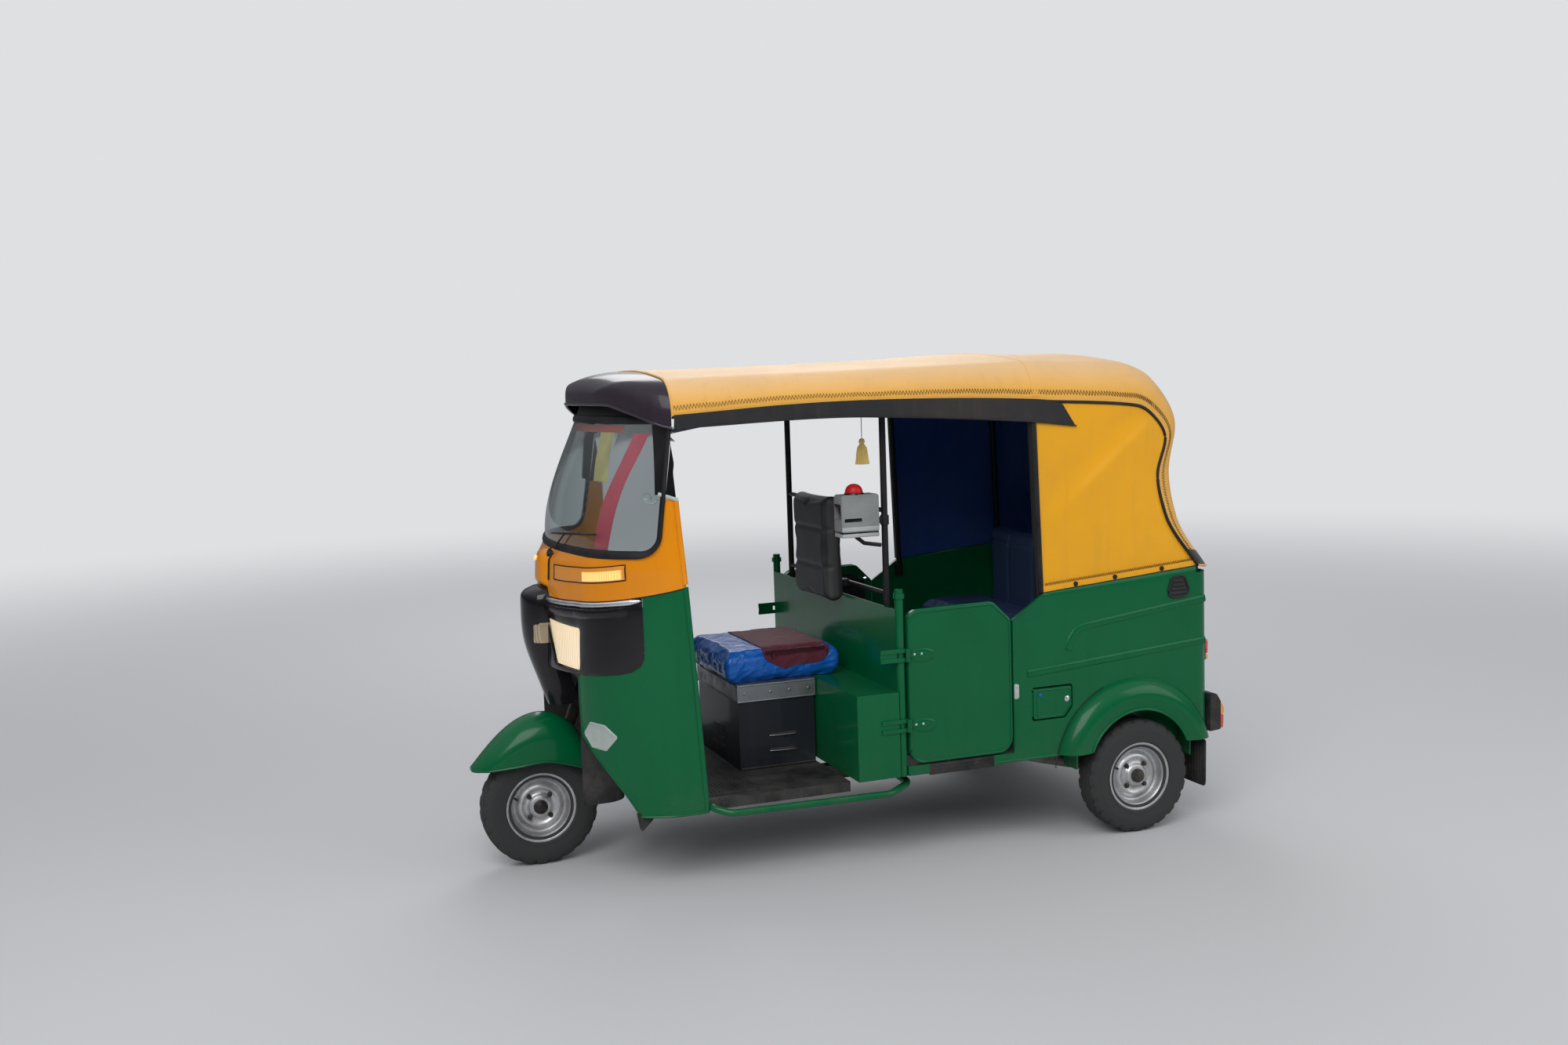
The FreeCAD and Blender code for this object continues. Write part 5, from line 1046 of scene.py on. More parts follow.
@dataclass
class FrontSurface:
    """The front body's skin: plan curves stacked by height, in millimetres."""

    axle: float = 1080.0
    rear_x: float = 633.0
    rear_foot_z: float = 250.0
    rear_lean: float = math.tan(math.radians(3.7))
    joint_height: float = 922.0
    joint_rise: float = math.tan(math.radians(9.0))
    # height, half width, side end x, turn x and y, face x and y, nose x
    lower: tuple = ((225, 530, -362, -185, 444, -112, 300, -55), (600, 540, -360, -175, 452, -94, 300, -42),
                    (1000, 541, -350, -190, 460, -104, 300, -50))
    band: tuple = ((900, 541, -355, -187, 456, -100, 300, -48), (1052, 540, -345, -192, 464, -106, 305, -58),
                   (1096, 536, -338, -204, 464, -128, 315, -90))
    screen: tuple = ((1096, 536, -338, -204, 464, -128, 315, -90),
                     (1240, 528, -345, -218, 456, -148, 315, -108),
                     (1390, 520, -358, -262, 448, -205, 312, -160),
                     (1540, 510, -372, -318, 438, -272, 310, -222))

    def section(self, z: float, upper: bool) -> list[float]:
        """The plan's values at a height, of the panel below or above the colour joint."""
        if upper and z < 1096:
            low, high = (self.band[0], self.band[1]) if z < 1052 else (self.band[1], self.band[2])
            t = (z - low[0]) / (high[0] - low[0])
            return [a + (b - a) * t for a, b in zip(low[1:], high[1:])]
        table = self.screen if upper else self.lower
        result = [0.0] * 7
        for i, row in enumerate(table):
            weight = 1.0
            for j, other in enumerate(table):
                if i != j:
                    weight *= (z - other[0]) / (row[0] - other[0])
            result = [r + weight * v for r, v in zip(result, row[1:])]
        return result

    def raw(self, u: float, z: float, upper: bool) -> Vector:
        """A point of the skin: u runs from 0 at the nose to 1 at the rear edge, negative on the right."""
        half, side, turn_x, turn_y, face_x, face_y, nose = self.section(z, upper)
        share = abs(u)
        if share <= 0.3:
            x, y = arc_points((face_x, face_y), (nose, 0), (face_x, -face_y), [0.5 - share / 0.6])[0]
        elif share <= 0.6:
            x, y = arc_points((face_x, face_y), (turn_x, turn_y), (side, half), [(share - 0.3) / 0.3])[0]
        else:
            edge = self.edge_x(z) - self.axle
            x, y = side + (edge - side) * (share - 0.6) / 0.4, half
        return Vector((self.axle + x, math.copysign(y, u) if u else y, z))

    def point(self, u: float, z: float, proud: float = 0.0, upper: bool = False) -> Vector:
        """A point of the skin, moved out along its normal."""
        here = self.raw(u, z, upper)
        if not proud:
            return here
        side = self.raw(u + 0.004, z, upper) - self.raw(u - 0.004, z, upper)
        rise = self.raw(u, z + 1.0, upper) - self.raw(u, z - 1.0, upper)
        normal = side.cross(rise).normalized()
        if normal.dot(Vector((here.x - 500.0, here.y, 0.0))) < 0:
            normal.negate()
        return here + normal * proud

    def edge_x(self, z: float) -> float:
        """Where the cowl's rear edge stands."""
        return self.rear_x + (z - self.rear_foot_z) * self.rear_lean

    def joint(self, x: float) -> float:
        """Height of the colour joint."""
        return self.joint_height + (self.axle - x) * self.joint_rise

    def u_at_x(self, x: float, z: float, upper: bool = False) -> float:
        """The share u at which the left side reaches an x."""
        return halve(0.0, 1.15, 26, lambda u: self.raw(u, z, upper).x > x)

    def u_at_y(self, y: float, z: float, upper: bool = False) -> float:
        """The share u at which the left half reaches a y."""
        return halve(0.0, 0.6, 26, lambda u: self.raw(u, z, upper).y < y)

    def at_joint(self, u: float, offset: float, upper: bool) -> float:
        """The height that lies an offset above the colour joint at a share u."""
        z = self.joint_height + offset
        for _ in range(4):
            z = self.joint(self.raw(u, z, upper).x) + offset
        return z

    def on_side(self, x: float, z: float, proud: float = 0.0, upper: bool = False) -> Vector:
        """A point of the left side's skin, given from the side."""
        return self.point(self.u_at_x(x, z, upper), z, proud, upper)

    def from_front(self, y: float, z: float, proud: float = 0.0, upper: bool = False) -> Vector:
        """A point of the front's skin, given from the front."""
        return self.point(math.copysign(self.u_at_y(abs(y), z, upper), y), z, proud, upper)


@dataclass
class FrontBody:
    """The pressed front: apron, lamp surround, bright strip, cowl, windscreen and visor."""

    skin: FrontSurface = field(default_factory=FrontSurface)
    step_x: float = 818.0
    foot_z: float = 250.0
    under_brow: float = -21.6
    under_lamps: float = -237.0
    wall: float = 5.0
    heart: Point = (500.0, 800.0)
    lamp: tuple = ((78, 860), (322, 852), (316, 710), (158, 714))
    slope: tuple = ((850, 250), (858, 274), (884, 318), (925, 384), (962, 446), (985, 500), (995, 580),
                    (1010, 700), (1020, 1000))
    nose: tuple = ((548, -50, 40), (622, -24, 60), (770, 22, 84), (900, 28, 86), (940, 20, 76),
                   (958, -14, 58))

    def build(self) -> None:
        """Build every piece of the front."""
        self.apron()
        self.apron_edges()
        self.garnish()
        self.headlamps()
        self.strip()
        self.cowl()
        self.indicators()
        self.windscreen()
        self.visor()
        self.wiper()
        self.trinkets()
        self.well()
        self.dash()

    def wheel_edge(self, z: float) -> float:
        """The share u of the apron's front edge round the wheel opening."""
        x = self.slope[-1][0]
        for (x0, z0), (x1, z1) in zip(self.slope, self.slope[1:]):
            if z0 <= z <= z1:
                x = x0 + (x1 - x0) * (z - z0) / (z1 - z0)
                break
        if z < self.slope[0][1]:
            x = self.slope[0][0]
        return max(self.skin.u_at_y(300.0, z), self.skin.u_at_x(x, z))

    def dent(self, point: Vector) -> Vector:
        """Small knocks near the apron's lower rear corner and a faint ripple elsewhere."""
        push = 0.5 * wobble(point, 170.0, 3.0)
        for x, z, size, depth in ((672, 292, 34, 3.2), (705, 340, 26, 2.0), (655, 365, 22, 1.6),
                                  (740, 275, 30, 1.8)):
            gap = math.hypot(point.x - x, point.z - z) / size
            push -= depth * math.exp(-gap * gap * 1.6)
        return Vector((point.x, point.y + math.copysign(push, point.y), point.z))

    def apron(self) -> None:
        """The green panel below the colour joint, stepped under the lamp surround."""
        skin, low = self.skin, self.foot_z
        top_front, top_rear = -225.0, -3.0
        z_step = skin.joint(self.step_x)
        part = (z_step + top_front - low) / (z_step + top_rear - low)
        levels = [part * s for s in shares(26)] + [part + (1 - part) * s for s in shares(12)[1:]]
        form = Form()
        rows = []
        for level in levels:
            row = []
            for s in shares(34):
                z = low
                for _ in range(4):
                    start = skin.u_at_x(self.step_x, z)
                    u = start + (1 - start) * s
                    z = low + level * (skin.joint(skin.raw(u, z, False).x) + top_rear - low)
                row.append(self.dent(skin.point(u, z)))
            rows.append(row)
        form.grid(rows)
        rows = []
        for level in shares(26):
            row = []
            for s in shares(28):
                z, u = low + level * 400, 0.5
                for _ in range(5):
                    first, last = self.wheel_edge(z), skin.u_at_x(self.step_x, z)
                    u = first + (last - first) * s
                    z = low + level * (skin.joint(skin.raw(u, z, False).x) + top_front - low)
                row.append(self.dent(skin.point(u, z)))
            rows.append(row)
        form.grid(rows)
        corner = [skin.u_at_x(self.step_x + 55 - 56 * s, 720) for s in shares(8)]
        form.grid([[skin.point(u, skin.at_joint(u, top_front - 2 + 47 * t, False), -0.6) for u in corner]
                   for t in shares(8)])
        form.mirrored().make("apron_skin", Finishes.GREEN, replaces=("apron",), thick=self.wall,
                             away=self.heart)

    def apron_edges(self) -> None:
        """Rolled hems along the apron's free edges, and its rear flange with the cowl's."""
        skin, form, low = self.skin, Form(), self.foot_z
        heights = [low + 2 + i * 10 for i in range(47)]
        opening = [self.dent(skin.point(self.wheel_edge(z) + 0.004, z, -1.5)) for z in heights]
        first = self.wheel_edge(low + 2)
        foot = [self.dent(skin.point(first + (1 - first) * s, low + 3, -1.5)) for s in shares(40)]
        form.tube(opening, 4.2, 8)
        form.tube(foot, 4.2, 8)
        form.mirrored().make("apron_hems", Finishes.GREEN)
        for name, finish, start, end, upper in (("apron_flange", Finishes.GREEN, low + 4, 988.0, False),
                                                ("cowl_flange", Finishes.AMBER_YELLOW, 996.0, 1262.0, True)):
            form = Form()
            path = [skin.point(0.985, start + (end - start) * s, 1.0, upper) for s in shares(40)]
            form.tube(path, 8.0, 12, flat=0.62, up=LEFT)
            form.mirrored().make(name, finish)

    def ring_between(self, inner: Sequence[Point], outer: Sequence[Point], depth: int,
                     proud: Callable[[float], float], upper: bool = False) -> list[Row]:
        """Rows of skin points from one closed (u, z) outline to another."""
        return [[self.skin.point(a[0] + (b[0] - a[0]) * t, a[1] + (b[1] - a[1]) * t, proud(t), upper)
                 for a, b in zip(inner, outer)] for t in shares(depth)]

    def garnish(self) -> None:
        """The glossy lamp surround with its brow and nose."""
        skin, high, low = self.skin, self.under_brow, self.under_lamps
        hole = rounded_outline(self.lamp, 14, 8)
        hole = along(hole + hole[:1], 97)[:-1]
        inner = [(skin.u_at_y(y, z), z) for y, z in hole]
        centre = (0.23, 782.0)
        border: list[Point] = []
        start = skin.u_at_y(58, 860)
        for s in shares(60):
            u = start + (skin.u_at_x(self.step_x, 930) - start) * s
            border.append((u, skin.at_joint(u, high, False)))
        for s in shares(30)[1:-1]:
            z = skin.joint(self.step_x) + high + (low - high) * s
            back = max(0.0, (s - 0.74) / 0.26)
            border.append((skin.u_at_x(self.step_x + 46 * (1 - math.sqrt(max(0.0, 1 - back * back))), z), z))
        for s in shares(50):
            u = skin.u_at_x(self.step_x + 46, 730) + (start - skin.u_at_x(self.step_x + 46, 730)) * s
            border.append((u, skin.at_joint(u, low, False)))
        for s in shares(16)[1:-1]:
            border.append((start, border[-1][1] + (border[0][1] - border[-1][1]) * 0.06))
        border = along(border + border[:1], 400)[:-1]
        scale = 420.0
        angles = [math.atan2(z - centre[1], (u - centre[0]) * scale) for u, z in border]
        outer = []
        for u, z in inner:
            wanted = math.atan2(z - centre[1], (u - centre[0]) * scale)
            best = min(range(len(border)), key=lambda k: abs(math.remainder(angles[k] - wanted, 2 * math.pi)))
            outer.append(border[best])

        def swell(t: float) -> float:
            """The surround's height: a soft rim at the lamp and a rounded outer edge."""
            return 5.0 - 3.5 * math.exp(-t * 14.0) - 2.6 * math.exp(-(1 - t) * 12.0)

        form = Form().grid(self.ring_between(inner, outer, 16, swell), closed=True).mirrored()
        middle = []
        for s in shares(17):
            z = 715.0 + (905.0 - 715.0) * s
            middle.append([skin.from_front(y, z, 4.0) for y in (-80, -60, -30, 0, 30, 60, 80)])
        form.grid(middle)
        form.make("lamp_surround", Finishes.GLOSS_BLACK, replaces=("lamp_garnish",), thick=4.0,
                  away=self.heart)
        self.nose_bulge()
        form = Form()
        rows = []
        start, end = skin.u_at_y(70, 900), skin.u_at_x(self.step_x + 40, 920)
        for s in shares(60):
            u = start + (end - start) * s
            fade = min(1.0, (1 - s) * 7, s * 12 + 0.3)
            z = skin.at_joint(u, high, False)
            rows.append([skin.point(u, z + dz, 4 + out * fade) for dz, out in (
                (-1, -4), (-1, 6), (-3, 11), (-9, 13), (-20, 12.5), (-29, 9), (-33, 4), (-35, -4))])
        form.capped(rows)
        form.mirrored().make("lamp_brow", Finishes.GLOSS_BLACK)

    def nose_bulge(self) -> None:
        """The rounded middle of the lamp surround over the mudguard."""
        rows = []
        curve = catmull([Vector((x, half, z)) for z, x, half in self.nose], 14.0)
        for spot in curve:
            front, half, z = self.skin.axle + spot.x, spot.y, spot.z
            plan = [(front - 104, -half - 3), (front - 66, -half)]
            plan += arc_points((front - 42, -half), (front, 0), (front - 42, half), shares(19))
            plan += [(front - 66, half), (front - 104, half + 3)]
            rows.append([Vector((x, y, z)) for x, y in plan])
        rows.append([Vector((v.x - 30, v.y * 0.9, v.z + 3)) for v in rows[-1]])
        Form().grid(rows).make("nose_bulge", Finishes.GLOSS_BLACK, thick=4.0, away=self.heart)

    def headlamps(self) -> None:
        """Fluted lenses: the lit reflector part and the darker inner corner."""
        skin = self.skin
        corners = [Vector((y, z)) for y, z in self.lamp]
        rows = []
        for s in shares(16):
            row = []
            for t in shares(30):
                top = corners[0].lerp(corners[1], 0.05 + 0.95 * t)
                foot = corners[3].lerp(corners[2], 0.02 + 0.98 * t)
                spot = foot.lerp(top, 0.02 + 0.96 * s)
                dome = (1 - (2 * t - 1) ** 6) * (1 - (2 * s - 1) ** 6)
                row.append(skin.from_front(spot.x, spot.y, -1.0 + 2.4 * dome))
            rows.append(row)
        Form().grid(rows).mirrored().make("headlamp_lens", Finishes.HEADLAMP, replaces=("headlamps",),
                                          thick=3.0, away=self.heart)
        rows = []
        for s in shares(14):
            z = 774 + 68 * s
            half = 84 + 2 * (z - 770) / 130
            front = skin.axle + 22 + 6 * (z - 770) / 130
            swell = 3.0 * (1 - (2 * s - 1) ** 6)
            row = [Vector((front - 84 + 42 * t, half + 3.0 + swell * min(1.0, t * 6), z))
                   for t in shares(8)[:-1]]
            corner = arc_points((front - 42, half), (front, 0), (front - 42, -half),
                                [0.16 * k for k in shares(8)])
            row += [Vector((x, y + 3.0 + swell * min(1.0, 12 * (1 - k)), z))
                    for k, (x, y) in zip(shares(8), corner)]
            rows.append(row)
        Form().grid(rows).mirrored().make("headlamp_cheeks", Finishes.HEADLAMP_EDGE, thick=2.0,
                                          away=self.heart)
        form, rows = Form(), []
        for s in shares(10):
            row = []
            for t in shares(12):
                top, foot = corners[0].lerp(corners[1], t), corners[3].lerp(corners[2], t)
                spot = foot.lerp(top, s)
                bowl = math.sin(math.pi * s) * math.sin(math.pi * t)
                row.append(skin.from_front(spot.x, spot.y, -9.0 - 6.0 * bowl))
            rows.append(row)
        form.grid(rows)
        form.mirrored().make("headlamp_bowl", Finishes.MATT_BLACK, thick=3.0, away=self.heart)

    def strip(self) -> None:
        """The bright strip under the colour joint, tapered at its rear end, and the dark bead above it."""
        skin, form, rows = self.skin, Form(), []
        end = skin.u_at_x(self.step_x + 2, 940)
        for s in shares(150):
            u = -end + 2 * end * s
            taper = min(1.0, math.sqrt(max(0.0, (1 - abs(2 * s - 1)) * 18)))
            z = skin.at_joint(u, -11, False)
            ring = []
            for a in turns(14):
                proud = math.cos(a) * (7.5 if math.cos(a) > 0 else 2.0)
                ring.append(skin.point(u, z + 9.5 * taper * math.sin(a), 1.0 + proud * taper))
            rows.append(ring)
        form.capped(rows)
        form.make("bright_bar", Finishes.TRIM, replaces=("bright_strip",))
        form = Form()
        path = [skin.point(u, skin.at_joint(u, -1.2, True), -0.6, True)
                for u in (-1 + 2 * s for s in shares(150))]
        form.tube(path, 2.6, 8)
        form.make("joint_bead", Finishes.RUBBER)
        across = [-end + 2 * end * s for s in shares(90)]
        rows = [[skin.point(u, skin.at_joint(u, offset, False), -6.0) for u in across]
                for offset in (-34, -14, 5)]
        Form().grid(rows).make("joint_backing", Finishes.MATT_BLACK, thick=1.5, away=self.heart)

    def opening(self, grow: float) -> list[Point]:
        """The windscreen opening from the side, as (x, z) points, rounded at its rear corners."""
        rear, low, high = 735.0 - grow, 1100.0 - grow, 1512.0 + grow
        lean = (high - low) * math.tan(math.radians(9.0))
        corner = 62.0 + grow
        return rounded_outline([(rear + 36, low), (rear + 36 - lean, high), (1400, high), (1400, low)],
                               (corner, corner / 2, 0, 0), 12)

    def opening_x(self, outline: Sequence[Point], z: float) -> float:
        """Where an opening's rear edge lies at a height."""
        crossings = []
        for (x0, z0), (x1, z1) in zip(outline, list(outline[1:]) + [outline[0]]):
            if (z0 - z) * (z1 - z) <= 0 and z0 != z1:
                crossings.append(x0 + (x1 - x0) * (z - z0) / (z1 - z0))
        return min(crossings) if crossings else 1400.0

    def cowl(self) -> None:
        """The yellow panel under and beside the windscreen and the black pillars over it."""
        skin, outline = self.skin, self.opening(10.0)
        low_z, split = 1090.0, 1268.0
        form, rows = Form(), []
        for level in shares(14):
            row = []
            for s in shares(130):
                u = -1 + 2 * s
                foot = skin.at_joint(u, 1.0, True)
                row.append(skin.point(u, foot + (low_z - foot) * level, 0, True))
            rows.append(row)
        form.grid(rows)
        form.make("cowl_band", Finishes.AMBER_YELLOW, replaces=("cowl",), thick=self.wall, away=self.heart)
        for name, finish, start, end, replaced in (
                ("cowl_sides", Finishes.AMBER_YELLOW, low_z, split, ()),
                ("upper_pillars", Finishes.GLOSS_BLACK, split + 1, 1506.0, ("windscreen_header",))):
            form, rows = Form(), []
            for level in shares(24):
                z = start + (end - start) * level
                front = min(self.opening_x(outline, z), 900.0)
                rear = min(skin.edge_x(z), front - 16)
                first, last = skin.u_at_x(front, z, True), skin.u_at_x(rear, z, True)
                rows.append([skin.point(first + (last - first) * t, z, 0, True) for t in shares(12)])
            form.grid(rows)
            form.mirrored().make(name, finish, replaces=replaced, thick=self.wall, away=self.heart)

    def indicators(self) -> None:
        """Ribbed amber lenses in the cowl's front, lit at their outer ends."""
        skin = self.skin
        for name, finish, span, height in (("indicator_lens", Finishes.AMBER, (0.0, 1.0), (62, 108)),
                                           ("indicator_lit", Finishes.AMBER_LIT, (0.56, 0.98), (65, 96))):
            form, rows = Form(), []
            proud = 3.2 if name == "indicator_lens" else 4.2
            for s in shares(60):
                share = span[0] + (span[1] - span[0]) * s
                first, last = skin.u_at_y(134, 1000, True), skin.u_at_x(864, 1020, True)
                u = first + (last - first) * share
                foot, head = skin.at_joint(u, height[0], True), skin.at_joint(u, height[1], True)
                end = min(1.0, s * 22 + 0.2, (1 - s) * 22 + 0.2)
                ring = [skin.point(u, foot, -3, True), skin.point(u, foot, (proud - 1.5) * end, True)]
                ring += [skin.point(u, foot + (head - foot) * t, proud * end, True)
                         for t in (0.07, 0.3, 0.5, 0.7, 0.93)]
                ring += [skin.point(u, head, (proud - 1.5) * end, True), skin.point(u, head, -3, True)]
                rows.append(ring)
            form.capped(rows)
            stands_for = ("front_indicators",) if name == "indicator_lens" else ()
            form.mirrored().make(name, finish, replaces=stands_for)
        form = Form()
        for sign in (1, -1):
            loop = []
            first, last = skin.u_at_y(132, 1000, True), skin.u_at_x(862, 1020, True)
            edges = [(t, 61) for t in shares(40)] + [(1, 61 + 48 * t) for t in shares(8)[1:-1]]
            for share, offset in edges + [(1 - a, 170 - b) for a, b in edges]:
                u = first + (last - first) * share
                loop.append(skin.point(sign * u, skin.at_joint(u, offset, True), 0.4, True))
            form.tube(loop, 2.4, 6, closed=True)
        form.make("indicator_rims", Finishes.RUBBER)

    def windscreen(self) -> None:
        """The curved glass, its rubber gasket, and the red band along its top edge."""
        skin, inner = self.skin, self.opening(-1.0)
        form, rows = Form(), []
        for level in shares(44):
            z = 1101.5 + (1509.0 - 1101.5) * level
            last = skin.u_at_x(max(self.opening_x(inner, z), 640.0), z, True)
            widest = skin.u_at_x(771.0 - (z - 1100.0) * 0.1584 - 35.0, z, True)
            row = []
            for t in (2 * t - 1 for t in shares(72)):
                u = min(widest * abs(t), last * (0.88 + 0.12 * abs(t)))
                row.append(skin.point(math.copysign(u, t), z, -1.6, True))
            rows.append(row)
        form.grid(rows)
        form.make("windscreen_glass", Finishes.GLASS, replaces=("windscreen",), thick=4.0, away=self.heart)
        path = [(x, z) for x, z in self.opening(4.0) if x < 1300]
        side = [skin.on_side(x, z, 0.0, True) for x, z in path]
        start, end = skin.u_at_x(path[0][0], path[0][1], True), skin.u_at_x(path[-1][0], path[-1][1], True)
        head = [skin.point(end * (1 - 2 * s), path[-1][1], 0.0, True) for s in shares(60)][1:-1]
        foot = [skin.point(-start * (1 - 2 * s), path[0][1], 0.0, True) for s in shares(70)][1:-1]
        other = [flipped(v) for v in reversed(side)]
        loop = side + head + other + foot
        form = Form()
        form.tube(loop, 14.5, 14, closed=True, flat=0.52, up=Vector((1, 0, 0.4)))
        form.make("screen_gasket", Finishes.RUBBER, replaces=("windscreen_gasket",))
        form, rows = Form(), []
        for level in shares(3):
            z = 1478.0 + 24.0 * level
            rows.append([skin.point(-0.36 + 0.72 * t, z, -8.0, True) for t in shares(40)])
        form.grid(rows)
        form.make("screen_band", Finishes.RED_BAND, thick=1.0, away=self.heart)

    def visor(self) -> None:
        """The dark domed peak over the windscreen, with its rolled lower lip."""
        sections = ((0, 538, 1672, 150), (30, 521, 1672, 150), (58, 500, 1671, 150), (86, 466, 1667, 147),
                    (112, 420, 1660, 140), (132, 374, 1650, 131), (147, 322, 1638, 120),
                    (158, 272, 1626, 108), (166, 222, 1612, 96))
        form, rows = Form(), []
        for x, half, crest, shoulder in sections:
            here = 706.0 + x
            foot = 1490.0 + 78.0 * min(1.0, x / 150.0) ** 1.3
            side, top, shoulder = half, crest, min(shoulder, crest - foot - 16)
            right = [(side, top - shoulder), (side - shoulder * 0.2, top - shoulder * 0.42),
                     (side - shoulder * 0.62, top - shoulder * 0.2)]
            ring = [(side, foot + (top - shoulder - foot) * t) for t in shares(5)[:-1]]
            ring += arc_points(*right, shares(9))[:-1]
            ring += arc_points(right[2], (0, top), (-right[2][0], right[2][1]), shares(33))[:-1]
            ring += arc_points((-right[2][0], right[2][1]), (-right[1][0], right[1][1]),
                               (-right[0][0], right[0][1]), shares(9))[:-1]
            ring += [(-side, foot + (top - shoulder - foot) * t) for t in reversed(shares(5))]
            rows.append([Vector((here, y, z)) for y, z in ring])
        last = rows[-1]
        low = last[0].z
        for scale in (0.86, 0.68, 0.46, 0.22, 0.02):
            rows.append([Vector((v.x + 8 * (1 - scale ** 2), v.y * scale, low + (v.z - low) * scale))
                         for v in last])
        form.grid(rows)
        form.make("visor_dome", Finishes.VISOR, replaces=("visor",), thick=4.0, away=(600.0, 1400.0),
                  smooth=1)
        lip = [row[0] for row in rows[:-2]] + [Vector((last[0].x + 8, 0, low))]
        lip += [flipped(v) for v in reversed(lip[:-1])]
        Form().tube([v - Vector((0, 0, 2)) for v in lip], 5.0, 8).make("visor_lip", Finishes.VISOR)
        rows = [[self.skin.point(-0.6 + 1.2 * t, 1508.0 + 64.0 * s, -1.0, True) for t in shares(50)]
                for s in shares(6)]
        Form().grid(rows).make("screen_header", Finishes.MATT_BLACK, thick=3.0, away=self.heart)
        outline, rows = self.opening(2.0), []
        for s in shares(14):
            z = 1282.0 + 222.0 * s
            rear = self.opening_x(outline, z)
            rows.append([self.skin.on_side(rear + (764 - 12 * s - rear) * t, z, 1.5, True)
                         for t in shares(6)])
        Form().grid(rows).mirrored().make("pillar_panels", Finishes.GLOSS_BLACK, thick=2.0, away=self.heart)
        rows = []
        for s in shares(16):
            z = 958.0 + 124.0 * s
            swell = 26.0 * (1 - (2 * s - 1) ** 8)
            rows.append([self.skin.from_front(70.0 * t, z, swell * (1 - abs(t) ** 4) - 1.0, True)
                         for t in (-1, -0.96, -0.88, -0.7, -0.35, 0, 0.35, 0.7, 0.88, 0.96, 1)])
        Form().grid(rows).make("cowl_nose", Finishes.AMBER_YELLOW, thick=3.0, away=self.heart)
        Form().tube([self.skin.from_front(78.0, 985.0 + 90 * s, 1.0, True) for s in shares(9)], 4.0, 8).make(
            "cowl_nose_slit", Finishes.RUBBER)

    def wiper(self) -> None:
        """A wiper: pivot cap under the gasket, arm and blade parked along the glass's foot."""
        skin, form = self.skin, Form()
        pivot = skin.from_front(60, 1070, 2.0, True)
        out = Vector((1, 0, 0.25)).normalized()
        form.knob(pivot - out * 2, out, 13, 16, 18)
        arm = [skin.from_front(60 + 130 * s, 1076 + 72 * s, 15 - 4 * s, True) for s in shares(10)]
        form.tube(arm, 3.6, 8, flat=0.6)
        blade = [skin.from_front(y, 1136 + (y - 20) * 0.06, 5.5, True) for y in range(20, 400, 12)]
        form.tube(blade, 3.0, 8)
        form.tube([v + Vector((2.5, 0, 3)) for v in blade[8:-8]], 2.2, 6)
        form.make("wiper", Finishes.MATT_BLACK)

    def trinkets(self) -> None:
        """The pink ribbon and pale strip behind the glass, the badge, and the flap under the apron."""
        skin = self.skin
        for name, finish, head, foot, ends, steps in (
                ("ribbon", Finishes.RIBBON, 1476, 1106, (419, 466, 366, 426), 40),
                ("pale_strip", Finishes.PALE_STRIP, 1478, 1325, (214, 294, 284, 376), 20)):
            rows = []
            for s in shares(steps):
                left, right = (ends[k] + (ends[k + 2] - ends[k]) * s + 2.5 * math.sin(s * 8 + k)
                               for k in (0, 1))
                z, curl = head + (foot - head) * s, 2.5 * math.sin(s * 9) ** 2
                rows.append([skin.from_front(left + (right - left) * t, z,
                                             -8.5 - curl * math.sin(math.pi * t), True)
                             for t in shares(5)])
            strip = Form().grid(rows).make(name, finish, thick=1.2, away=self.heart)
            if name == "ribbon":
                area = mesh_area(strip, 1.2)
        curl = catmull([Vector(v) for v in ((806, 1270, 0), (797, 1285, 0), (783, 1288, 0), (776, 1276, 0),
                                            (785, 1267, 0), (797, 1272, 0), (790, 1260, 0), (768, 1256, 0),
                                            (757, 1268, 0))], 3.0)
        curl = [skin.on_side(v.x, v.y, -8.0, True) for v in curl]
        Form().tube(curl, 2.2, 6).make("screen_curl", Finishes.PALE_BADGE)
        Form().tube([skin.on_side(754 - 60 * s, 1285 - 22 * s, 4.0, True) for s in shares(9)], 6.0, 10,
                    flat=0.5, up=LEFT).mirrored().make("pillar_clips", Finishes.PALE_BADGE)
        # A small amber knob on the cowl's nose, made to glow.
        spot = skin.from_front(-18, 1050, 22.0, True)
        glow_knob = Form().knob(spot, Vector((1, 0, 0.3)).normalized(), 9, 9, 16, 0.7)
        glow_knob.make("nose_glow_knob", Finishes.AMBER_LIT)
        corners = ((320, 508), (360, 552), (418, 548), (455, 512), (418, 463), (360, 467))
        edge = rounded_outline(corners, 9, 4)
        rows = [[skin.from_front(388 + (y - 388) * scale, 508 + (z - 508) * scale, proud) for y, z in edge]
                for proud, scale in ((-0.5, 1.0), (2.0, 1.0), (3.4, 0.95), (3.4, 0.88), (2.0, 0.84),
                                     (2.0, 0.42), (2.0, 0.01))]
        Form().grid(rows, closed=True).make("side_badge", Finishes.PALE_BADGE)
        form = Form()
        form.prism([(860, 268), (812, 262), (806, 240), (842, 206), (850, 214)], 1, 486, 489)
        form.mirrored().make("apron_flap", Finishes.RUBBER, bevel=1.0)

    def well(self) -> None:
        """Dress the inner housing of the front wheel, which stays as the CAD piece."""
        dress_node("wheel_well", Finishes.MATT_BLACK)

    def dash(self) -> None:
        """Dress the shelf under the windscreen."""
        dress_node("dash_panel", Finishes.MATT_BLACK)


DRESSED: set[str] = set()


def dress_node(name: str, finish: Finish) -> None:
    """Give a CAD node that stays in view its finish."""
    DRESSED.add(name)
    piece = frame["nodes"][name]
    piece.data.materials.clear()
    piece.data.materials.append(finish.material())


# Soft hood


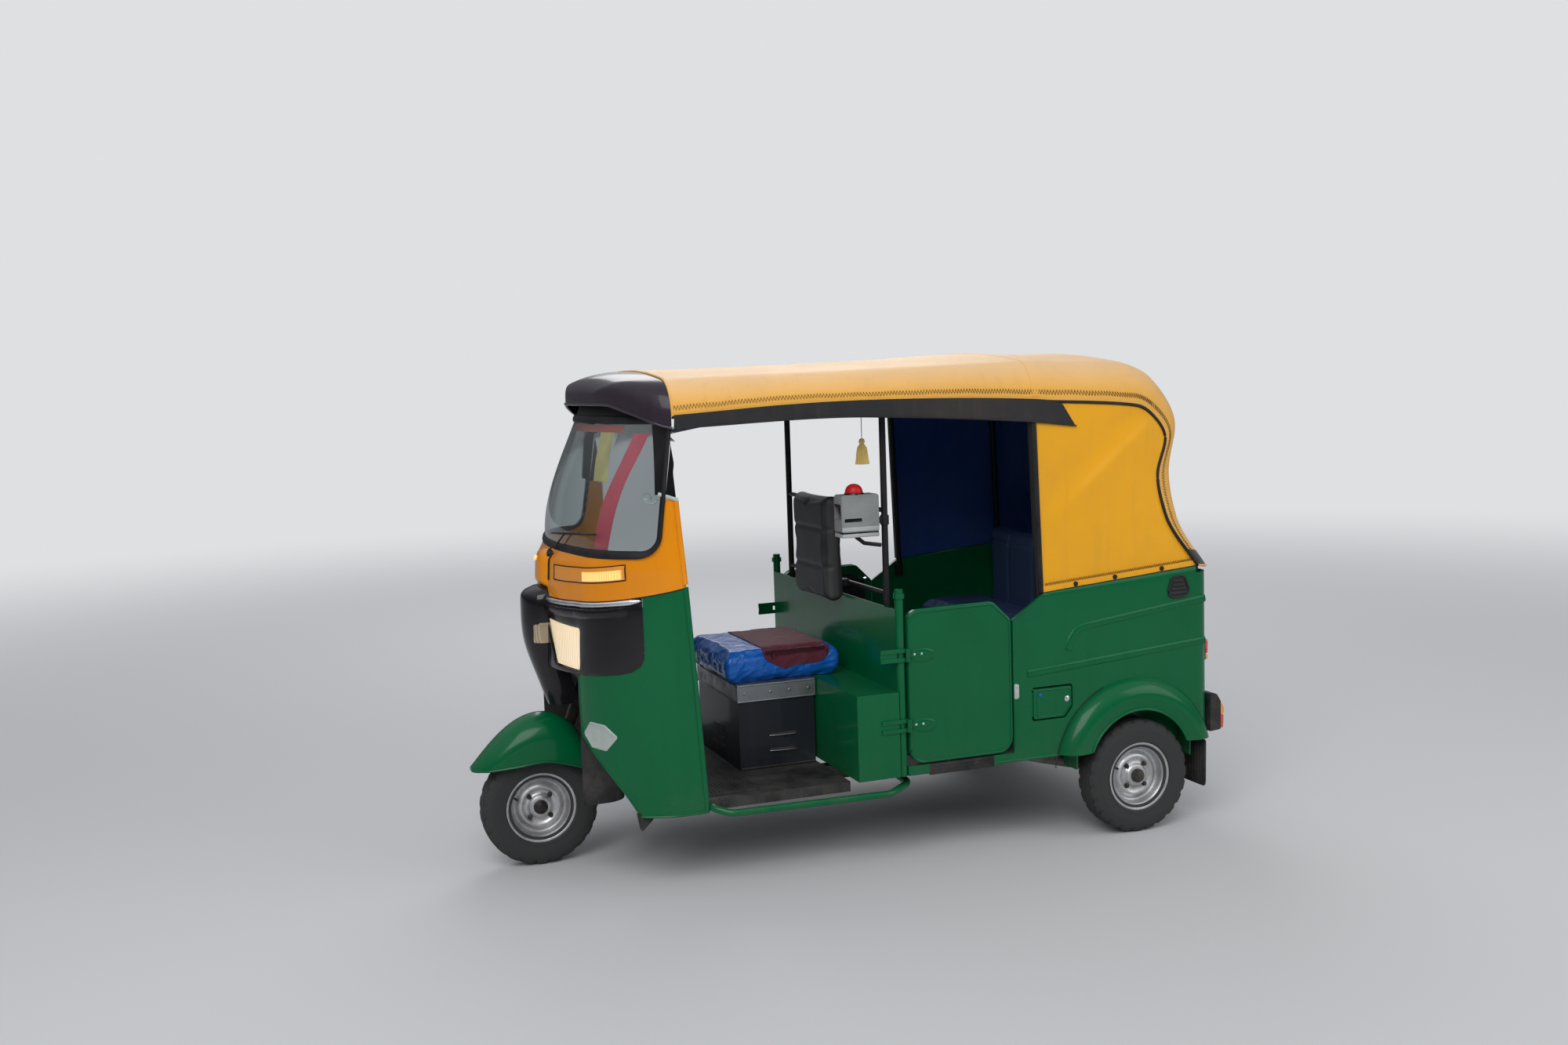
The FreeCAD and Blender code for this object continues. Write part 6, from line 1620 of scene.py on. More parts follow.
@dataclass
class HoodSurface:
    """The hood's outer skin: arched sections along its run, in millimetres."""

    # seam x and z, half width, crest x and z
    table: tuple = ((706, 1523, 540, 706, 1673), (235, 1545, 566, 235, 1684), (-198, 1543, 590, -198, 1692),
                    (-560, 1526, 592, -570, 1698), (-943, 1498, 593, -900, 1694),
                    (-1004, 1466, 592, -1052, 1640), (-1059, 1378, 591, -1172, 1452),
                    (-1026, 1250, 592, -1146, 1262), (-1056, 1113, 594, -1172, 1094),
                    (-1184, 924, 598, -1284, 906))
    shoulder: tuple = ((0.0, 0.0), (20.0, 0.46), (94.0, 0.80))
    turn: float = 0.66
    bows: tuple = (706.0, -540.0, -1010.0)
    sag: float = 7.0

    def __post_init__(self) -> None:
        """Measure the run along the crest."""
        self.knots = [0.0]
        for a, b in zip(self.table, self.table[1:]):
            self.knots.append(self.knots[-1] + math.hypot(b[3] - a[3], b[4] - a[4]) * 0.5
                              + math.hypot(b[0] - a[0], b[1] - a[1]) * 0.5)

    @property
    def length(self) -> float:
        """The whole run from the front edge to the hem."""
        return self.knots[-1]

    @property
    def back_start(self) -> float:
        """The run at which the roof's shoulder ends and the back curtain begins."""
        return self.knots[5]

    def section(self, run: float) -> list[float]:
        """The section's values at a distance along the run."""
        i = 0
        while i < len(self.knots) - 2 and run > self.knots[i + 1]:
            i += 1
        span = self.knots[i + 1] - self.knots[i]
        t = (run - self.knots[i]) / span
        result = []
        for a in range(5):
            p1, p2 = self.table[i][a], self.table[i + 1][a]
            slope = (p2 - p1) / span
            before = (p1 - self.table[i - 1][a]) / (self.knots[i] - self.knots[i - 1]) if i else slope
            after = ((self.table[i + 2][a] - p2) / (self.knots[i + 2] - self.knots[i + 1])
                     if i + 2 < len(self.knots) else slope)
            m1, m2 = self.tangent(before, slope) * span, self.tangent(slope, after) * span
            t2, t3 = t * t, t * t * t
            result.append((2 * t3 - 3 * t2 + 1) * p1 + (t3 - 2 * t2 + t) * m1 + (3 * t2 - 2 * t3) * p2
                          + (t3 - t2) * m2)
        return result

    def tangent(self, before: float, after: float) -> float:
        """A slope that doesn't overshoot between two spans."""
        if before * after <= 0:
            return 0.0
        return 2 * before * after / (before + after) if abs(before - after) > 1e-9 else before

    def point(self, run: float, across: float, inward: float = 0.0) -> Vector:
        """A point of the skin; across runs from 1 at the left seam over the crest to -1."""
        seam_x, seam_z, half, crest_x, crest_z = self.section(run)
        rise = Vector((crest_x - seam_x, 0, crest_z - seam_z))
        height = rise.length - inward
        rise.normalize()
        half -= inward
        right = [(half - inset, share * height) for inset, share in self.shoulder]
        side = abs(across)
        if side >= self.turn:
            y, up = arc_points(right[0], right[1], right[2], [(1 - side) / (1 - self.turn)])[0]
        else:
            y, up = arc_points(right[2], (0, height), (-right[2][0], right[2][1]),
                               [0.5 - 0.5 * side / self.turn])[0]
        here = Vector((seam_x, math.copysign(y, across) if across else y, seam_z)) + rise * up
        return here - rise * self.slack(here, run, across)

    def slack(self, here: Vector, run: float, across: float) -> float:
        """How far the cloth hangs below its tight form between the bows."""
        side = abs(across)
        if here.x > self.bows[1]:
            t = (self.bows[0] - here.x) / (self.bows[0] - self.bows[1])
        elif run < self.back_start:
            t = (run - self.knots[3]) / (self.back_start - self.knots[3])
        else:
            t = (run - self.back_start) / (self.length - self.back_start)
        belly = max(0.0, math.sin(math.pi * min(1.0, max(0.0, t))))
        flat = 1.0 - min(1.0, side / 0.95) ** 3
        crumple = 1.2 * wobble(here, 150.0, 5.0) + 0.6 * wobble(here, 60.0, 9.0)
        gather = 1.1 if side < 0.985 else 0.0
        pull = gather * math.sin(here.x / 21.0) * math.exp(-((1 - side) / 0.10) ** 2)
        return self.sag * belly * flat + crumple * (1 - side ** 8) + pull

    def run_at_x(self, x: float) -> float:
        """The run at which the seam reaches an x on the roof."""
        return halve(0.0, self.knots[4], 24, lambda run: self.section(run)[0] > x)

    def on_back(self, y: float, z: float, inward: float = 0.0) -> Vector:
        """The point of the back curtain at a y and a height."""
        run = halve(self.back_start, self.length, 22, lambda here: self.at_y(here, y, inward).z > z)
        return self.at_y(run, y, inward)

    def at_y(self, run: float, y: float, inward: float = 0.0) -> Vector:
        """The point at a run where the skin reaches a y."""
        across = halve(0.0, 1.0, 18,
                       lambda side: abs(self.point(run, math.copysign(side, y), inward).y) < abs(y))
        return self.point(run, math.copysign(across, y), inward)


def coons(bottom: Row, top: Row, left: Row, right: Row) -> list[Row]:
    """Fill four joined edges with a smooth grid.

    Args:
        bottom: points from the left to the right edge, at the foot.
        top: points from left to right, at the head.
        left: points from foot to head, on the left.
        right: points from foot to head, on the right.

    Returns:
        Rows of points from foot to head.
    """
    rows = []
    for i, (a, b) in enumerate(zip(left, right)):
        v = i / (len(left) - 1)
        row = []
        for j, (c, d) in enumerate(zip(bottom, top)):
            u = j / (len(bottom) - 1)
            flat = (bottom[0] * (1 - u) * (1 - v) + bottom[-1] * u * (1 - v) + top[0] * (1 - u) * v
                    + top[-1] * u * v)
            row.append(a * (1 - u) + b * u + c * (1 - v) + d * v - flat)
        rows.append(row)
    return rows


def mesh_area(piece: bpy.types.Object, thick: float) -> float:
    """Half the surface of a thin closed sheet in square metres, without its rim's share."""
    return sum(face.area for face in piece.data.polygons) / 2 - 0.5 * thick * MM * math.sqrt(
        sum(face.area for face in piece.data.polygons))


@dataclass
class Hood:
    """The folding hood: yellow cloth, blue lining, piping, thread, valances and the clear rear window."""

    skin: HoodSurface = field(default_factory=HoodSurface)
    cloth: float = 2.4
    side_y: float = 592.0
    # half width, foot, head and corner radius
    window: tuple = (285.0, 1130.0, 1330.0, 45.0)
    # x and z of the side cloth's foot in front and at the rear
    foot: tuple = ((-563.0, 877.0), (-1180.0, 925.0))
    seam: tuple = ((-943, 1496), (-1016, 1454), (-1057, 1378), (-1040, 1300), (-1024, 1236), (-1038, 1160),
                   (-1074, 1084), (-1128, 1004), (-1182, 926))
    heart: Point = (-250.0, 1250.0)
    sewn_on: dict = field(default_factory=dict)

    def build(self) -> None:
        """Build every piece of the hood."""
        self.hems()
        self.band()
        self.quarters()
        self.linings()
        self.piping()
        self.thread()
        self.valances()
        self.rear_window()

    def in_window(self, point: Vector, shrink: float = 0.0) -> bool:
        """Whether a point of the back lies in the window's opening."""
        half, low, high, _ = self.window
        return (point.x < -1000 and abs(point.y) < half - shrink and low + shrink < point.z < high - shrink)

    def rows(self, inward: float, step: float, wide: int) -> list[Row]:
        """Rows of the skin along its whole run."""
        count = int(self.skin.length / step) + 1
        return [[self.skin.point(self.skin.length * s, 1 - 2 * t, inward) for t in shares(wide)]
                for s in shares(count)]

    def band_form(self, inward: float, step: float, wide: int) -> Form:
        """The band over roof and back with the window left open."""
        form = Form().grid(self.rows(inward, step, wide))
        form.faces = [face for face in form.faces
                      if not self.in_window(sum((form.verts[i] for i in face), Vector()) / 4, 4.0)]
        return form

    def band(self) -> None:
        """The yellow band over the roof and down the back."""
        # The band's paler cloth is partly a painted highlight from the light above.
        piece = self.band_form(0.0, 13.0, 73).make("hood_band", Finishes.HOOD_FADED_AND_LIT,
                                                   replaces=("hood_roof", "hood_back"), thick=self.cloth,
                                                   away=self.heart)
        mesh_area(piece, self.cloth)
        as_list(self.sewn_on["band"])

    def seam_line(self, inward: float = 0.0, start: float = 0.0) -> Row:
        """The left seam from the roof's front edge to the hem."""
        length = self.skin.length
        return [self.skin.point(length * (start + (1 - start) * s), 1.0, inward)
                for s in shares(int(length / 12.0))]

    def crease(self, point: Vector) -> float:
        """How far the side cloth stands out at its diagonal fold and its small pulls."""
        a, b = Vector((-668, 1176)), Vector((-1030, 1470))
        run = b - a
        here = Vector((point.x, point.z)) - a
        t = here.dot(run) / run.length_squared
        side = here.x * run.y / run.length - here.y * run.x / run.length
        fade = max(0.0, min(1.0, (t + 0.25) * 2.2)) * max(0.0, min(1.0, (1.2 - t) * 2.5))
        fold = 15.0 * math.exp(-abs(side) / 26.0) if side > 0 else 15.0 * math.exp(side / 80.0)
        hollow = -7.0 * math.exp(-((side - 60.0) / 60.0) ** 2)
        ripple = 1.6 * wobble(Vector((point.x * 1.8 + point.z, 0, point.z - point.x)), 120.0, 2.0)
        return (fold + hollow) * fade + ripple

    def quarter_rows(self, inward: float, wide: int = 46, tall: int = 60) -> list[Row]:
        """The left quarter's cloth between the body, the seam and its front edge."""
        y = self.side_y - inward
        front = [Vector((-560, y, 876)), Vector((-553, y, 1110)), Vector((-540, y, 1524))]
        end = [Vector((x, y, z)) for x, z in self.seam]
        top = [Vector((-540, y, 1524)), Vector((-740, y, 1512)), Vector((-943, y, 1496))]
        foot = [Vector((-560, y, 876)), Vector((-870, y, 902)), Vector((-1182, y, 926))]
        grid = coons(even(catmull(foot, 10.0), wide), even(catmull(top, 10.0), wide),
                     even(catmull(front, 10.0), tall), even(catmull(end[::-1], 10.0), tall))
        for i, row in enumerate(grid):
            for j, point in enumerate(row):
                rim = min(i, tall - 1 - i, j, wide - 1 - j) / 7.0
                point.y += (self.crease(point) + 2.0) * min(1.0, rim) ** 1.4
        return grid

    def foot_at(self, share: float) -> Point:
        """The x and z of the side cloth's foot, from 0 in front to 1 at the rear."""
        (x0, z0), (x1, z1) = self.foot
        return x0 + (x1 - x0) * share, z0 + (z1 - z0) * share

    def quarters(self) -> None:
        """The yellow side cloths behind the doors."""
        for name, node, flip in (("quarter_left", "hood_quarter_left", 1),
                                 ("quarter_right", "hood_quarter_right", -1)):
            rows = [[flipped(p, flip) for p in row] for row in self.quarter_rows(self.cloth / 2)]
            piece = Form().grid(rows).make(name, Finishes.HOOD, replaces=(node,), thick=self.cloth, away=None)
            mesh_area(piece, self.cloth)
            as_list(self.sewn_on[name])

    def linings(self) -> None:
        """The blue lining under the yellow cloth."""
        piece = self.band_form(7.0, 40.0, 37).make("hood_lining", Finishes.LINING, thick=1.0, away=self.heart)
        mesh_area(piece, 1.0)
        for name, flip in (("left", 1), ("right", -1)):
            rows = [[flipped(p, flip) for p in row] for row in self.quarter_rows(8.0, 24, 30)]
            piece = Form().grid(rows).make(f"quarter_lining_{name}", Finishes.LINING, thick=1.0)
            mesh_area(piece, 1.0)

    def piping(self) -> None:
        """Black piping on the side seams and the quarters' front edges."""
        form = Form()
        path = [v + Vector((0, 1.5, 0)) for v in self.seam_line(2.0)]
        form.tube(path, 5.6, 10)
        front = catmull([Vector((-560, self.side_y, 876)), Vector((-553, self.side_y, 1110)),
                         Vector((-541, self.side_y, 1516))], 16.0)
        form.tube(front, 6.5, 10)
        form.tube([v + Vector((7, -1, 0)) for v in front], 4.5, 8)
        form.tube([Vector((x, self.side_y + 2.4, z - 2)) for x, z in map(self.foot_at, shares(40))], 2.6, 8)
        form.mirrored().make("hood_piping", Finishes.PIPING)

    def thread(self) -> None:
        """Zigzag thread above the side seams and the hem."""
        stitch, length, y = 5.2, self.skin.length, self.side_y + 3.6
        seam = [self.skin.point(length * s, 0.955 if i % 2 else 0.925, -0.9)
                for i, s in enumerate(shares(int(length / stitch)))]
        hem = [Vector((-572 - 590 * s, y, 900 + 43 * s + (8 if i % 2 else 0)))
               for i, s in enumerate(shares(122))]
        Form().tube(seam, 1.5, 4).tube(hem, 1.7, 4).mirrored().make("hood_thread", Finishes.THREAD)

    def hems(self) -> None:
        """Rolled front and rear edges, the lap seams over the bows, the lower band and its studs."""
        form = Form()
        form.tube([self.skin.point(3.0, 1 - 2 * s, 1.0) for s in shares(80)], 4.6, 8)
        form.tube([self.skin.point(self.skin.length - 3, 1 - 2 * s, 1.0) for s in shares(80)], 4.6, 8)
        for run, lap in ((self.skin.run_at_x(-548.0),
                          ((-16, -1.5), (-14, 1.2), (0, 1.7), (14, 1.2), (16, -1.5))),
                         (self.skin.back_start, ((-14, -1.5), (-12, 1.0), (12, 1.0), (14, -1.5)))):
            form.grid([[self.skin.point(run + d, 0.97 - 1.94 * s, -h) for s in shares(70)] for d, h in lap])
        laps = form.make("hood_laps", Finishes.HOOD_FADED_AND_LIT)
        length = self.skin.length
        form = Form().grid([[self.skin.point(length - back, 0.985 - 1.97 * s, -proud) for s in shares(70)]
                            for back, proud in ((76, -1.0), (74, 1.6), (40, 1.9), (8, 1.9), (3, -0.5))])
        self.sewn_on["band"] = [laps, form.make("hood_foot_band", Finishes.BLACK_CANVAS)]
        y = self.side_y + 1.2
        band = []
        for s in shares(50):
            x, foot = self.foot_at(s)
            lift = 0.8 * math.sin(s * 23) + 0.6 * math.sin(s * 41 + 1)
            band.append([Vector((x, y - 3, foot - 1)), Vector((x, y + 1.6 + lift * 0.4, foot)),
                         Vector((x, y + 2.6, foot + 10)), Vector((x, y + 1.8, foot + 19)),
                         Vector((x, y - 3, foot + 20))])
        for side, flip in (("left", 1), ("right", -1)):
            rows = [[flipped(p, flip) for p in row] for row in band]
            hem = Form().grid(rows).make(f"hood_hem_{side}", Finishes.HOOD, thick=1.0)
            self.sewn_on[f"quarter_{side}"] = [hem]
        form = Form()
        for x, z in ((-690, 897), (-846, 909), (-1036, 924)):
            form.knob(Vector((x, y + 1.5, z)), LEFT, 8.5, 5.0, 14)
        form.mirrored()
        for y_back in (-420, -210, 0, 210, 420):
            spot = self.skin.on_back(y_back, 924.0)
            form.knob(spot + Vector((2, 0, 0)), Vector((-1, 0, 0.1)), 7.0, 6.0, 14)
        form.make("hood_studs", Finishes.RUBBER)

    def seam_y(self, x: float) -> float:
        """How far out the valance hangs at an x: narrow in front, full width over the rear seat."""
        return 547 + 52 * min(1.0, max(0.0, (700 - x) / 900.0)) ** 0.8

    def valances(self) -> None:
        """The black strips that hang under the side seams."""
        top = ((700, 1530), (235, 1552), (-198, 1550), (-560, 1533), (-648, 1514))
        low = ((703, 1486), (236, 1500), (-55, 1491), (-487, 1461), (-700, 1436))
        heads = along(catmull_flat(top), 120)
        feet = along(catmull_flat(low), 120)
        for name, flip in (("valance_left", 1), ("valance_right", -1)):
            rows = []
            for a, b in zip(heads, feet):
                row = []
                for t in shares(9):
                    x, z = a[0] + (b[0] - a[0]) * t, a[1] + (b[1] - a[1]) * t
                    y = self.seam_y(x) + 1.4 * t * math.sin(x / 47.0)
                    y += 0.8 * t * wobble(Vector((x, 0, z)), 80.0, 4.0)
                    row.append(Vector((x, flip * y, z)))
                rows.append(row)
            piece = Form().grid(rows).make(name, Finishes.BLACK_CANVAS,
                                           replaces=("side_valances",) if flip == 1 else (), thick=2.4)
            mesh_area(piece, 2.4)
        form = Form()
        form.tube([Vector((x, self.seam_y(x) + 1.0, z + 2)) for x, z in feet], 2.6, 8)
        form.mirrored().make("valance_hems", Finishes.PIPING)

    def rear_window(self) -> None:
        """The clear sheet in the back curtain with its sewn border."""
        half, low, high, corner = self.window
        rows = [[self.skin.on_back(-(half + 6) + 2 * (half + 6) * t, low - 6 + (high - low + 12) * s, 3.0)
                 for t in shares(26)] for s in shares(14)]
        Form().grid(rows).make("rear_window_sheet", Finishes.SOFT_GLASS, replaces=("rear_window",), thick=0.9,
                               away=self.heart)
        outline = rounded_outline([(-half, low), (half, low), (half, high), (-half, high)], corner, 8)
        outline = along(outline + outline[:1], 140)[:-1]
        rows = []
        for grow, inward in ((-9, 1.5), (-8, -1.2), (8, -1.6), (10, 0.5)):
            row = []
            for y, z in outline:
                out = Vector((y / half, (z - (low + high) / 2) / ((high - low) / 2)))
                row.append(self.skin.on_back(y + grow * max(-1.0, min(1.0, out.x)),
                                             z + grow * max(-1.0, min(1.0, out.y)), inward))
            rows.append(row)
        Form().grid(rows, closed=True).make("window_border", Finishes.BLACK_CANVAS, thick=1.0,
                                            away=self.heart)


def catmull_flat(points: Sequence[Point], step: float = 12.0) -> list[Point]:
    """A smooth flat curve through (x, z) points."""
    return [(v.x, v.z) for v in catmull([Vector((x, 0, z)) for x, z in points], step)]


# Wheels


@dataclass
class Wheels:
    """Tyres with tread, and pressed rims with hub caps and nuts, in millimetres."""

    height: float = 200.0
    segments: int = 240
    places: tuple = (("front", 1080, 0, 1, Body.FRONT_WHEEL),
                     ("rear_left", -920, 577, 1, Body.REAR_LEFT_WHEEL),
                     ("rear_right", -920, -577, -1, Body.REAR_RIGHT_WHEEL))
    # radius, distance from the middle plane, depth of the cross cuts, sway of the grooves
    tyre: tuple = ((101.6, 34, 0, 0), (104, 39, 0, 0), (112, 41.6, 0, 0), (119, 43, 0, 0), (121.5, 45, 0, 0),
                   (124.4, 48.6, 0, 0), (128.6, 49.6, 0, 0), (130, 48.4, 0, 0), (141, 49.8, 0, 0),
                   (154, 50.8, 0, 0), (160, 51, 0, 0), (161.2, 50, 0, 0), (163.4, 50, 0, 0),
                   (164.6, 50.6, 0, 0), (173, 49, 0, 0), (180, 47.2, 0, 0), (183, 46.4, 2.5, 0),
                   (191, 42.6, 5, 0), (196, 38, 5, 0), (198, 34.6, 5, 0), (198.2, 33.8, 5, 0.8),
                   (192.5, 32.8, 0, 0.8), (192.5, 29.6, 0, 0.8), (198.8, 28.6, 1.6, 0.8), (199.5, 20, 1.6, 0),
                   (199.7, 12.4, 1.6, 0.8), (193, 11.4, 0, 0.8), (193, 8.2, 0, 0.8), (199.9, 7.2, 1.6, 0.8),
                   (200, 3, 0, 0))
    rim: tuple = ((101.6, -33), (104, -36), (112, -39), (115, -41), (113, -41.6), (107, -38.6), (100.6, -35),
                  (98.4, -30), (98.4, -6), (92, -2), (86, -1), (80, 5), (72, 12), (64, 14), (52, 9), (42, 11),
                  (36, 18), (12, 18), (12, 29), (33, 29), (37.5, 26.5), (41, 19), (46, 14.6), (55, 14.2),
                  (60, 18.4), (65.5, 21.6), (71, 20.2), (77.5, 12.6), (83, 6.6), (88, 5), (92.4, 7.4),
                  (95.6, 15), (97.4, 27), (99.6, 34), (106, 38), (113, 42), (118.4, 45), (120, 44.4),
                  (118, 42.4), (110, 39.4), (104, 36), (101.6, 33))

    def build(self) -> None:
        """Build the three wheels."""
        for name, x, y, out, body in self.places:
            centre = Vector((x, y, self.height))
            self.tread(name, centre, body)
            self.disc(name, centre, out, body)

    def tread(self, name: str, centre: Vector, body: Body) -> None:
        """The tyre: sidewall rings, zigzag grooves and cross cuts at the shoulders."""
        profile = [(r, -y, cut, sway) for r, y, cut, sway in self.tyre] + list(reversed(self.tyre))
        rows = []
        for k, a in enumerate(turns(self.segments)):
            zig = abs(k % 12 - 6) - 3
            row = []
            for r, y, cut, sway in profile:
                notch = cut if (k + (5 if y > 0 else 0)) % 10 < 3 else 0.0
                row.append(centre + Vector((math.cos(a) * (r - notch), y + sway * zig * 0.5,
                                            math.sin(a) * (r - notch))))
            rows.append(row)
        Form().grid(rows, closed=True, wrap=True).make(f"tread_{name}", Finishes.TYRE, body,
                                                       (f"tyre_{name}",), sharp=30)

    def disc(self, name: str, centre: Vector, out: int, body: Body) -> None:
        """The rim's barrel and stepped disc, its cap, nuts and valve."""
        axis = Vector((0, out, 0))
        Form().lathe(self.rim, centre, axis, 96).make(f"disc_{name}", Finishes.SILVER, body, (f"rim_{name}",),
                                                      sharp=50)
        profile = ((22, 26), (24.5, 29), (24, 37), (20, 40), (18.5, 46), (13, 49.4), (5, 50.4), (0.2, 50.6))
        cap = Form().lathe(profile, centre, axis, 40, closed=False)
        for k in range(4):
            a = math.radians(45 + 90 * k)
            spoke = Vector((math.cos(a), 0, math.sin(a)))
            cap.knob(centre + spoke * 50.5 + axis * 13.6, axis, 8.6, 3.0, 20, 0.1)
            cap.knob(centre + spoke * 50.5 + axis * 16, axis, 7.4, 10.0, 6, 0.25)
        cap.make(f"hub_cap_{name}", Finishes.DARK_STEEL, body)
        spoke = Vector((math.cos(0.4), 0, math.sin(0.4)))
        Form().tube([centre + spoke * 96 + axis * 12, centre + spoke * 90 + axis * 20,
                     centre + spoke * 86 + axis * 32],
                    3.6, 10).make(f"valve_{name}", Finishes.RUBBER, body)


# Rear body


def flat_loop(points: Sequence[Point], axis: int, depth: float, radii: float | Sequence[float] = 0.0) -> Row:
    """Points of a rounded outline at one depth along an axis."""
    return [in_plane(pair, axis, depth) for pair in rounded_outline(points, radii)]


def louvre(form: Form, start: Vector, run: Vector, out: Vector, drop: float = 12.0,
           proud: float = 5.0) -> None:
    """Add a pressed louvre: a hood along a run, open below."""
    rows = []
    for s in shares(14):
        fade = math.sqrt(max(0.0, 1 - (2 * s - 1) ** 8))
        here = start + run * s
        lip = here + out * (proud * fade)
        rows.append([here - out, here + out * (proud * 0.7 * fade), lip - UP * (drop * 0.35),
                     lip - UP * (drop * 0.75 * fade), here - out - UP * (drop * 0.8 * fade)])
    form.capped(rows)


@dataclass
class RearBody:
    """The pressed rear body's edges, vents, lamps, lid, bumper and flaps."""

    rear_x: float = -1237.0
    fender: Point = (-914.0, 236.0)

    def build(self) -> None:
        """Build every piece of the rear body."""
        self.edges()
        self.side_fittings()
        self.lid()
        self.lamps()
        self.bumper()
        self.mudflaps()

    def arch(self, radius: float, y: float, start: float, end: float, count: int) -> Row:
        """Points of an arc over the rear wheel between two angles in degrees."""
        x, z = self.fender
        return [Vector((x + radius * math.cos(a), y, z + radius * math.sin(a)))
                for a in (math.radians(start + (end - start) * s) for s in shares(count))]

    def edges(self) -> None:
        """The raised flange under the hood's hem, and rolled edges at the door, fender and foot."""
        form, rows = Form(), []
        for s in shares(30):
            x, head, foot = -562 - 612 * s, 875 + 47 * s, 870 + 28 * s
            lip = ((589, foot - 8), (600.6, foot - 8), (600.6, head - 5), (599, head - 1), (595, head),
                   (591, head - 2), (589, head - 8))
            rows.append([Vector((x, y, z)) for y, z in lip])
        form.capped(rows)
        form.tube(flat_loop([(-443, 352), (-443, 788), (-561, 870), (-575, 868), (-575, 866)], 1, 598.6,
                            (0, 16, 8, 0, 0)),
                  3.6, 8)
        form.tube(self.arch(207, 640.5, 22, 158, 50), 5.0, 10)
        form.tube([Vector((-44, 598.6, 310)), Vector((-440, 598.6, 310)), Vector((-608, 598.6, 310))], 3.4, 8)
        swages = (((-495, 602), (-1212, 655)),
                  ((-652, 672), (-666, 705), (-690, 735), (-722, 746), (-800, 757), (-1170, 801),
                   (-1212, 806)))
        for path in swages:
            curve = catmull([Vector((x, 599.6, z)) for x, z in path], 12.0)
            form.tube(curve, 13.0, 16, flat=0.30, up=LEFT)
        form.mirrored().make("body_edges", Finishes.GREEN)
        # A dark rubber line along the fender's front root: a painted shadow under the fender's bulge.
        seam = self.arch(317, 600.6, 5, 67, 40)
        Form().tube(seam, 1.8, 8).mirrored().make("fender_painted_shadows", Finishes.RUBBER)
        dress_node("rear_suspension", Finishes.DUSTY_STEEL)
        form, rows = Form(), []
        for s in shares(34):
            y = -560 + 1120 * s
            x = -1231 + 24 * max(0.0, (abs(y) - 520) / 40) ** 2
            head = 922 if abs(y) < 540 else 923
            lip = ((6, 892), (-5.4, 892), (-5.4, head - 5), (-3, head), (3, head), (6, head - 6))
            rows.append([Vector((x + dx, y, z)) for dx, z in lip])
        form.capped(rows)
        form.make("tail_flange", Finishes.GREEN)

    def side_fittings(self) -> None:
        """Vents, sill plates, door strikers, and the service flap's bead, lock and blue button."""
        form = Form()
        outline = [(-1074, 890), (-1124, 894), (-1152, 823), (-1050, 815)]
        form.prism(rounded_outline(outline, (16, 16, 22, 22)), 1, 596, 602.5)
        form.tube(flat_loop(outline, 1, 602.5, (16, 16, 22, 22)), 4.0, 8, closed=True)
        for z in (834, 848, 862, 876):
            louvre(form, Vector((-1076 + (876 - z) * 0.34, 602, z + 4)),
                   Vector((-50 + (z - 876) * 0.6, 0, 0.5)), LEFT, 11, 3.6)
        form.mirrored().make("side_vents", Finishes.MATT_BLACK, bevel=0.8)
        form = Form()
        form.box((-362, -120), (590, 602.6), (298, 336))
        form.make("sill_plate_left", Finishes.RUBBER, bevel=3.0)
        Form().box((-362, -120), (-602.6, -590), (298, 336)).make("sill_plate_right", Finishes.RUBBER,
                                                                  bevel=3.0)
        form = Form()
        for z in (307, 317, 327):
            form.tube([Vector((-354, 602.2, z)), Vector((-128, 602.2, z))], 1.8, 8)
        for x in (-350, -132):
            form.knob(Vector((x, 602, 331)), LEFT, 4.5, 3.0)
        form.mirrored().make("sill_ribs", Finishes.RUBBER)
        form = Form()
        form.prism(rounded_outline([(-442, 520), (-442, 574), (-460, 571), (-460, 523)], 5), 1, 598, 603.4)
        for z in (530, 563):
            form.knob(Vector((-451, 603, z)), LEFT, 4.0, 2.6)
        form.mirrored().make("door_strikers", Finishes.PALE_BADGE, bevel=1.2)
        form = Form()
        form.tube(flat_loop([(-528, 449), (-528, 541), (-660, 541), (-660, 484), (-629, 449)], 1, 601.8,
                            (12, 12, 12, 10, 10)),
                  2.6, 8, closed=True)
        form.make("flap_bead", Finishes.GREEN, Body.FLAP)
        lock = Form().knob(Vector((-645, 600, 503)), LEFT, 10, 6, 20)
        lock.knob(Vector((-645, 605, 503)), LEFT, 5, 4, 6).make("flap_lock", Finishes.CHROME, Body.FLAP)
        button = Form().knob(Vector((-541, 600, 526)), LEFT, 6.5, 5, 16, 0.6)
        button.make("flap_button", Finishes.BLUE_SHEET, Body.FLAP)

    def lid(self) -> None:
        """Louvres, a bead, a handle and a blank plate on the engine lid."""
        form, out = Form(), REAR
        for side in (-180, 180):
            for k in range(7):
                louvre(form, Vector((-1242.6, side - 98, 469 + 26 * k)), Vector((0, 196, 0)), out, 15, 6)
        outline = [(-318, 408), (318, 408), (318, 776), (-318, 776)]
        form.tube(flat_loop(outline, 0, -1242.4, 30), 3.4, 8, closed=True)
        form.make("lid_pressings", Finishes.GREEN, Body.LID)
        form = Form()
        form.lathe([(0.2, 12), (9, 12), (13, 9), (15, 2), (15, -2)], Vector((-1243, 0, 430)), out, 28,
                   closed=False)
        form.tube([Vector((-1251, -26, 430)), Vector((-1256, -12, 430)), Vector((-1256, 12, 430)),
                   Vector((-1251, 26, 430))],
                  5, 10, flat=0.7)
        for side in (-180, 180):
            form.knob(Vector((-1241, side, 772)), out, 6, 5, 6)
        form.make("lid_handle", Finishes.CHROME, Body.LID)
        form = Form()
        form.prism(rounded_outline([(-150, 694), (150, 694), (150, 756), (-150, 756)], 9), 0, -1247, -1242)
        form.make("blank_plate", Finishes.PALE_BADGE, Body.LID, bevel=1.4)

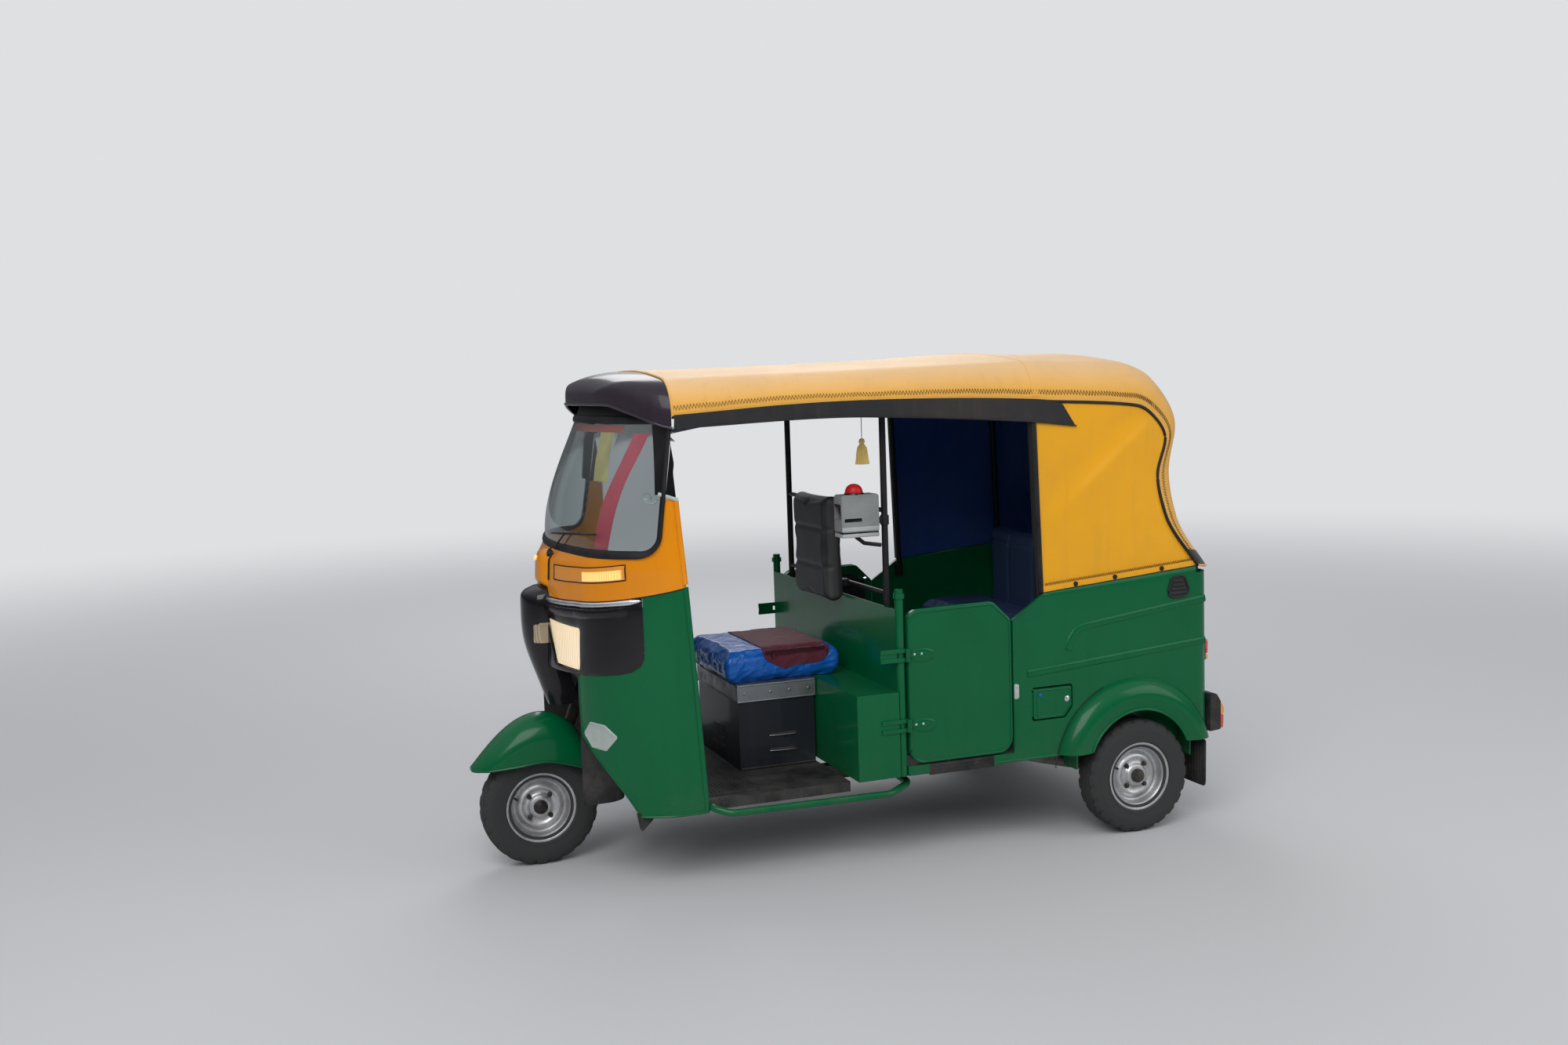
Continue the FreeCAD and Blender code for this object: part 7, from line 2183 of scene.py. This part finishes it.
    def lamps(self) -> None:
        """The red tail lamps and the amber corner lamps in their black housings."""
        x = self.rear_x
        for name, finish, low, high in (("tail_lens", Finishes.RED, 593, 646),
                                        ("tail_signal", Finishes.AMBER, 572, 591.5)):
            form = Form()
            form.prism(rounded_outline([(488, low), (550, low), (550, high), (488, high)], 9), 0, x - 23,
                       x - 4)
            form.mirrored().make(name, finish, replaces=("tail_lamps",) if name == "tail_lens" else (),
                                 bevel=4, segments=4)
        form = Form()
        form.prism(rounded_outline([(482, 567), (556, 567), (556, 651), (482, 651)], 12), 0, x - 8, x - 0.5)
        form.mirrored().make("tail_bases", Finishes.RUBBER, bevel=2)
        outline = [(x - 0.5, 318), (x - 0.5, 461), (x - 30, 452), (x - 46, 425), (x - 46, 322)]
        form = Form()
        form.prism(rounded_outline(outline, (2, 10, 12, 10, 8)), 1, 531, 592)
        form.mirrored().make("corner_housings", Finishes.MATT_BLACK, replaces=("corner_lamps",), bevel=3)
        for name, finish, outline in (
                ("corner_signal", Finishes.AMBER,
                 ((35, 376), (34, 444), (46, 430), (62.5, 398), (61.8, 376))),
                ("corner_red", Finishes.RED, ((36, 325), (35, 374), (61.6, 374), (59, 326)))):
            lens = rounded_outline([(x - back, z) for back, z in outline], 5)
            Form().prism(lens, 1, 535, 588).mirrored().make(name, finish, bevel=2.5, segments=3)

    def bumper(self) -> None:
        """Rubber ends and clamp bands on the bumper tube."""
        form, middle = Form(), Vector((self.rear_x - 34, 0, 366))
        form.lathe([(0.2, 530), (12, 529), (17.5, 522), (17.8, 494), (16.4, 492), (15.5, 500)], middle,
                   LEFT, 28, closed=False)
        for y in (-300, 0, 300):
            form.lathe([(15.5, y - 9), (18, y - 9), (18, y + 9), (15.5, y + 9)], middle, LEFT, 28)
        form.mirrored().make("bumper_rubbers", Finishes.RUBBER)

    def mudflaps(self) -> None:
        """Ribbed rubber flaps behind the rear wheels."""
        form, faces = Form(), (-1191.6, -1186.4)
        outline = [(452, 132), (622, 132), (626, 298), (586, 298), (586, 376), (452, 376)]
        loop = rounded_outline(outline, (14, 14, 5, 2, 2, 2))
        form.prism(loop, 0, *faces)
        form.tube([Vector((-1191.5, y, z)) for y, z in loop], 2.6, 6, closed=True)
        for k in range(9):
            y = 470 + k * 17
            for x in faces:
                form.tube([Vector((x, y, 150)), Vector((x, y, 276))], 2.2, 6)
        for y in (470, 520, 570):
            form.knob(Vector((-1191, y, 360)), REAR, 7, 5, 6)
        form.mirrored().make("mudflap_rubbers", Finishes.RUBBER, replaces=("mudflaps",), bevel=0.8)


@dataclass
class Doors:
    """Beads, pressings, latch and inner card of the two half doors."""

    outline: tuple = ((-55, 347), (-55, 850), (-366, 856), (-429, 794), (-429, 347))
    radii: tuple = (48, 38, 20, 14, 48)
    hinges: tuple = (476, 712)

    def build(self) -> None:
        """Build both doors' pieces."""
        for name, flip, body in (("left", 1, Body.LEFT_DOOR), ("right", -1, Body.RIGHT_DOOR)):
            turn = Matrix.Diagonal((1, flip, 1, 1))
            self.outside().turned(turn).make(f"door_pressings_{name}", Finishes.GREEN, body)
            self.inside().turned(turn).make(f"door_card_{name}", Finishes.MATT_BLACK, body, bevel=1.0)
            form = Form()
            form.tube([Vector((-398, 574, 770)), Vector((-398, 566, 776)), Vector((-398, 562, 800))], 5, 10)
            form.knob(Vector((-398, 562, 800)), Vector((0, -0.3, 1)), 9, 12, 14)
            for z in self.hinges:
                for x in (-72, -98):
                    form.knob(Vector((x, 604.6, z)), LEFT, 4.2, 3, 6)
            form.turned(turn).make(f"door_latch_{name}", Finishes.CHROME, body)

    def outside(self) -> Form:
        """The rolled edge, the thick top flange and the wings round the hinge straps."""
        form = Form()
        form.tube(flat_loop(self.outline, 1, 599.4, self.radii), 4.4, 8, closed=True)
        form.tube(flat_loop([(-60, 838), (-84, 855), (-360, 859), (-427, 797), (-429, 780)], 1, 597,
                            (0, 22, 22, 12, 0)),
                  6.4, 10)
        for z in self.hinges:
            rows = []
            for s in shares(7):
                shrink = math.cos(s * math.pi / 2) * 0.98 + 0.02
                rows.append([Vector((-104 + 46 * shrink * math.cos(a),
                                     600.2 + 4.0 * math.sin(s * math.pi / 2),
                                     z - 7 + 24 * shrink * math.sin(a))) for a in turns(28)])
            form.grid(rows, closed=True)
        return form

    def inside(self) -> Form:
        """The black card with its ribs and the pocket."""
        form = Form()
        card = [(-82, 376), (-82, 822), (-352, 828), (-404, 782), (-404, 376)]
        form.prism(rounded_outline(card, (30, 24, 14, 10, 30)), 1, 573.4, 576.6)
        for z in (740, 756, 772):
            form.tube([Vector((-100, 573, z)), Vector((-385, 573, z))], 3, 8)
        rows = []
        for s in shares(20):
            x, out = -110 - 270 * s, 14 * math.sqrt(max(0.0, 1 - (2 * s - 1) ** 6))
            rows.append([Vector((x, 574, 410)), Vector((x, 573 - out * 0.7, 412)),
                         Vector((x, 573 - out, 440)), Vector((x, 573 - out, 560)),
                         Vector((x, 571 - out * 0.8, 566)), Vector((x, 574, 560))])
        form.capped(rows)
        return form


# Cabin


@dataclass
class StuffedPad:
    """A stuffed seat or back: a closed form blown up as cloth, held to its space, then sewn."""

    name: str
    node: str
    finish: Finish
    space: tuple[Point, Point, Point]
    fill: float = 0.7
    voxel: float = 8.0
    travel: float = 26.0
    pressure: float = 4.0
    inset: float = 9.0
    frames: int = 20

    def build(self, sew: Callable[[Vector, Vector], Vector]) -> bpy.types.Object:
        """Blow up the pad, sew it and put it in place of its node.

        Args:
            sew: gives the place of a point, in millimetres, after sewing from its place and normal.

        Returns:
            The pad.
        """
        mesh = bpy.data.meshes.new(self.name)
        form = Form().box(*((a + self.inset, b - self.inset) for a, b in self.space))
        mesh.from_pydata([v * MM for v in form.verts], [], form.faces)
        pad = bpy.data.objects.new(self.name, mesh)
        bpy.context.scene.collection.objects.link(pad)
        edge = pad.modifiers.new("edge", "BEVEL")
        edge.width, edge.segments = 0.024, 5
        cells = pad.modifiers.new("cells", "REMESH")
        cells.mode, cells.voxel_size = "VOXEL", self.voxel * MM
        settle(pad)
        start = [v.co.copy() for v in pad.data.vertices]
        self.blow(pad)
        self.hold(pad, start)
        fine = pad.modifiers.new("fine", "SUBSURF")
        fine.levels = fine.render_levels = 1
        settle(pad)
        normals = [v.normal.copy() for v in pad.data.vertices]
        for vertex, normal in zip(pad.data.vertices, normals):
            vertex.co = sew(vertex.co / MM, normal) * MM
        finish_piece(pad, self.finish, Body.MAIN, (self.node,), sharp=70.0)
        return pad

    def blow(self, pad: bpy.types.Object) -> None:
        """Run the cloth simulation and keep its last shape."""
        scene = bpy.context.scene
        cloth = pad.modifiers.new("cloth", "CLOTH")
        cloth.settings.use_pressure = True
        cloth.settings.uniform_pressure_force = self.pressure
        cloth.settings.effector_weights.gravity = 0.0
        cloth.settings.quality = 4
        cloth.collision_settings.use_collision = False
        cloth.point_cache.frame_start, cloth.point_cache.frame_end = 1, self.frames
        for frame_number in range(1, self.frames + 1):
            scene.frame_set(frame_number)
        settle(pad)
        scene.frame_set(1)

    def hold(self, pad: bpy.types.Object, start: Row) -> None:
        """Cap how far each point moved, and keep the pad in its space and flat where it rests."""
        for vertex, here in zip(pad.data.vertices, start):
            move = vertex.co - here
            if move.length > self.travel * MM:
                move *= self.travel * MM / move.length
            place = here + move
            for k, (low, high) in enumerate(self.space):
                place[k] = min(max(place[k], (low + 0.5) * MM), (high + (7.0 if k == 2 else 3.0)) * MM)
            vertex.co = place


def groove(distance: float, width: float, depth: float) -> float:
    """How deep a sewn channel pulls a point at a distance from its seam."""
    return depth * math.exp(-(distance / width) ** 2)


@dataclass
class Cabin:
    """Seats, mats, fare meter, hanging charm and the seat box's pressings."""

    def build(self) -> None:
        """Build every piece of the cabin."""
        self.rear_seat()
        self.driver_seat()
        self.seat_box()
        self.mats()
        self.meter()
        self.charm()

    def rear_seat(self) -> None:
        """The passenger bench and its back, with sewn channels and a welt."""
        seams = [-294.0, -98.0, 98.0, 294.0]

        def sew_seat(p: Vector, n: Vector) -> Vector:
            """Channels from front to rear on top, and a welt round the top edge."""
            pull = sum(groove(p.y - y, 9.0, 7.0) for y in seams) * max(0.0, n.z) ** 0.5
            welt = groove(p.z - 694, 4.0, 3.2) * (1 - abs(n.z)) - groove(p.z - 684, 6.0, 2.4) * (1 - abs(n.z))
            soft = 1.6 * wobble(p, 90.0, 3.0) * max(0.0, n.z)
            return p + n * (welt + soft - pull)

        def sew_back(p: Vector, n: Vector) -> Vector:
            """Upright channels on the front, and a welt round its edge."""
            pull = sum(groove(p.y - y, 9.0, 6.0) for y in seams) * max(0.0, n.x) ** 0.5
            pull += groove(p.z - 940, 8.0, 5.0) * max(0.0, n.x) ** 0.5
            welt = groove(p.x + 928, 4.0, 3.0) * (1 - abs(n.x))
            return p + n * (welt + 1.4 * wobble(p, 90.0, 8.0) * max(0.0, n.x) - pull)

        StuffedPad("rear_seat_pad", "rear_cushion", Finishes.NAVY, ((-908, -580), (-488, 488), (588.4, 716)),
                   0.7, 11.0, 26.0).build(sew_seat)
        StuffedPad("rear_back_pad", "rear_backrest", Finishes.NAVY,
                   ((-1003.4, -914), (-488, 488), (591, 1014)), 0.6, 11.0, 22.0).build(sew_back)

    def driver_seat(self) -> None:
        """The driver's seat in its wrinkled blue sheet, the maroon cloth on it, and the back pad."""
        def sew_sheet(p: Vector, n: Vector) -> Vector:
            """Wrinkles of the loose plastic sheet, drawn in under the seat."""
            q = Vector((p.x * 0.8 + p.z * 0.5, p.y * 0.8, p.z * 1.7 + p.x * 0.35))
            ridge = 1 - abs(wobble(q, 46.0, 4.0)) * 2.4
            fine = 1 - abs(wobble(q, 19.0, 7.0)) * 2.2
            edge = max(0.0, 1 - abs(n.z)) * 1.0 + 0.45
            tuck = -7.0 * max(0.0, (618 - p.z) / 30.0) if p.z < 618 else 0.0
            wrinkle = (2.6 * max(0.0, ridge) + 1.1 * max(0.0, fine)) * edge
            return p + n * (wrinkle - 1.2 + tuck * (1 - abs(n.z)))

        def sew_back(p: Vector, n: Vector) -> Vector:
            """Two cross channels and a welt round the front."""
            pull = (groove(p.z - 960, 8.0, 5.0) + groove(p.z - 1095, 8.0, 5.0)) * max(0.0, n.x) ** 0.5
            welt = groove(p.x - 44, 3.5, 2.6) * (1 - abs(n.x))
            return p + n * (welt - pull + 1.2 * wobble(p, 70.0, 2.0) * max(0.0, n.x))

        seat = StuffedPad("driver_seat_pad", "driver_cushion", Finishes.BLUE_SHEET,
                          ((14, 481), (-248, 248), (590.4, 696)), 0.65, 8.0, 24.0).build(sew_sheet)
        StuffedPad("driver_back_pad", "driver_backrest", Finishes.BLACK_VINYL,
                   ((-14.5, 56), (-188, 188), (814, 1236)), 0.6, 8.0, 20.0).build(sew_back)
        self.cloth(seat)

    def cloth(self, seat: bpy.types.Object) -> None:
        """The maroon cloth folded over the seat, laid on its real surface and hanging at the left side."""
        tree = BVHTree.FromObject(seat, bpy.context.evaluated_depsgraph_get())
        rows = []
        for s in shares(44):
            x = 84 + 232 * s
            path = []
            for y in range(-210, 236, 12):
                hit = tree.ray_cast(Vector((x * MM, y * MM, 1.2)), Vector((0, 0, -1)))[0]
                path.append(Vector((x, y, hit.z / MM + 3.4)) if hit else Vector((x, y, 700)))
            drop = 668 - 34 * math.sin(math.pi * s) ** 0.7 - 6 * math.sin(s * 11)
            for t in shares(8):
                z = 684 + (drop - 684) * t
                hit = tree.ray_cast(Vector((x * MM, 0.5, z * MM)), Vector((0, -1, 0)))[0]
                path.append(Vector((x, (hit.y / MM if hit else 250) + 3.6 + 2.0 * t * math.sin(s * 21), z)))
            smooth = even(catmull(path, 7.0), 84)
            for p in smooth:
                fold = max(0.0, wobble(Vector((p.x, p.y * 0.4, 0)), 34.0, 6.0))
                lift = 1.8 * fold + wobble(p, 90.0, 1.0) ** 2
                p.z += lift if p.y < 236 else 0.0
                p.x += 2.2 * wobble(Vector((p.y, 0, 10 * round(s))), 70.0, 3.0) * (abs(2 * s - 1) ** 3)
            rows.append(smooth)
        piece = Form().grid(rows).make("seat_cloth", Finishes.MAROON, thick=2.2)
        area = mesh_area(piece, 2.2)

    def seat_box(self) -> None:
        """Louvres on the seat box, the rolled edge of its top band and their screws."""
        form, louvres = Form(), ((413, -10), (359, -11))
        for z, drop in louvres:
            louvre(form, Vector((313, 229.6, z)), Vector((-104, 0, drop * 0.2)), LEFT, 12, 6)
        form.tube([Vector((416, 230, 296)), Vector((148, 230, 296))], 3, 8)
        form.mirrored()
        for z in (345, 375, 405):
            louvre(form, Vector((420.6, -70, z)), Vector((0, 140, 0)), Vector((1, 0, 0)), 12, 5)
        form.make("seat_box_louvres", Finishes.MATT_BLACK)
        # Bright steel beads along the louvres' lower lips: painted highlights of the lips.
        form = Form()
        for z, drop in louvres:
            form.tube([Vector((312 - 102 * s, 230 + 6.4 * math.sin(math.pi * s) ** 0.3,
                               z - 9 + drop * 0.2 * s))
                       for s in shares(12)], 1.7, 6)
        form.mirrored().make("louvre_lip_highlights", Finishes.STEEL)
        form = Form()
        band = [(139, -234), (425, -234), (425, 234), (139, 234)]
        for z, radius in ((531, 3.2), (586, 2.6)):
            form.tube(flat_loop(band, 2, z, 6), radius, 8, closed=True)
        for x in (165, 235, 305, 400):
            for flip in (1, -1):
                form.knob(Vector((x, 234 * flip, 558)), Vector((0, flip, 0)), 5, 3)
        form.make("seat_band_trim", Finishes.STEEL)
        dress_node("seat_box", Finishes.BOX_STEEL)

    def mats(self) -> None:
        """Ribbed rubber mats on both floors."""
        for name, x, y, z, step in (("driver_mat", (436, 778), 486, 290, 13),
                                    ("passenger_mat", (-588, -34), 470, 340, 15)):
            form = Form()
            form.prism(rounded_outline([(x[0], -y), (x[1], -y), (x[1], y), (x[0], y)], 22), 2, z + 0.3,
                       z + 3.4)
            for k in range(int((x[1] - x[0] - 30) / step)):
                form.tube([Vector((x[0] + 18 + step * k, -y + 16, z + 3.2)),
                           Vector((x[0] + 18 + step * k, y - 16, z + 3.2))],
                          2.4, 6)
            form.make(name, Finishes.RUBBER, bevel=0.6)

    def meter(self) -> None:
        """The fare meter: case, pale foot, window, red domed lamp and bracket."""
        y0, y1, z = 414, 484, 1098
        lamp, pole = Vector((62, 449, z)), Vector((-44, 455, 0))
        form = Form().prism(rounded_outline([(-14, z + 16), (122, z + 16), (122, z + 142), (-14, z + 142)],
                                            10), 1, y0, y1)
        form.make("meter_case", Finishes.GREY_PLASTIC, replaces=("fare_meter",), bevel=5, segments=4)
        form = Form().box((-12, 120), (y0 - 1, y1 + 1), (z, z + 13))
        form.prism(rounded_outline([(-13, z + 20), (121, z + 20), (121, z + 36), (-13, z + 36)], 4), 1,
                   y0 - 0.8, y1 + 0.8)
        form.make("meter_bands", Finishes.PALE_METER, bevel=3, segments=3)
        form = Form()
        form.prism(rounded_outline([(50, z + 52), (112, z + 52), (112, z + 64), (50, z + 64)], 2), 1,
                   y0 - 0.9, y1 + 0.9)
        window = [(y0 + 8, z + 62), (y1 - 8, z + 62), (y1 - 8, z + 112), (y0 + 8, z + 112)]
        form.prism(rounded_outline(window, 4), 0, -15.4, 123.4)
        form.box((-11, 119), (y0 + 1, y1 - 1), (z + 12, z + 18))
        form.lathe([(0.2, 147), (31, 147), (33, 144), (33, 140)], lamp, UP, 32, closed=False)
        form.make("meter_windows", Finishes.GLOSS_BLACK, bevel=0.8)
        profile = [(0.2, 177), (9, 176), (18, 172), (25, 165), (28.6, 157), (29.4, 151), (30.6, 150),
                   (30.6, 145)]
        dome = Form().lathe(profile, lamp, UP, 36, closed=False)
        dome.make("meter_dome", Finishes.RED_PLASTIC)
        form = Form().box((-33, -10), (440, 462), (z + 40, z + 60))
        form.lathe([(11.4, z + 34), (15, z + 34), (15, z + 66), (11.4, z + 66)], pole, UP, 24)
        form.tube([Vector((60, 449, z)), Vector((30, 449, z - 24)), Vector((-30, 454, z - 34))], 7, 10)
        form.make("meter_bracket", Finishes.DARK_STEEL, bevel=1.5)

    def charm(self) -> None:
        """A tassel on a thread, hung from the hood behind the driver's shoulder."""
        skin = HoodSurface()
        head = skin.at_y(skin.run_at_x(20.0), 430.0, 9.0)
        thread = Form().tube([Vector((20, 430, z)) for z in (head.z, 1520, 1412)], 1.2, 6)
        thread.make("charm_thread", Finishes.PIPING)
        tassel = ((0.3, 1424), (7, 1421), (10, 1413), (7, 1405), (9.5, 1401), (15, 1392), (17.5, 1375),
                  (19.5, 1355), (22, 1338), (20, 1337), (0.3, 1344))
        rows = []
        for a in turns(72):
            ripple = 1 + 0.10 * math.sin(a * 18)
            rows.append([Vector((20 + r * ripple * math.cos(a), 430 + r * ripple * math.sin(a), z))
                         for r, z in tassel])
        Form().grid(rows, wrap=True).make("charm_tassel", Finishes.TASSEL)


@dataclass
class Steering:
    """The handlebar's grips, levers and dial, and the front guard's edges."""

    top: Vector = field(default_factory=lambda: Vector((768, 0, 985)))
    axle_x: float = 1080.0
    front_limit: float = 1301.5
    # distance ahead of the axle, height and half width of the guard's rim
    guard: tuple = ((226, 347, 22), (175, 350, 64), (87, 358, 84), (-22, 366, 89), (-129, 336, 87),
                    (-194, 300, 80))

    def build(self) -> None:
        """Build every piece on the steering."""
        for name, flip in (("left", 1), ("right", -1)):
            end = self.top + Vector((-26, flip * 250, 22))
            axis = Vector((0.04, -flip, 0)).normalized()
            profile = [(0.2, -8), (14, -8), (19.5, -5), (19.5, 2)]
            profile += [(17.4 + (1.2 if k % 2 else 0), 6 + 3.2 * k) for k in range(30)]
            profile += [(19.6, 104), (19.6, 108), (16, 109)]
            Form().lathe(profile, end, axis, 24, closed=False).make(f"grip_{name}", Finishes.RUBBER,
                                                                    Body.STEERING)
            lever = [self.top + Vector(p) for p in ((-8, flip * 124, 16), (26, flip * 136, 20),
                                                    (34, flip * 180, 22), (20, flip * 240, 24))]
            form = Form().tube(catmull(lever, 10), 5.5, 10, flat=0.6)
            form.knob(lever[-1], Vector((-0.3, flip, 0)), 7, 6, 12)
            form.make(f"lever_{name}", Finishes.STEEL, Body.STEERING)
        x, z = self.top.x, self.top.z
        form = Form().prism(rounded_outline([(x - 34, z + 4), (x + 34, z - 10), (x + 44, z + 34),
                                             (x - 10, z + 58), (x - 40, z + 34)], 12), 1, -78, 78)
        form.make("bar_cover", Finishes.MATT_BLACK, Body.STEERING, bevel=9, segments=4)
        axis = Vector((-0.5, 0, 0.86)).normalized()
        centre = Vector((x - 24, 0, z + 46))
        Form().lathe([(31, -6), (36, -4), (36, 7), (33, 8.5), (30.5, 5), (30.5, 2), (0.2, 2)], centre, axis,
                     40, closed=False).make("dial_bezel", Finishes.CHROME, Body.STEERING)
        form, side = Form(), LEFT
        up = axis.cross(side)
        for k in range(13):
            a = math.radians(-30 + 20 * k)
            spoke = side * math.cos(a) + up * math.sin(a)
            form.tube([centre + spoke * 22 + axis * 3.2, centre + spoke * 27 + axis * 3.2], 0.7, 5)
        form.tube([centre + axis * 4, centre + (side * 0.7 + up * 0.6) * 21 + axis * 4], 0.9, 5)
        form.make("dial_marks", Finishes.RED_BAND, Body.STEERING)
        form = Form()
        rim = catmull([Vector((min(self.front_limit, self.axle_x + dx), half + 0.5, low + 2))
                       for dx, low, half in self.guard], 10.0)
        form.tube(rim, 4.2, 8)
        form.mirrored()
        dx, low, half = max(self.guard)
        front = min(self.front_limit, self.axle_x + dx)
        form.tube([Vector((front, y, low + 3)) for y in (half, -half)], 4.0, 8)
        form.make("guard_hem", Finishes.GREEN, Body.STEERING)


@dataclass
class RunningGear:
    """The engine's forms and the silencer's bands."""

    def build(self) -> None:
        """Build every piece under the body."""
        self.engine()
        form = Form()
        for y in (-190, -60, 90, 152):
            form.lathe([(56, y - 8), (60.5, y - 8), (60.5, y + 8), (56, y + 8)], Vector((-1176, 0, 272)),
                       LEFT, 36)
        form.lathe([(14, 0), (18.5, 0), (18.5, 22), (14, 22)], Vector((-1250, -262, 262)),
                   Vector((1, 0.16, 0.1)), 24)
        form.make("silencer_bands", Finishes.STEEL)

    def engine(self) -> None:
        """The crankcase, gearbox, finned cylinder, shroud and belt cover."""
        form = Form()
        form.prism(rounded_outline([(-1092, 196), (-985, 178), (-830, 178), (-792, 215), (-795, 322),
                                    (-1000, 332), (-1104, 318)], 26), 1, -150, 150)
        form.prism(rounded_outline([(-1080, 192), (-870, 180), (-842, 300), (-1060, 324)], 40), 1, -198, 198)
        for flip in (1, -1):
            form.lathe([(r, y * flip) for r, y in ((0.2, 200), (46, 199), (50, 190), (52, 150))],
                       Vector((-920, 0, 200)), LEFT, 36, closed=False)
        form.box((-1038, -1002), (-199.6, 199.6), (250, 274)).box((-838, -802), (-199.6, 199.6), (250, 274))
        for k in range(12):
            form.prism(rounded_outline([(-1096, -78), (-974, -78), (-974, 84), (-1096, 84)], 22), 2,
                       332 + 11 * k, 336 + 11 * k)
        form.prism(rounded_outline([(-1082, -60), (-988, -60), (-988, 66), (-1082, 66)], 18), 2, 326, 468)
        for y in range(-120, 121, 40):
            form.knob(Vector((-1104, y, 300)), REAR, 7, 4, 6)
        form.make("engine_block", Finishes.CAST, replaces=("engine",), bevel=2.0)
        form = Form()
        form.prism(rounded_outline([(-960, 330), (-800, 322), (-800, 440), (-850, 466), (-960, 462)], 24), 1,
                   -166, 150)
        form.lathe([(0.2, 168), (60, 166), (64, 158), (64, 140)], Vector((-880, 0, 396)), LEFT, 40,
                   closed=False)
        form.make("engine_shroud", Finishes.MATT_BLACK, bevel=6, segments=3)


# Whole vehicle


def dress_rest() -> None:
    """Give every CAD node that still shows the finish of its material slot."""
    slots = {part["node"]: part["material_slot"] for part in frame["record"]["subparts"]}
    for name, piece in frame["nodes"].items():
        if not piece.hide_render and name not in DRESSED:
            dress_node(name, Finishes.BY_SLOT[slots[name]])
            LOG.info("%s: CAD piece dressed", name)


def write_sizes() -> None:
    """Update the view layer."""
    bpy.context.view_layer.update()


def main() -> None:
    """Build the vehicle and its studio."""
    logging.basicConfig(level=logging.INFO, format="%(message)s")
    scene = bpy.context.scene
    scene.view_settings.view_transform = "Standard"
    Studio().build()
    FrontBody().build()
    Hood().build()
    RearBody().build()
    Doors().build()
    Cabin().build()
    Steering().build()
    Wheels().build()
    RunningGear().build()
    dress_rest()
    write_sizes()


if __name__ == "__main__":
    main()
